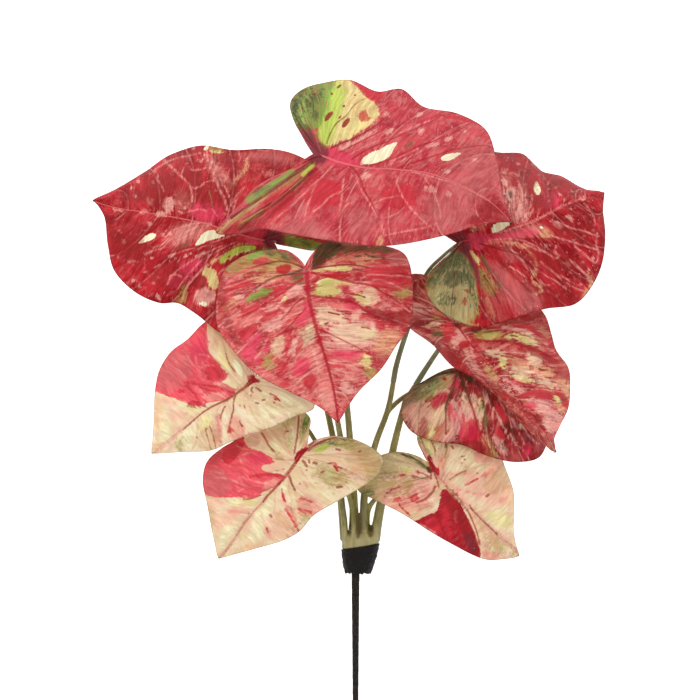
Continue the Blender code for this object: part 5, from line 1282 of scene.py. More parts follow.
        zone("blush", 0.9, 222, 513, 230, 507, 244, 506, 254, 508, 246, 514, 230, 516),
        zone("pinkish", 0.5, 226, 512, 232, 509, 248, 508, 250, 511, 236, 514),
        zone("blush", 0.6, 212, 526, 216, 514, 228, 512, 240, 518, 228, 524, 220, 528),
        zone("mint", 1.0, 216, 544, 220, 528, 232, 522, 238, 528, 230, 540, 222, 548),
        zone("mint", 1.0, 250, 530, 253, 514, 259, 508, 263, 522, 264, 536, 258, 544, 250, 540),
        zone("blush", 0.5, 248, 524, 250, 514, 254, 516, 252, 526),
        zone("peach", 0.5, 240, 548, 252, 542, 268, 542, 256, 550),
    ],
    "low_front": [
        # green at the back of the left-hand lobe, and pink below it
        zone("sage", 0.3, 366, 472, 376, 458, 392, 451, 412, 453, 424, 462, 416, 470, 396, 466, 382, 478,
             372, 484),
        zone("blush", 0.5, 384, 488, 394, 472, 420, 470, 438, 480, 434, 498, 414, 506, 396, 502),
        zone("blush", 0.5, 460, 468, 484, 474, 506, 486, 510, 506, 490, 510, 468, 494),
        zone("brick", 0.2, 394, 490, 404, 478, 424, 478, 434, 488, 424, 498, 406, 500),
        zone("mint", 0.3, 452, 446, 470, 452, 488, 466, 492, 478, 470, 470, 454, 462),
        patch("garnet", 441, 490, 446, 488, 452, 495, 459, 501, 464, 511, 469, 521, 475, 533, 479, 545,
              482, 560, 466, 562, 440, 550, 414, 532, 408, 523, 418, 519, 428, 514, 436, 513, 438, 508,
              440, 500),
        # inside the red
        zone("deep", 0.8, 452, 500, 460, 504, 468, 520, 475, 538, 480, 556, 472, 556, 464, 538, 456, 518),
        zone("deep", 0.4, 444, 496, 450, 494, 456, 506, 458, 520, 452, 516, 446, 506),
        zone("crimson", 0.45, 422, 524, 434, 516, 446, 520, 454, 532, 450, 544, 436, 538),
        zone("crimson", 0.4, 440, 512, 446, 504, 450, 514, 450, 526, 442, 524),
        stroke("pinkish", 2, 1.6, 456, 512, 455, 517, 456, 521),
        stroke("pale_line", 1.4, 1.2, 420, 524, 434, 532, 448, 544),
        stroke("deep", 2, 1.6, 440, 520, 444, 532, 450, 544),
        stroke("deep", 2.4, 2, 414, 524, 432, 536, 454, 549, 474, 558),
        zone("wine", 0.5, 466, 536, 470, 532, 476, 546, 474, 554, 468, 548),
        # along the rib
        zone("blush", 0.9, 450, 482, 458, 485, 468, 498, 476, 510, 470, 510, 460, 498),
        stroke("pinkish", 3, 2, 444, 480, 454, 489, 463, 499, 473, 510),
        patch("deep", 449, 489, 453, 488, 459, 496, 464, 503, 468, 512, 463, 508, 457, 500),
        stroke("umber", 1.6, 1.4, 446, 486, 452, 494, 459, 503),
        stroke("tan", 1.8, 1.6, 441, 481, 448, 490, 456, 499),
        stroke("umber", 1.8, 1.6, 470, 505, 473, 510, 479, 516),
        stroke("brick", 2.6, 2, 474, 511, 479, 517),
        stroke("mauve", 3.4, 2.4, 480, 517, 492, 528, 506, 541, 519, 553),
        stroke("umber", 1.6, 1.6, 479, 517, 489, 526, 498, 535),
        stroke("dull", 1.4, 1.2, 506, 541, 512, 546, 517, 551),
        zone("blush", 0.6, 494, 530, 506, 534, 514, 544, 506, 542),
        # between the red and the rib
        patch("peach", 467, 508, 471, 510, 476, 522, 481, 536, 485, 552, 482, 552, 477, 538, 471, 522),
        stroke("umber", 1.8, 1.4, 467, 509, 472, 520, 477, 533, 480, 545),
        stroke("tan", 2, 1.6, 474, 514, 479, 525, 484, 538),
        zone("tan", 1.0, 476, 520, 482, 518, 494, 534, 502, 548, 496, 552, 488, 540, 480, 530),
        stroke("brick", 1.8, 1.6, 482, 528, 485, 538, 487, 548),
        stroke("mauve", 2.4, 2, 484, 520, 490, 532, 496, 544),
        zone("olive", 0.4, 488, 540, 496, 532, 504, 544, 504, 554, 494, 552),
        zone("pinkish", 0.8, 480, 550, 490, 550, 502, 555, 496, 560, 484, 560),
        zone("olive", 0.35, 510, 552, 516, 549, 520, 554, 514, 556),
        # the upper half
        zone("mint", 0.9, 450, 482, 454, 478, 468, 474, 474, 480, 468, 488, 458, 488),
        zone("mint", 0.7, 446, 468, 450, 460, 460, 462, 462, 470, 452, 472),
        stroke("tan", 2.6, 2, 449, 481.5, 456, 476.5, 466, 471.5, 476, 467, 487, 463.5),
        stroke("umber", 1.4, 1.2, 450, 480, 457, 475, 466, 471),
        stroke("pinkish", 1.2, 1.0, 450, 474, 460, 475, 474, 471),
        zone("pinkish", 0.9, 472, 458, 474, 450, 486, 452, 494, 458, 486, 464, 476, 464),
        stroke("pinkish", 2, 1.6, 476, 452, 477, 458, 478, 464),
        stroke("pinkish", 2, 1.6, 486, 456, 486, 461, 484, 466),
        *dots("scarlet", 2.4, 478, 452.5),
        zone("tan", 0.8, 442, 470, 444, 456, 445, 440, 450, 440, 450, 456, 446, 466),
        stroke("olive_line", 2, 1.8, 446, 440, 446.5, 450, 445, 458),
        stroke("umber", 2, 1.6, 446, 442, 446, 448),
        stroke("umber", 2.8, 2.2, 451.5, 447, 453, 449),
        stroke("brick", 2, 2, 440.5, 447.5, 443, 447.5, 443, 450, 440.5, 450),
        stroke("brick", 2.2, 2, 439.5, 456, 442, 454.5),
        stroke("brick", 2.4, 2.2, 441, 461, 443.5, 459, 445, 456),
        *dots("brick", 1.8, 440, 460.5, 464.5, 470.5),
        zone("pinkish", 0.7, 438, 468, 440, 458, 446, 452, 446, 462, 442, 470),
        stroke("mauve", 1.6, 1.2, 459, 458, 461, 457.5),
        stroke("umber", 1.6, 1.2, 461.5, 457, 464, 456.5),
        *dots("umber", 1.6, 464, 460, 461, 463.5, 477, 473.5),
        stroke("brick", 2.6, 2.2, 465, 467.5, 467, 468.5),
        patch("crimson", 464, 485, 468, 482.5, 472, 481.5, 475, 479, 479, 478, 476, 481.5, 471, 484,
              466, 486),
        stroke("scarlet", 1.4, 1.2, 470, 482.5, 477, 479.5),
        stroke("umber", 2.6, 2.2, 486.5, 496.5, 488.5, 494.5),
        stroke("pinkish", 1.4, 1.2, 456, 489, 466, 492, 476, 494, 486, 493),
        zone("pinkish", 0.8, 482, 478, 484, 470, 494, 468, 496, 474, 488, 480),
        zone("tan", 0.8, 480, 486, 490, 472, 504, 464, 510, 482, 500, 496, 488, 494),
        stroke("tan", 1.4, 1.2, 484, 484, 494, 474, 504, 468),
        stroke("brick", 1.4, 1.2, 482, 478, 494, 472, 503, 465),
        stroke("tan", 1.4, 1.2, 488, 490, 498, 480, 508, 474),
        zone("blush", 0.9, 488, 468, 494, 459, 502, 460, 500, 468, 492, 472),
        zone("pinkish", 0.9, 496, 503, 500, 498, 506, 497, 505, 501, 500, 504),
        zone("mint", 0.8, 494, 512, 498, 505, 507, 502, 508, 510, 500, 514),
        zone("straw", 0.2, 484, 514, 496, 512, 508, 514, 510, 530, 498, 526),
        stroke("tan", 1.6, 1.4, 477, 512, 488, 511, 500, 508),
        zone("peach", 0.6, 504, 484, 512, 490, 514, 510, 508, 506, 504, 496),
        zone("mint", 0.6, 474, 506, 480, 498, 490, 500, 486, 508),
        # the lobe above the joint
        patch("straw", 423, 440, 426, 438, 430, 439, 433, 443, 434, 451, 432, 456, 428, 453, 425, 446),
        stroke("moss", 2.2, 1.8, 421, 439, 424, 446, 428, 452, 430, 456),
        stroke("olive", 2.4, 2, 431, 440, 434, 447, 435.5, 456),
        stroke("umber", 1.6, 1.4, 431, 441, 434, 447, 436, 452),
        zone("pinkish", 0.8, 418, 444, 421, 443, 427, 453, 426, 458, 421, 454),
        zone("olive", 0.6, 416, 440, 419, 436, 423, 444, 422, 448),
        stroke("scarlet", 2.4, 2, 420, 451, 423, 456, 426, 461),
        zone("mint", 0.6, 434, 452, 436, 446, 440, 448, 440, 458, 437, 460),
        stroke("tan", 1.8, 1.6, 434, 447, 438, 456, 440, 468),
        zone("blush", 0.9, 432, 458, 435, 452, 439, 458, 440, 468, 436, 468),
        # the joint
        patch("garnet", 426, 458, 429, 455, 432, 457, 432.5, 462, 435, 466, 440, 469, 440, 474, 437, 476,
              434, 472, 430, 473, 426, 469, 429, 466),
        zone("deep", 0.9, 425, 469, 429, 466, 433, 468, 433, 473, 429, 473),
        patch("crimson", 434, 468, 438, 467, 440, 471, 439, 475, 436, 472),
        zone("brick", 0.9, 437, 480, 437, 472, 442, 468, 445, 476, 448, 482, 442, 484),
        stroke("umber", 2.4, 2, 431, 473, 431, 479),
        stroke("umber", 2, 1.6, 434, 473, 437, 480, 439, 488),
        zone("blush", 0.7, 431, 480, 432, 472, 435, 474, 436, 481),
        zone("tan", 0.8, 432, 490, 434, 480, 442, 480, 442, 490, 438, 496),
        # the lobe to the left
        patch("olive", 372, 457, 384, 449, 400, 448, 414, 452, 424, 460, 434, 472, 424, 470, 410, 461,
              396, 456, 384, 458),
        stroke("dusk", 2.8, 3.4, 402, 455, 412, 458, 421, 464, 430, 471),
        stroke("moss", 2, 1.6, 384, 454, 396, 453, 406, 456),
        zone("olive", 0.7, 354, 494, 356, 480, 368, 472, 380, 476, 378, 490, 376, 502, 362, 500),
        zone("moss", 0.4, 356, 496, 358, 488, 370, 484, 376, 494, 366, 500),
        zone("tan", 0.9, 376, 500, 377, 484, 384, 474, 388, 484, 384, 494, 382, 504),
        stroke("tan", 1.8, 1.6, 384, 469, 396, 465.5, 406, 461.5, 414, 460),
        zone("olive", 0.6, 380, 474, 386, 468, 396, 466, 404, 468, 402, 473, 388, 475),
        zone("blush", 0.6, 404, 464, 410, 461, 418, 466, 414, 470),
        zone("chartreuse", 0.7, 403, 474, 404, 468, 410, 466, 412, 472, 409, 475),
        stroke("moss", 2, 1.8, 380, 477, 392, 477, 402, 475, 412, 476.5, 428, 479),
        stroke("brick", 2.6, 2, 393, 475, 397, 473.5, 401, 475),
        stroke("scarlet", 2, 1.8, 400, 475.5, 404, 474.5),
        stroke("umber", 2, 1.8, 412, 476, 417, 476.5),
        patch("brick", 416, 471, 418, 470, 420, 474, 421, 476, 418, 475.5),
        stroke("scarlet", 1.8, 1.6, 417.5, 470.5, 419, 474),
        stroke("umber", 1.6, 1.2, 430, 478, 424, 474, 416, 472),
        zone("olive", 0.4, 380, 482, 396, 478, 416, 480, 414, 486, 396, 486, 384, 490),
        zone("brick", 0.9, 380, 504, 384, 494, 392, 486, 404, 484, 407, 487, 398, 492, 390, 498),
        stroke("deep", 1.8, 1.4, 385, 496, 392, 490, 400, 487),
        zone("olive", 0.35, 392, 498, 402, 490, 412, 488, 404, 494),
        zone("pinkish", 1.0, 380, 506, 390, 498, 406, 496, 424, 498, 434, 504, 424, 510, 404, 513, 390, 511),
        patch("crimson", 410, 498, 412, 494.5, 418, 493, 419.5, 497, 417.5, 502, 413, 503.5, 410.5, 501),
        zone("crimson", 0.7, 392, 502, 396, 497, 403, 497, 400, 502),
        stroke("scarlet", 1.8, 1.6, 399, 503, 400, 506, 404, 509, 410, 515),
        zone("tan", 0.5, 402, 514, 412, 508, 426, 512, 420, 518, 410, 520),
        stroke("umber", 2.8, 2, 435, 487, 433, 491.5, 429, 496, 423, 500, 417, 502),
        zone("pinkish", 0.8, 423, 496, 424, 489, 430, 487, 431, 491, 427, 496),
        zone("brick", 0.5, 420, 510, 422, 505, 432, 504, 430, 510),
        stroke("mauve", 1.4, 1.2, 424, 482, 427, 480, 430, 479),
    ],
}

# The inks, some of them painted shade and light, in the order that they go over each other, as the
# photograph's red, green and blue.
INKS = {
    # name: red, green and blue, cover, softness of the border in millimetres, its raggedness, and how patchy
    # the ink is
    "carmine": ((218, 78, 88), 1.0, 0.35, 0.6, 0.0),
    "garnet": ((158, 24, 34), 1.0, 0.4, 0.6, 0.0),
    "shade": ((150, 34, 40), 0.6, 3.2, 1.6, 0.5),
    # painted sheen: paler, duller patches where the cloth catches the light
    "haze": ((190, 104, 102), 0.6, 3.0, 1.2, 0.3),
    "mint": ((230, 228, 182), 0.55, 1.8, 1.6, 0.3),
    # painted light: soft pale patches where the cloth is lit
    "glow": ((232, 150, 138), 0.6, 2.4, 1.6, 0.6),
    # painted highlights, and also small pale flecks of the print
    "bloom": ((236, 172, 158), 0.7, 0.9, 1.2, 0.45),
    "blush": ((238, 172, 152), 0.6, 1.2, 1.4, 0.4),
    "pinkish": ((222, 120, 112), 0.65, 1.2, 1.2, 0.5),
    "peach": ((226, 172, 128), 0.7, 1.8, 1.6, 0.5),
    "brick": ((168, 70, 66), 0.6, 2.4, 2.0, 0.5),
    "olive": ((158, 142, 74), 0.75, 1.2, 1.6, 0.4),
    "straw": ((222, 212, 140), 0.85, 0.9, 1.2, 0.3),
    "lime": ((168, 192, 72), 0.9, 0.9, 1.3, 0.2),
    "green": ((108, 150, 62), 0.85, 0.8, 1.4, 0.3),
    "moss": ((74, 86, 44), 0.8, 0.9, 1.6, 0.5),
    "cream": ((240, 230, 192), 0.95, 0.35, 0.4, 0.08),
    "sage": ((166, 160, 114), 0.75, 1.5, 1.6, 0.35),
    "pine": ((54, 62, 38), 0.8, 0.7, 1.9, 0.5),
    "ivory": ((226, 196, 160), 0.75, 1.4, 1.4, 0.45),
    "chartreuse": ((178, 176, 88), 0.7, 1.3, 1.7, 0.6),
    "tan": ((202, 160, 116), 0.6, 0.8, 0.8, 0.35),
    "mauve": ((206, 140, 130), 0.65, 1.0, 0.8, 0.35),
    "dull": ((160, 98, 72), 0.6, 0.5, 0.5, 0.5),
    "crimson": ((190, 40, 52), 0.85, 0.5, 1.0, 0.3),
    "rose": ((214, 60, 88), 0.8, 1.0, 1.2, 0.3),
    "magenta": ((190, 30, 62), 0.8, 0.9, 1.2, 0.2),
    "scarlet": ((176, 32, 38), 0.95, 0.5, 0.6, 0.1),
    # deep red; in soft, broad zones on the red leaves it is painted shade
    "deep": ((142, 26, 28), 0.8, 0.7, 1.1, 0.35),
    "umber": ((150, 68, 54), 0.85, 0.5, 0.3, 0.0),
    "fleck": ((140, 42, 34), 0.95, 0.35, 0.3, 0.0),
    "dusk": ((58, 46, 24), 0.85, 0.7, 0.8, 0.2),
    "wine": ((112, 42, 52), 0.85, 1.4, 0.8, 0.15),
    "pale_line": ((232, 146, 138), 0.7, 0.8, 0.4, 0.8),
    "red_line": ((158, 22, 34), 0.85, 0.5, 0.2, 0.3),
    "dark_line": ((104, 30, 26), 0.85, 0.5, 0.2, 0.25),
    "olive_line": ((132, 110, 60), 0.7, 0.4, 0.3, 0.6),
}


@dataclass
class Ground:
    """A leaf's cloth under its marks: the photograph's colours, and how much of the cloth each covers."""

    main: tuple
    second: tuple
    # a painted sheen: the duller colour where the cloth catches the light
    dull: tuple
    streak: tuple
    cover: float            # how much the streaks cover
    web: tuple
    web_cover: float
    fleck: tuple
    fleck_cover: float
    rib: tuple
    rib_width: float        # in millimetres, at the joint
    depth: float = 0.8      # the darkest shade between the streaks, as a share of the second colour
    # painted shade in the fold beside a side vein: its darkest, and how much of it shows
    fold_shade_depth: float = 0.85            # the same in the fold beside a side vein
    fold_shade: float = 0.5
    # how much of the painted sheen, the duller colour, shows
    bloom: float = 0.7
    bands: float = 0.7
    lines: float = 0.35


# What the grounds of the three cream leaves share.
CREAM = dict(cover=0.6, web_cover=0.2, fleck=(240, 224, 196), fleck_cover=0.3, rib_width=0.8, depth=0.95,
             fold_shade_depth=0.95, lines=0.2)

GROUNDS = {
    "top": Ground(
        main=(208, 74, 82), second=(186, 46, 60), dull=(200, 104, 104), streak=(220, 114, 114), cover=0.38,
        web=(234, 146, 138), web_cover=0.3, fleck=(238, 176, 166), fleck_cover=0.5, rib=(226, 116, 118),
        rib_width=2.0, bands=0.4),
    "left": Ground(
        main=(200, 36, 48), second=(156, 12, 22), dull=(190, 62, 62), streak=(212, 84, 88), cover=0.38,
        web=(230, 126, 120), web_cover=0.25, fleck=(240, 176, 168), fleck_cover=0.5, rib=(228, 116, 116),
        rib_width=1.8, bands=0.5, fold_shade=0.95, bloom=0.4),
    "right": Ground(
        main=(192, 28, 40), second=(146, 10, 20), dull=(180, 48, 50), streak=(206, 70, 78), cover=0.38,
        web=(228, 122, 118), web_cover=0.25, fleck=(242, 184, 174), fleck_cover=0.7, rib=(208, 66, 82),
        rib_width=1.8, bands=0.5, fold_shade=0.95, bloom=0.4),
    "front": Ground(
        main=(212, 76, 80), second=(188, 42, 56), dull=(210, 112, 100), streak=(234, 156, 142), cover=0.45,
        web=(240, 178, 162), web_cover=0.5, fleck=(242, 206, 180), fleck_cover=0.5, rib=(172, 24, 44),
        rib_width=5.0, bands=0.4),
    "mid_right": Ground(
        main=(196, 64, 66), second=(162, 26, 36), dull=(194, 106, 88), streak=(232, 156, 136), cover=0.6,
        web=(238, 176, 156), web_cover=0.3, fleck=(242, 204, 180), fleck_cover=0.6, rib=(172, 30, 42),
        rib_width=3.6, bands=0.5),
    "low_right": Ground(
        main=(172, 40, 46), second=(130, 16, 24), dull=(166, 72, 62), streak=(218, 124, 116), cover=0.7,
        web=(226, 150, 136), web_cover=0.3, fleck=(236, 176, 160), fleck_cover=0.5, rib=(142, 20, 26),
        rib_width=2.6),
    "mid_left": Ground(
        main=(240, 220, 182), second=(236, 200, 166), dull=(224, 210, 150), streak=(248, 236, 206),
        web=(240, 222, 190), rib=(172, 92, 76), **CREAM),
    "low_left": Ground(
        main=(236, 216, 178), second=(232, 194, 160), dull=(218, 204, 144), streak=(246, 232, 200),
        web=(240, 222, 190), rib=(176, 90, 78), **CREAM),
    "low_front": Ground(
        main=(234, 212, 176), second=(230, 186, 158), dull=(214, 198, 142), streak=(244, 228, 198),
        web=(240, 220, 190), rib=(186, 100, 88), **CREAM),
}

# The coat on the leaves' backs, and how much of the print it covers.
UNDERSIDE = (176, 172, 140)
UNDERSIDE_COVER = 0.62

# The other pieces' lighter and darker colours, and the dust or the flecks on them.
STEM_COLOURS = ((150, 142, 86), (122, 114, 60))
STALK_COLOURS = ((132, 132, 96), (108, 108, 74))
GLUE_COLOURS = ((26, 18, 19), (12, 7, 8), (84, 76, 76))
TAPE_COLOURS = ((50, 43, 38), (22, 17, 14), (78, 71, 65))

# These two inks have paler spots, by so much red, green and blue.
WORN_INKS = ("carmine", "garnet")
WORN_LIFT = (22, 52, 48)

STEM_INKS = {
    # name: red, green and blue, cover, and softness of the border in millimetres
    "pale": ((172, 162, 112), 0.8, 3.0),
    "grey": ((118, 114, 88), 0.7, 1.6),
    "yellow": ((122, 114, 34), 0.8, 1.6),
    # painted shade in the hollows where the stems meet
    "hollow": ((84, 66, 16), 0.85, 1.4),
}
STEM_PRINT = [
    zone("pale", 0.6, 338, 552, 339, 532, 350, 526, 362, 534, 366, 528, 378, 524, 384, 534, 380, 552),
    stroke("grey", 2.4, 2.6, 336, 500, 339, 524, 342, 548),
    stroke("grey", 3, 3.4, 359, 490, 363, 506, 364, 528),
    stroke("grey", 2.4, 2.4, 385, 506, 382, 528, 379, 544),
    stroke("yellow", 4, 3, 355, 492, 355, 506, 356, 520),
    stroke("yellow", 3, 3, 347, 500, 348.5, 516, 349, 534),
    stroke("yellow", 3.4, 3, 368, 510, 368, 522, 370, 534),
    # painted shade down the hollows between the stems
    stroke("hollow", 2.4, 1.6, 348.5, 518, 348.5, 532),
    patch("hollow", 355, 506, 360, 510, 361.5, 526, 359.5, 538, 356.5, 538, 355.5, 526),
    patch("hollow", 366, 520, 368, 524, 373, 526, 373, 535, 370, 538, 368, 533),
]


def place(point):
    """A plan point in metres, in the part's own frame."""
    column, row, height = point
    scale = PIXEL * (1 - height * MM / EYE_HEIGHT)
    x = (EYE_PIXEL[0] - ORIGIN_PIXEL[0]) * PIXEL + (column - EYE_PIXEL[0]) * scale
    y = (ORIGIN_PIXEL[1] - EYE_PIXEL[1]) * PIXEL + (EYE_PIXEL[1] - row) * scale
    return np.array((x, y, height * MM))


def plan_pixels(points):
    """Where the eye over the plan sees these points, in pixels."""
    scale = PIXEL * (1 - points[:, 2] / EYE_HEIGHT)
    column = EYE_PIXEL[0] + (points[:, 0] - (EYE_PIXEL[0] - ORIGIN_PIXEL[0]) * PIXEL) / scale
    row = EYE_PIXEL[1] - (points[:, 1] - (ORIGIN_PIXEL[1] - EYE_PIXEL[1]) * PIXEL) / scale
    return np.stack([column, row], axis=1)


def smooth_path(points, shares, detail=24):
    """Points at the given shares of the length of a smooth curve through all the points."""
    points = np.asarray(points, float)
    knots = np.concatenate([[0.0], np.cumsum(np.linalg.norm(np.diff(points, axis=0), axis=1) ** 0.5)])
    slopes = np.gradient(points, knots, axis=0, edge_order=2 if len(points) > 2 else 1)
    curve = [points[:1]]
    for k in range(len(points) - 1):
        span = knots[k + 1] - knots[k]
        u = np.linspace(0, 1, detail + 1)[1:, None]
        curve.append((2 * u**3 - 3 * u**2 + 1) * points[k] + (u**3 - 2 * u**2 + u) * span * slopes[k]
                     + (3 * u**2 - 2 * u**3) * points[k + 1] + (u**3 - u**2) * span * slopes[k + 1])
    curve = np.vstack(curve)
    length = np.concatenate([[0.0], np.cumsum(np.linalg.norm(np.diff(curve, axis=0), axis=1))])
    wanted = np.asarray(shares) * length[-1]
    return np.stack([np.interp(wanted, length, curve[:, axis]) for axis in range(curve.shape[1])], axis=1)


def path_length(points):
    return float(np.linalg.norm(np.diff(points, axis=0), axis=1).sum())


# The print

def segment_distance(spots, a, b):
    """Each spot's distance to the line from a to b, and the share of the way along it."""
    way = b - a
    share = np.clip(((spots - a) @ way) / max(way @ way, 1e-9), 0, 1)
    return np.linalg.norm(spots - a - share[:, None] * way, axis=1), share


def round_corners(points):
    """The closed outline with each corner cut off, and the new corners cut off once more."""
    for _ in range(2):
        after = np.roll(points, -1, axis=0)
        points = np.stack([0.75 * points + 0.25 * after, 0.25 * points + 0.75 * after], axis=1).reshape(-1, 2)
    return points


def patch_depth(spots, mark):
    """How deep each spot lies inside a closed patch, in pixels, and below 0 outside it."""
    corners = round_corners(mark.points)
    nearest = np.full(len(spots), np.inf)
    inside = np.zeros(len(spots), bool)
    for a, b in zip(corners, np.roll(corners, -1, axis=0)):
        nearest = np.minimum(nearest, segment_distance(spots, a, b)[0])
        crosses = (a[1] > spots[:, 1]) != (b[1] > spots[:, 1])
        slope = (b[0] - a[0]) / ((b[1] - a[1]) or 1e-9)
        inside ^= crosses & (spots[:, 0] < a[0] + slope * (spots[:, 1] - a[1]))
    return np.where(inside, nearest, -nearest)


def stroke_depth(spots, mark):
    """The same for a stroke along a curve, with a width that runs evenly from one end to the other."""
    count = STROKE_DETAIL * (len(mark.points) - 1)
    line = smooth_path(mark.points, np.linspace(0, 1, count + 1)) if len(mark.points) > 2 else mark.points
    depth = np.full(len(spots), -np.inf)
    for k in range(len(line) - 1):
        distance, share = segment_distance(spots, line[k], line[k + 1])
        width = mark.widths[0] + (mark.widths[1] - mark.widths[0]) * (k + share) / (len(line) - 1)
        depth = np.maximum(depth, width / 2 - distance)
    return depth


def ink_fields(spots, marks):
    """For each ink used, each spot's depth in millimetres inside its marks."""
    fields = {}
    for mark in marks:
        field = fields.setdefault(mark.ink, np.full(len(spots), -INK_REACH))
        reach = INK_REACH / (PIXEL / MM) / mark.crisp + STROKE_REACH
        low, high = mark.points.min(axis=0) - reach, mark.points.max(axis=0) + reach
        near = np.nonzero(((spots > low) & (spots < high)).all(axis=1))[0]
        if len(near) == 0:
            continue
        depth = stroke_depth(spots[near], mark) if mark.widths else patch_depth(spots[near], mark)
        depth = np.clip(depth * (PIXEL / MM) * mark.crisp, -INK_REACH, INK_REACH)
        field[near] = np.maximum(field[near], depth)
    return fields


# The leaves

def half_margin(leaf, side):
    return [place(p) for p in [leaf.notch] + getattr(leaf, side) + [leaf.rib[-1]]]


def half_points(leaf, side, along, out):
    """Points on one half's middle surface. The shares run from notch to tip and from rib to edge."""
    rib = [place(p) for p in leaf.rib]
    spine = smooth_path(rib, np.clip((along - FAN) / (1 - FAN), 0, 1) ** VEIN_SLANT)
    edge = smooth_path(half_margin(leaf, side), along)
    points = spine * (1 - out[:, None]) + edge * out[:, None]
    width = np.linalg.norm(edge - spine, axis=1)
    wave = np.sin(2 * math.pi * EDGE_WAVES * along)
    points[:, 2] += CAMBER * width * 4 * out * (1 - out) + EDGE_WAVE * width * wave * out**3
    points[:, 2] = np.maximum(points[:, 2], SOLID_THICKNESS / 2)
    return points, width


def groove(distance, size):
    """A groove's depth at some distance from its middle. The size is its depth and half width."""
    return size[0] * np.exp(-(distance / size[1]) ** 2)


def half_facts(leaf, side, along, out, width):
    """What the print and the relief need at each point of one half. Only the relief is in metres."""
    ahead, behind = np.minimum(along + SHARE_STEP, 1), np.maximum(along - SHARE_STEP, 0)
    pitch = half_points(leaf, side, ahead, out)[0] - half_points(leaf, side, behind, out)[0]
    pitch = np.linalg.norm(pitch, axis=1) / (ahead - behind)        # metres for one unit of along
    lane = along - VEIN_BEND * out ** 2
    veins = np.array((OUTER_VEINS[0],) + VEINS + (OUTER_VEINS[1],))
    before = np.clip(np.searchsorted(veins, lane) - 1, 0, len(veins) - 2)
    start, end = veins[before], veins[before + 1]
    vein = np.minimum(lane - start, end - lane) * pitch
    share = np.clip((lane - start) / (end - start), 0, 1)
    puff = np.minimum(QUILT * (end - start) * pitch, QUILT_LIMIT) * 4 * share * (1 - share)
    rib_away = out * width
    length = path_length(smooth_path(half_margin(leaf, side), np.linspace(0, 1, 200)))
    relief = (puff * np.clip(rib_away / QUILT_START, 0, 1)
              - groove(vein, VEIN_GROOVE) * np.clip(pitch / VEIN_FADE, 0, 1)
              - groove(rib_away, RIB_GROOVE))
    relief *= np.clip((1 - out) * EDGE_FADE, EDGE_RELIEF, 1)
    sign = 1 if side == "left" else -1
    return {"relief": relief, "vein": vein / MM, "rib": rib_away / MM, "edge": (1 - out) * width / MM,
            "flow_u": rib_away / MM, "flow_v": along * length / MM, "flow_w": sign * out * HALF_OFFSET,
            "along": along}


def half_cells(leaf, side, step):
    """One half's cells, as first and last row and column, halved until no side is longer than the step."""
    block = LATTICE_BLOCK
    cells = np.array([(row, row + block, column, column + block) for row in range(0, LATTICE[0], block)
                      for column in range(0, LATTICE[1], block)])
    done = []

    def corner(rows, columns):
        return half_points(leaf, side, rows / LATTICE[0], columns / LATTICE[1])[0]

    while len(cells):
        row, last_row, column, last_column = cells.T
        a, b = corner(row, column), corner(last_row, column)
        c, d = corner(last_row, last_column), corner(row, last_column)
        tall = np.maximum(np.linalg.norm(b - a, axis=1), np.linalg.norm(c - d, axis=1)) > step
        wide = np.maximum(np.linalg.norm(d - a, axis=1), np.linalg.norm(c - b, axis=1)) > step
        tall &= last_row - row > 1
        wide &= last_column - column > 1
        done.append(cells[~tall & ~wide])
        cells, tall, wide = cells[tall | wide], tall[tall | wide], wide[tall | wide]
        cells, wide = halved(cells, tall, 0), np.concatenate([wide, wide[tall]])
        cells = halved(cells, wide, 2)
    return np.vstack(done)


def halved(cells, chosen, first):
    """The cells, with the chosen ones cut in two across the columns first and first + 1."""
    middle = (cells[:, first] + cells[:, first + 1]) // 2
    near, far = cells.copy(), cells[chosen].copy()
    near[chosen, first + 1] = middle[chosen]
    far[:, first] = middle[chosen]
    return np.vstack([near, far])


def between(line, first, last):
    """The part of a sorted line of numbers from the first to the last."""
    return line[bisect_left(line, first):bisect_right(line, last)]


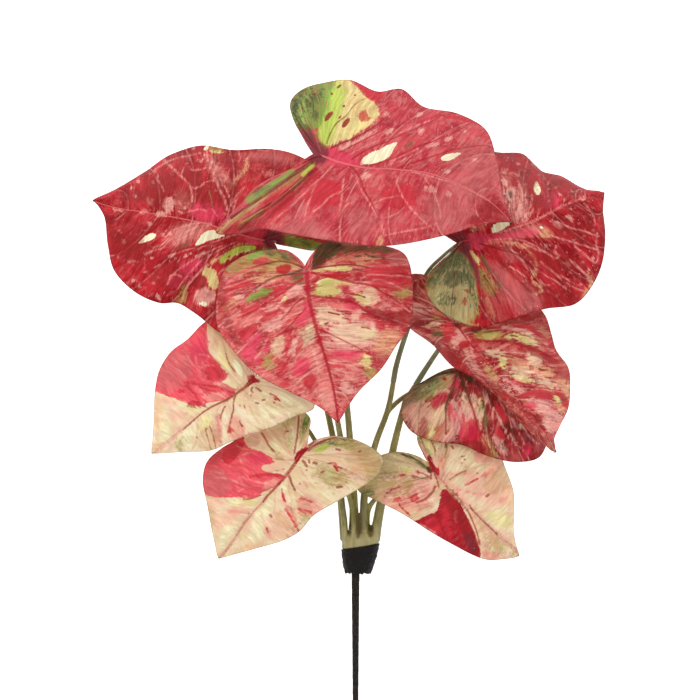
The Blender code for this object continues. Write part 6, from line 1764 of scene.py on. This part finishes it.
def blade_layer(leaf, step, edge_rows):
    """Points, facts, faces and outline of one layer of a blade's middle surface, facing up."""
    cells = {side: half_cells(leaf, side, step) for side in ("left", "right")}
    spots = {}
    for side, corners in cells.items():
        spots[side] = {(int(row), int(column)) for i in (0, 1) for j in (2, 3)
                       for row, column in corners[:, (i, j)]}
        spots[side] |= {(row, LATTICE[1]) for row in edge_rows[side]}
    shared = {spot for side in spots for spot in spots[side] if 0 in spot}
    index, picked = {}, []

    def vertex(side, row, column):
        if row == LATTICE[0]:
            key = "tip"
        elif column == 0:
            key = "joint" if row <= FAN * LATTICE[0] else ("rib", row)
        elif row == 0:
            key = ("notch", column)
        else:
            key = (side, row, column)
        if key not in index:
            index[key] = len(picked)
            picked.append((side, row, column))
        return index[key]

    faces = []
    for side, corners in cells.items():
        by_row, by_column = {}, {}
        for row, column in sorted(spots[side] | shared):
            by_row.setdefault(row, []).append(column)
            by_column.setdefault(column, []).append(row)
        for row, last_row, column, last_column in corners.tolist():
            inner = between(by_column[column], row, last_row)
            outer = between(by_column[last_column], row, last_row)
            near = between(by_row[row], column, last_column)
            far = between(by_row[last_row], column, last_column)
            ring = [vertex(side, r, column) for r in inner] + [vertex(side, last_row, c) for c in far]
            ring += [vertex(side, r, last_column) for r in reversed(outer)]
            ring += [vertex(side, row, c) for c in reversed(near)]
            if side == "right":
                ring.reverse()
            face = tuple(dict.fromkeys(ring))
            if len(face) > 2:
                faces.append(face)
    rows = {side: sorted(row for row, column in spots[side] if column == LATTICE[1]) for side in spots}
    outline = [vertex("left", row, LATTICE[1]) for row in rows["left"]]
    outline += [vertex("right", row, LATTICE[1]) for row in reversed(rows["right"][1:-1])]

    points, facts = np.empty((len(picked), 3)), {}
    for side in cells:
        mine = np.array([k for k, spot in enumerate(picked) if spot[0] == side])
        along = np.array([picked[k][1] for k in mine]) / LATTICE[0]
        out = np.array([picked[k][2] for k in mine]) / LATTICE[1]
        points[mine], width = half_points(leaf, side, along, out)
        for name, values in half_facts(leaf, side, along, out, width).items():
            facts.setdefault(name, np.empty(len(picked)))[mine] = values
    return points, facts, faces, outline


def vertex_normals(vertices, faces):
    triangles = np.array([(f[0], f[k], f[k + 1]) for f in faces for k in range(1, len(f) - 1)])
    a, b, c = (vertices[triangles[:, k]] for k in range(3))
    area = np.cross(b - a, c - a)
    normals = np.zeros_like(vertices)
    for k in range(3):
        np.add.at(normals, triangles[:, k], area)
    normals[:, 2] += 1e-15          # so that a vertex with no area round it points up
    return normals / np.linalg.norm(normals, axis=1)[:, None]


def add_mesh(name, vertices, faces):
    mesh = bpy.data.meshes.new(name)
    mesh.from_pydata(vertices.tolist(), [], faces)
    obj = bpy.data.objects.new(name, mesh)
    bpy.context.scene.collection.objects.link(obj)
    mesh.shade_smooth()
    return obj


def mesh_points(obj):
    points = np.empty(len(obj.data.vertices) * 3)
    obj.data.vertices.foreach_get("co", points)
    return points.reshape(-1, 3)


def add_field(obj, name, values):
    """A value, or a vector, at each vertex, for the material to read."""
    kind = "FLOAT" if values.ndim == 1 else "FLOAT_VECTOR"
    field = obj.data.attributes.new(name, kind, "POINT")
    field.data.foreach_set("value" if values.ndim == 1 else "vector", values.astype(np.float32).ravel())


def add_print(obj, spots, marks):
    """The marks' fields on a mesh whose vertices lie at these spots of the plan. Gives the inks' names."""
    fields = ink_fields(spots, marks)
    for ink, depth in fields.items():
        add_field(obj, ink, depth)
    return fields.keys()


def margin_rows(leaf):
    """The rows at the edge that both layers of the fabric must have, so that they can be sewn together."""
    rows = {}
    for side in ("left", "right"):
        cells = np.vstack([half_cells(leaf, side, step) for step in (TOP_STEP, BACK_STEP)])
        at_edge = cells[cells[:, 3] == LATTICE[1]]
        rows[side] = set(at_edge[:, :2].ravel().tolist())
    return rows


def make_leaf(name, leaf, number):
    """A printed blade: a fine upper face and a coarser back, sewn together round the edge."""
    rows = margin_rows(leaf)
    layers = []
    for step, side, floor in ((TOP_STEP, 1, TOP_FLOOR), (BACK_STEP, -1, 0)):
        middle, facts, faces, outline = blade_layer(leaf, step, rows)
        spots = plan_pixels(middle)
        middle = middle + vertex_normals(middle, faces) * facts["relief"][:, None]
        middle[:, 2] = np.maximum(middle[:, 2], FABRIC_THICKNESS / 2)
        skin_points = middle + vertex_normals(middle, faces) * side * FABRIC_THICKNESS / 2
        skin_points[:, 2] = np.maximum(skin_points[:, 2], floor)
        layers.append((skin_points, facts, faces, outline, spots))
    top, top_facts, faces, outline, top_spots = layers[0]
    back, back_facts, back_faces, back_outline, back_spots = layers[1]
    count = len(top)
    both = list(faces) + [tuple(v + count for v in reversed(face)) for face in back_faces]
    rim = [v + count for v in back_outline]
    for k in range(len(outline)):
        after = (k + 1) % len(outline)
        both.append((outline[after], rim[after], rim[k], outline[k]))
    obj = add_mesh(f"leaf_{name}_print", np.vstack([top, back]), both)

    facts = {key: np.concatenate([top_facts[key], back_facts[key]]) for key in top_facts}
    flow = np.stack([facts["flow_u"], facts["flow_v"], facts["flow_w"] + LEAF_OFFSET * number], axis=1)
    add_field(obj, "flow", flow)
    for field in ("vein", "rib", "edge", "along"):
        add_field(obj, field, facts[field])
    add_field(obj, "back", np.concatenate([np.zeros(count), np.ones(len(back))]))
    inks = add_print(obj, np.vstack([top_spots, back_spots]), PRINTS[name])
    obj.data.materials.append(leaf_material(name, GROUNDS[name], [ink for ink in INKS if ink in inks]))
    return obj


# The stems, stalks, collar and pick

def stem_line(stem, leaf):
    points = [place(p) for p in stem.path + leaf.rib[:1]]
    count = RING_DETAIL * max(LEAST_RINGS, round(path_length(points) / STALK_RING_STEP))
    return smooth_path(points, np.linspace(0, 1, count + 1))


def directions(line):
    steps = np.gradient(line, axis=0)
    return steps / np.linalg.norm(steps, axis=1)[:, None]


def ring_axes(direction):
    across = np.cross(direction, (0, 0, 1))
    across /= np.linalg.norm(across)
    return across, np.cross(direction, across)


def round_ring(centre, direction, radius, sides):
    across, up = ring_axes(direction)
    turn = 2 * math.pi * np.arange(sides) / sides
    return centre + radius * (np.cos(turn)[:, None] * across + np.sin(turn)[:, None] * up)


def oval_ring(row, column, height, half, slant=0.0, sides=OVAL_SIDES):
    """A ring round the part's length. With a slant, it leans towards the top of the photo on one side."""
    centre = place((column, row, height))
    turn = 2 * math.pi * np.arange(sides) / sides - math.pi / 2
    x = half[0] * np.cos(turn)
    z = half[1] * np.sin(turn)
    return centre + np.stack([x, -slant * x, z], axis=1)


def skin(rings):
    """The vertices and faces of a closed tube through the rings."""
    sides = len(rings[0])
    faces = [tuple(reversed(range(sides)))]
    for k in range(len(rings) - 1):
        near, far = k * sides, (k + 1) * sides
        for side in range(sides):
            after = (side + 1) % sides
            faces.append((near + side, near + after, far + after, far + side))
    last = (len(rings) - 1) * sides
    faces.append(tuple(range(last, last + sides)))
    return np.vstack(rings), faces


def scaled(half, share):
    return half[0] * share, half[1] * share


def block_ring(row, share, slant):
    return oval_ring(row, BLOCK_COLUMN, BLOCK_HEIGHT, scaled(BLOCK_HALF, share), slant)


def stem_tube(stem, leaf):
    """One stem from the block to its mouth, and the spur that its stalk is plugged on."""
    line = stem_line(stem, leaf)
    turn = directions(line)
    mouth = round(stem.mouth * (len(line) - 1))
    rings = []
    for k in range(mouth + 1):
        radius = stem.root_radius + (stem.mouth_radius - stem.root_radius) * k / mouth
        rings.append(round_ring(line[k], turn[k], radius * ROUND, STEM_SIDES))
    way = turn[mouth]
    for reach in (0, SLEEVE_DEPTH - GAP):
        rings.append(round_ring(line[mouth] + way * reach, way, SPUR_RADIUS * ROUND, STEM_SIDES))
    return skin(rings)


def make_stems():
    """All the stems and their block, melted into one moulding and painted."""
    rings = [block_ring(BLOCK_TOP_ROW + below, share, RIM_SLANT * lean) for below, share, lean in BLOCK_CROWN]
    rings += [block_ring(SHOULDER_ROW, 1.0, RIM_SLANT), block_ring(SHOULDER_ROW, SPIGOT_SHARE, RIM_SLANT),
              block_ring(SHOULDER_ROW + SPIGOT_DEPTH / PIXEL, SPIGOT_SHARE, 0.0)]
    vertices, faces, count = [], [], 0
    for points, sides in [skin(rings)] + [stem_tube(stem, LEAVES[name]) for name, stem in STEMS.items()]:
        vertices.append(points)
        faces += [tuple(v + count for v in face) for face in sides]
        count += len(points)
    stems = melted(add_mesh("stems_moulding", np.vstack(vertices), faces))
    add_print(stems, plan_pixels(mesh_points(stems)), STEM_PRINT)
    stems.data.materials.append(plastic_material("stem_plastic", *STEM_COLOURS, STEM_INKS))
    return stems


def melted(obj):
    """The object as one even skin, with a little smoothing and no materials."""
    modifier = obj.modifiers.new("skin", "REMESH")
    modifier.mode = "VOXEL"
    modifier.voxel_size = MELT_VOXEL
    smooth = obj.modifiers.new("smooth", "SMOOTH")
    smooth.iterations = MELT_ROUNDS
    smooth.factor = 0.5
    graph = bpy.context.evaluated_depsgraph_get()
    mesh = bpy.data.meshes.new_from_object(obj.evaluated_get(graph))
    obj.modifiers.clear()
    obj.data = mesh
    mesh.shade_smooth()
    mesh.materials.clear()
    return obj


def make_stalk(name, stem, leaf, node):
    """The sleeve over the spur and the rod up to the blade's back, as far as the solid reaches."""
    line = stem_line(stem, leaf)
    turn = directions(line)
    mouth = round(stem.mouth * (len(line) - 1))
    start, way = line[mouth], turn[mouth]
    bevel, bevel_share = SLEEVE_BEVEL
    bore, radius = SPUR_RADIUS + GAP, stem.mouth_radius
    sleeve = [(SLEEVE_DEPTH, bore), (GAP, bore), (GAP, radius * bevel_share), (GAP + bevel, radius),
              (SLEEVE_DEPTH + SLEEVE_TAIL, radius)]
    rings = [round_ring(start + way * reach, way, radius, STALK_SIDES) for reach, radius in sleeve]
    first = next(k for k in range(mouth, len(line))
                 if path_length(line[mouth:k + 1]) > SLEEVE_DEPTH + ROD_START)
    last = next(k for k in range(len(line) - 1, 0, -1) if path_length(line[k:]) > ROD_END)
    for k in range(first, last + 1):
        share = (k - first) / (last - first)
        radius = stem.mouth_radius + (STALK_TIP_RADIUS - stem.mouth_radius) * share
        rings.append(round_ring(line[k], turn[k], radius * ROUND, STALK_SIDES))
    # The foot: its direction is much shorter than 1, which flattens the last ring to an edge.
    end = line[-1] - line[last]
    onward = end / np.linalg.norm(end)
    reach = ((mesh_points(node) - line[last]) @ onward).max()
    rings.append(round_ring(line[last] + onward * (reach - FOOT_INSET), end, STALK_TIP_RADIUS * ROUND,
                            STALK_SIDES))
    return add_mesh(f"stalk_{name}_rod", *skin(rings))


def lumps(points, size, seed):
    """Smooth noise in -1..1 at each point."""
    offset = Vector((seed * 13.7, seed * 5.3, seed * 9.1))
    return np.array([noise.noise(Vector(p) / size + offset) for p in points])


def layered_lumps(points, layers, first_seed):
    """Lumps of some sizes over each other. A layer is its size and its height."""
    return sum(lumps(points, size, seed) * height for seed, (size, height) in enumerate(layers, first_seed))


def make_collar():
    """The lump of dark glue and tape, with a rough skin and a ragged lower edge."""
    bore = tuple(half + GAP for half in scaled(BLOCK_HALF, SPIGOT_SHARE))
    rim_row = SHOULDER_ROW + GAP / PIXEL
    bore_end_row = SHOULDER_ROW + (SPIGOT_DEPTH + GAP) / PIXEL
    pick_bore = (PICK_RADII[0] + GAP, PICK_RADII[0] + GAP)
    rings = [oval_ring(bore_end_row, BLOCK_COLUMN, BLOCK_HEIGHT, bore),
             oval_ring(rim_row, BLOCK_COLUMN, BLOCK_HEIGHT, bore, RIM_SLANT)]
    for k in range(COLLAR_ROWS + 1):
        share = k / COLLAR_ROWS
        row = rim_row + (COLLAR_END_ROW - rim_row) * share
        half = tuple(a + (b - a) * share ** COLLAR_NARROWING for a, b in zip(COLLAR_HALF, COLLAR_END_HALF))
        column = BLOCK_COLUMN + (COLLAR_END_COLUMN - BLOCK_COLUMN) * share
        ring = oval_ring(row, column, BLOCK_HEIGHT, half, RIM_SLANT * (1 - share))
        outward = ring - ring.mean(axis=0)
        outward /= np.linalg.norm(outward, axis=1)[:, None]
        roughness = min(1, 4 * share + 0.25)        # the upper rim is smoother
        bump = np.minimum(layered_lumps(ring, LUMPS, 1) * MM, LUMP_LIMIT) * roughness
        ragged = layered_lumps(ring * (1, 0, 1), RAGS, 3) * MM
        ring = ring + outward * bump[:, None]
        ring[:, 1] += ragged * np.clip((share - RAG_START) / (1 - RAG_START), 0, 1) ** 2
        rings.append(ring)
    for row, half in ((COLLAR_END_ROW - 1, scaled(COLLAR_END_HALF, COLLAR_LIP_SHARE)),
                      (COLLAR_END_ROW, pick_bore), (COLLAR_END_ROW - PICK_DEPTH / PIXEL, pick_bore)):
        rings.append(oval_ring(row, PICK_COLUMN, BLOCK_HEIGHT, half))
    collar = add_mesh("collar_wrap", *skin(rings))
    collar.data.materials.append(collar_material())
    return collar


def make_pick():
    """The wire wound with tape, each turn lapping over the last."""
    top_row = COLLAR_END_ROW - (PICK_DEPTH - GAP) / PIXEL
    end_height = PICK_RADII[1] / MM
    rows = np.concatenate([[top_row, COLLAR_END_ROW - 1],
                           np.arange(COLLAR_END_ROW, PICK_END_ROW - 1, PICK_ROW_STEP),
                           [PICK_END_ROW - before for before in PICK_TIP_ROWS]])
    height_of_lumps, size_of_lumps = TAPE_ROUGHNESS
    rings = []
    for number, row in enumerate(rows):
        share = np.interp(row, (COLLAR_END_ROW, PICK_TAPER_ROW, PICK_TAPER_END_ROW), (0, 0.5, 1))
        radius = PICK_RADII[0] + (PICK_RADII[1] - PICK_RADII[0]) * share
        fall = max(0.0, (row - COLLAR_END_ROW) / (PICK_END_ROW - COLLAR_END_ROW))
        height = BLOCK_HEIGHT + (end_height - BLOCK_HEIGHT) * fall
        ring = oval_ring(row, PICK_COLUMN, height, (1, 1), sides=PICK_SIDES)
        centre = place((PICK_COLUMN, row, height))
        lap = (row / LAP_ROWS + np.arange(PICK_SIDES) / PICK_SIDES) % 1
        size = radius * (LAP_SIZES[0] + LAP_SIZES[1] * lap)
        size = size - height_of_lumps * (lumps(ring, size_of_lumps, 5) + 1) / 2
        if number >= len(rows) - 2:
            size = size * PICK_TIP_SHARE
        rings.append(centre + (ring - centre) * size[:, None])
    pick = add_mesh("pick_wire", *skin(rings))
    pick.data.materials.append(tape_material())
    return pick


# The materials

def linear(colour):
    """The photograph's red, green and blue, 0 to 255, as the linear colour that a shader takes."""
    share = np.array(colour) / 255
    return (*np.where(share <= 0.04045, share / 12.92, ((share + 0.055) / 1.055) ** 2.4), 1.0)


def shaded(colour, share, lift=0):
    """The same for a colour that is first made darker or lighter by a share, and then lifted."""
    return linear(np.minimum(255, np.array(colour) * share + lift))


class Shades:
    """Builds one material's nodes. Each call returns a socket; a plain number or colour may stand for one."""

    def __init__(self, name):
        self.material = bpy.data.materials.new(name)
        self.material.use_nodes = True
        self.tree = self.material.node_tree
        self.shader = self.tree.nodes["Principled BSDF"]
        self.spot = self.stretch(self.tree.nodes.new("ShaderNodeTexCoord").outputs["Object"], (1 / MM,) * 3)

    def put(self, value, socket):
        if isinstance(value, bpy.types.NodeSocket):
            self.tree.links.new(value, socket)
        else:
            socket.default_value = value

    def field(self, name, output="Fac"):
        node = self.tree.nodes.new("ShaderNodeAttribute")
        node.attribute_name = name
        return node.outputs[output]

    def math(self, operation, a, b):
        node = self.tree.nodes.new("ShaderNodeMath")
        node.operation = operation
        self.put(a, node.inputs[0])
        self.put(b, node.inputs[1])
        return node.outputs[0]

    def times(self, a, b):
        return self.math("MULTIPLY", a, b)

    def plus(self, value, other, share):
        """A value and a share of another one."""
        return self.math("ADD", value, self.times(other, share))

    def vector_math(self, operation, vector, other):
        node = self.tree.nodes.new("ShaderNodeVectorMath")
        node.operation = operation
        self.put(vector, node.inputs[0])
        self.put(other, node.inputs[1])
        return node.outputs[0]

    def stretch(self, vector, scale):
        return self.vector_math("MULTIPLY", vector, scale)

    def shift(self, vector, other):
        return self.vector_math("ADD", vector, other)

    def noise(self, vector, scale, detail=2.0, roughness=0.5, output="Fac"):
        node = self.tree.nodes.new("ShaderNodeTexNoise")
        self.put(vector, node.inputs["Vector"])
        node.inputs["Scale"].default_value = scale
        node.inputs["Detail"].default_value = detail
        node.inputs["Roughness"].default_value = roughness
        return node.outputs[output]

    def waves(self, vector, scale, detail=2.0, roughness=0.5):
        """Noise with a scale of its own for each axis."""
        return self.noise(self.stretch(vector, scale), 1.0, detail, roughness)

    def net(self, vector):
        """How far a spot is from the border of its cell, in a net of irregular cells."""
        node = self.tree.nodes.new("ShaderNodeTexVoronoi")
        node.feature = "DISTANCE_TO_EDGE"
        self.put(vector, node.inputs["Vector"])
        node.inputs["Scale"].default_value = 1.0
        return node.outputs["Distance"]

    def step(self, value, low, high, start=0.0, end=1.0):
        """A smooth step from the start to the end, while the value goes from low to high.

        Most values are noise, which mainly lies between 0.3 and 0.7.
        """
        node = self.tree.nodes.new("ShaderNodeMapRange")
        node.interpolation_type = "SMOOTHSTEP"
        self.put(value, node.inputs["Value"])
        self.put(low, node.inputs["From Min"])
        self.put(high, node.inputs["From Max"])
        self.put(start, node.inputs["To Min"])
        self.put(end, node.inputs["To Max"])
        return node.outputs["Result"]

    def mix(self, share, a, b, blend="MIX"):
        node = self.tree.nodes.new("ShaderNodeMix")
        node.data_type = "RGBA"
        node.blend_type = blend
        self.put(share, node.inputs["Factor"])
        self.put(a, node.inputs["A"])
        self.put(b, node.inputs["B"])
        return node.outputs["Result"]

    def bump(self, height, distance, strength):
        node = self.tree.nodes.new("ShaderNodeBump")
        node.inputs["Strength"].default_value = strength
        node.inputs["Distance"].default_value = distance
        self.put(height, node.inputs["Height"])
        self.tree.links.new(node.outputs["Normal"], self.shader.inputs["Normal"])

    def finish(self, colour, roughness, specular):
        self.put(colour, self.shader.inputs["Base Color"])
        self.put(roughness, self.shader.inputs["Roughness"])
        self.shader.inputs["Specular IOR Level"].default_value = specular
        return self.material


class Cloth(Shades):
    """One leaf's printed cloth, with the noises that its ground, veins and inks share.

    The flow is how far a spot is from the rib and how far along the leaf's margin, in millimetres. Noise with
    long waves away from the rib gives streaks that follow the side veins.
    """

    def __init__(self, name, ground):
        super().__init__(f"fabric_{name}")
        self.ground = ground
        drift = self.shift(self.noise(self.spot, 0.045, 0.0, output="Color"), (-0.5, -0.5, -0.5))
        self.flow = self.shift(self.field("flow", "Vector"), self.stretch(drift, (12.0, 10.0, 0.0)))
        self.broad = self.waves(self.flow, (0.030, 0.055, 1.0))
        self.streak = self.waves(self.flow, (0.035, 0.22, 1.0))
        self.line = self.waves(self.flow, (0.045, 0.8, 1.0), detail=1.0)
        self.stain = self.waves(self.flow, (0.14, 0.36, 1.0))
        self.blotch = self.noise(self.spot, 0.13)
        grain = self.noise(self.spot, 0.45, detail=3.0, roughness=0.6)
        scuffs = self.noise(self.spot, 0.3, detail=3.0, roughness=0.65)
        self.worn = self.plus(self.times(scuffs, 0.4), self.waves(self.flow, (0.09, 0.42, 1.0)), 0.6)
        streaky = self.plus(self.times(self.stain, 0.35), self.line, 0.3)
        ragged = self.math("ADD", self.times(grain, 0.35), streaky)
        self.ragged = self.times(self.math("SUBTRACT", ragged, 0.5), 9.0)

    def cloth(self):
        """Two colours in broad areas, a duller painted sheen, soft bands, fine streaks and small stains."""
        ground = self.ground
        darker = shaded(ground.second, ground.depth)
        colour = self.mix(self.step(self.broad, 0.38, 0.6), linear(ground.main), linear(ground.second))
        # painted sheen: the duller colour in broad blotches
        colour = self.mix(self.step(self.blotch, 0.48, 0.68, 0.0, ground.bloom), colour, linear(ground.dull))
        colour = self.mix(self.step(self.streak, 0.3, 0.48, ground.bands, 0.0), colour, darker)
        colour = self.mix(self.step(self.streak, 0.52, 0.7, 0.0, ground.cover), colour, linear(ground.streak))
        colour = self.mix(self.step(self.stain, 0.34, 0.5, 0.35, 0.0), colour, darker)
        where = self.step(self.stain, 0.46, 0.66, 0.05, ground.lines)
        colour = self.mix(self.times(self.step(self.line, 0.54, 0.72), where), colour, linear(ground.web))
        return self.mix(self.step(self.line, 0.34, 0.48, 0.3, 0.0), colour, darker)

    def side_veins(self, colour):
        """The colour with pale veins between folds of painted shade, a soft net in places, and pale specks.
        """
        ground = self.ground
        vein = self.plus(self.field("vein"), self.ragged, 0.12)
        # painted shade in the folds beside the side veins, in broad places
        where = self.step(self.broad, 0.3, 0.6, 0.3, 1.0)
        fold_shade_mask = self.times(self.step(vein, 0.8, 5.0, ground.fold_shade, 0.0), where)
        colour = self.mix(fold_shade_mask, colour, shaded(ground.second, ground.fold_shade_depth))
        where = self.step(self.blotch, 0.36, 0.6, 0.25, 1.0)
        colour = self.mix(self.times(self.step(vein, 0.2, 1.1, 0.7, 0.0), where), colour, linear(ground.web))
        warp = self.stretch(self.noise(self.spot, 0.2, output="Color"), (1.1, 1.1, 0.0))
        net = self.net(self.shift(self.stretch(self.flow, (0.075, 0.11, 1.0)), warp))
        lines = self.times(self.step(net, 0.0, 0.16, 1.0, 0.0), self.step(self.worn, 0.44, 0.6))
        colour = self.mix(self.times(lines, ground.web_cover), colour, linear(ground.web))
        specks = self.step(self.waves(self.flow, (0.3, 0.7, 1.0), detail=1.0), 0.68, 0.76)
        specks = self.times(specks, self.step(self.broad, 0.4, 0.55))
        return self.mix(self.times(specks, ground.fleck_cover), colour, linear(ground.fleck))

    def printed(self, colour, ink):
        """The colour with one ink of the print over it, which is streaky itself."""
        rgb, cover, soft, rough, patchy = INKS[ink]
        mask = self.step(self.plus(self.field(ink), self.ragged, rough), -soft, soft, 0.0, cover)
        if patchy:
            mask = self.times(mask, self.step(self.worn, 0.4, 0.56, 1.0 - patchy, 1.0))
        tint = self.mix(self.step(self.streak, 0.4, 0.62), linear(rgb), shaded(rgb, 1.1, 4))
        tint = self.mix(self.step(self.line, 0.4, 0.56, 0.35, 0.0), tint, shaded(rgb, 0.88))
        if ink in WORN_INKS:
            tint = self.mix(self.step(self.worn, 0.48, 0.66, 0.0, 0.5), tint, shaded(rgb, 1, WORN_LIFT))
        return self.mix(mask, colour, tint)

    def with_rib(self, colour):
        """The colour with the rib's line over it, which narrows from the joint to the tip."""
        width = self.ground.rib_width
        rib_half = self.step(self.field("along"), FAN, 1.0, width / 2, width / 5)
        rib = self.math("DIVIDE", self.plus(self.field("rib"), self.ragged, 0.2), rib_half)
        return self.mix(self.step(rib, 0.5, 1.3, 0.85, 0.0), colour, linear(self.ground.rib))

    def woven(self, colour):
        """The whole material: the colour with the weave's shade and relief, a dark edge and a pale back."""
        weave = self.noise(self.spot, 1.6, roughness=0.7)
        shade = self.mix(1.0, colour, (0.5, 0.45, 0.45, 1.0), "MULTIPLY")
        colour = self.mix(self.step(weave, 0.3, 0.7, 0.0, 0.12), colour, shade)
        shade = self.mix(1.0, colour, (0.5, 0.42, 0.42, 1.0), "MULTIPLY")
        colour = self.mix(self.step(self.field("edge"), 0.2, 1.3, 0.62, 0.0), colour, shade)
        back = self.mix(UNDERSIDE_COVER, colour, linear(UNDERSIDE))
        colour = self.mix(self.field("back"), colour, back)
        self.bump(self.plus(weave, self.stain, 0.8), 0.12 * MM, strength=0.4)
        return self.finish(colour, self.step(self.streak, 0.3, 0.7, 0.5, 0.62), specular=0.1)


def leaf_material(name, ground, inks):
    s = Cloth(name, ground)
    colour = s.side_veins(s.cloth())
    for ink in inks:
        colour = s.printed(colour, ink)
    return s.woven(s.with_rib(colour))


def plastic_material(name, light, dark, inks=()):
    """Moulded plastic with long faint streaks, darker blotches and pits, painted inks, among them painted
    shade in the hollows between the stems, and a satin finish.
    """
    s = Shades(name)
    streak = s.waves(s.spot, (0.5, 0.06, 0.5), detail=3.0, roughness=0.6)
    blotch = s.noise(s.spot, 0.06, detail=3.0, roughness=0.6)
    pits = s.noise(s.spot, 1.8, roughness=0.6)
    colour = s.mix(s.step(streak, 0.35, 0.65), linear(dark), linear(light))
    colour = s.mix(s.step(blotch, 0.45, 0.62, 0.0, 0.5), colour, shaded(dark, 0.9))
    colour = s.mix(s.step(pits, 0.62, 0.75, 0.0, 0.3), colour, shaded(dark, 0.7))
    for ink in inks:
        rgb, cover, soft = STEM_INKS[ink]
        mask = s.step(s.plus(s.field(ink), streak, 0.8), -soft, soft, 0.0, cover)
        colour = s.mix(mask, colour, s.mix(s.step(streak, 0.35, 0.65), shaded(rgb, 0.88), linear(rgb)))
    s.bump(s.plus(streak, pits, 0.4), 0.15 * MM, strength=0.5)
    return s.finish(colour, s.step(pits, 0.3, 0.7, 0.42, 0.6), specular=0.4)


def collar_material():
    """Dark clotted glue with a little dust on it."""
    s = Shades("collar_glue")
    light, dark, dusty = (linear(colour) for colour in GLUE_COLOURS)
    clots = s.noise(s.spot, 0.5, detail=4.0, roughness=0.7)
    dust = s.noise(s.spot, 1.6, roughness=0.6)
    colour = s.mix(s.step(clots, 0.4, 0.7), dark, light)
    colour = s.mix(s.step(dust, 0.66, 0.74, 0.0, 0.4), colour, dusty)
    s.bump(s.plus(clots, dust, 0.4), 0.5 * MM, strength=0.8)
    return s.finish(colour, s.step(clots, 0.3, 0.7, 0.5, 0.85), specular=0.2)


def tape_material():
    """Dark crepe tape with fibres along the wire and paler flecks."""
    s = Shades("pick_tape")
    light, dark, pale = (linear(colour) for colour in TAPE_COLOURS)
    fibre = s.waves(s.spot, (0.9, 0.35, 0.9), detail=4.0, roughness=0.65)
    fleck = s.noise(s.spot, 1.4, roughness=0.6)
    colour = s.mix(s.step(fibre, 0.38, 0.62), dark, light)
    colour = s.mix(s.step(fleck, 0.62, 0.72, 0.0, 0.4), colour, pale)
    s.bump(s.plus(fibre, fleck, 0.5), 0.25 * MM, strength=0.8)
    return s.finish(colour, 0.85, specular=0.15)


# The room: floor, light and camera

def make_floor():
    """A wide pale plane just under the bush."""
    mesh = bpy.data.meshes.new("floor")
    corners = [(FLOOR_REACH * x, FLOOR_REACH * y, -FLOOR_SINK)
               for x, y in ((-1, -1), (1, -1), (1, 1), (-1, 1))]
    mesh.from_pydata(corners, [], [(0, 1, 2, 3)])
    floor = bpy.data.objects.new("floor", mesh)
    bpy.context.scene.collection.objects.link(floor)
    material = bpy.data.materials.new("floor")
    material.use_nodes = True
    shader = material.node_tree.nodes["Principled BSDF"]
    shader.inputs["Base Color"].default_value = (FLOOR_GREY, FLOOR_GREY, FLOOR_GREY, 1)
    shader.inputs["Roughness"].default_value = 1.0
    shader.inputs["Specular IOR Level"].default_value = 0.0
    shader.inputs["Emission Color"].default_value = (1, 1, 1, 1)
    shader.inputs["Emission Strength"].default_value = FLOOR_GLOW
    mesh.materials.append(material)


def make_lights():
    """A white sky, a large soft key light from the upper left and a weaker one from the lower right."""
    world = bpy.data.worlds.new("studio")
    world.use_nodes = True
    backdrop = world.node_tree.nodes["Background"]
    backdrop.inputs["Color"].default_value = (1.0, 1.0, 1.0, 1)
    backdrop.inputs["Strength"].default_value = SKY_STRENGTH
    bpy.context.scene.world = world
    lamps = (("key", (-0.9, 1.0, 2.6), 1.6, 33.0), ("fill", (1.4, -0.8, 2.4), 2.0, 11.0))
    for name, spot, size, power in lamps:
        light = bpy.data.lights.new(name, "AREA")
        light.size = size
        light.energy = power
        lamp = bpy.data.objects.new(name, light)
        lamp.location = spot
        lamp.rotation_euler = (-Vector(spot)).to_track_quat("-Z", "Y").to_euler()
        lamp.visible_camera = False
        bpy.context.scene.collection.objects.link(lamp)


def make_camera():
    """The photo's eye, straight over the plan: one of its pixels is one PIXEL wide at the surface."""
    data = bpy.data.cameras.new("eye")
    data.sensor_width = SENSOR_WIDTH
    data.lens = SENSOR_WIDTH * EYE_HEIGHT / (PHOTO_PIXELS * PIXEL)
    camera = bpy.data.objects.new("eye", data)
    camera.location = ((EYE_PIXEL[0] - ORIGIN_PIXEL[0]) * PIXEL, (ORIGIN_PIXEL[1] - EYE_PIXEL[1]) * PIXEL,
                       EYE_HEIGHT)
    bpy.context.scene.collection.objects.link(camera)
    bpy.context.scene.camera = camera


def dress(obj, slot, *nodes):
    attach(obj, "root")
    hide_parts(*nodes)


make_camera()
make_floor()
make_lights()
scene = bpy.context.scene
scene.view_settings.view_transform = "Standard"
scene.view_settings.look = "None"

for number, (name, leaf) in enumerate(LEAVES.items()):
    dress(make_leaf(name, leaf, number), f"{leaf.size}_leaf_fabric", f"leaf_{name}")

stalk_plastic = plastic_material("stalk_plastic", *STALK_COLOURS)
for name, stem in STEMS.items():
    stalk = make_stalk(name, stem, LEAVES[name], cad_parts[f"stalk_{name}"])
    stalk.data.materials.append(stalk_plastic)
    dress(stalk, "stalk_plastic", f"stalk_{name}")

dress(make_stems(), "stem_plastic", "stems")
dress(make_collar(), "collar_glue", "collar")
dress(make_pick(), "pick_tape", "pick")
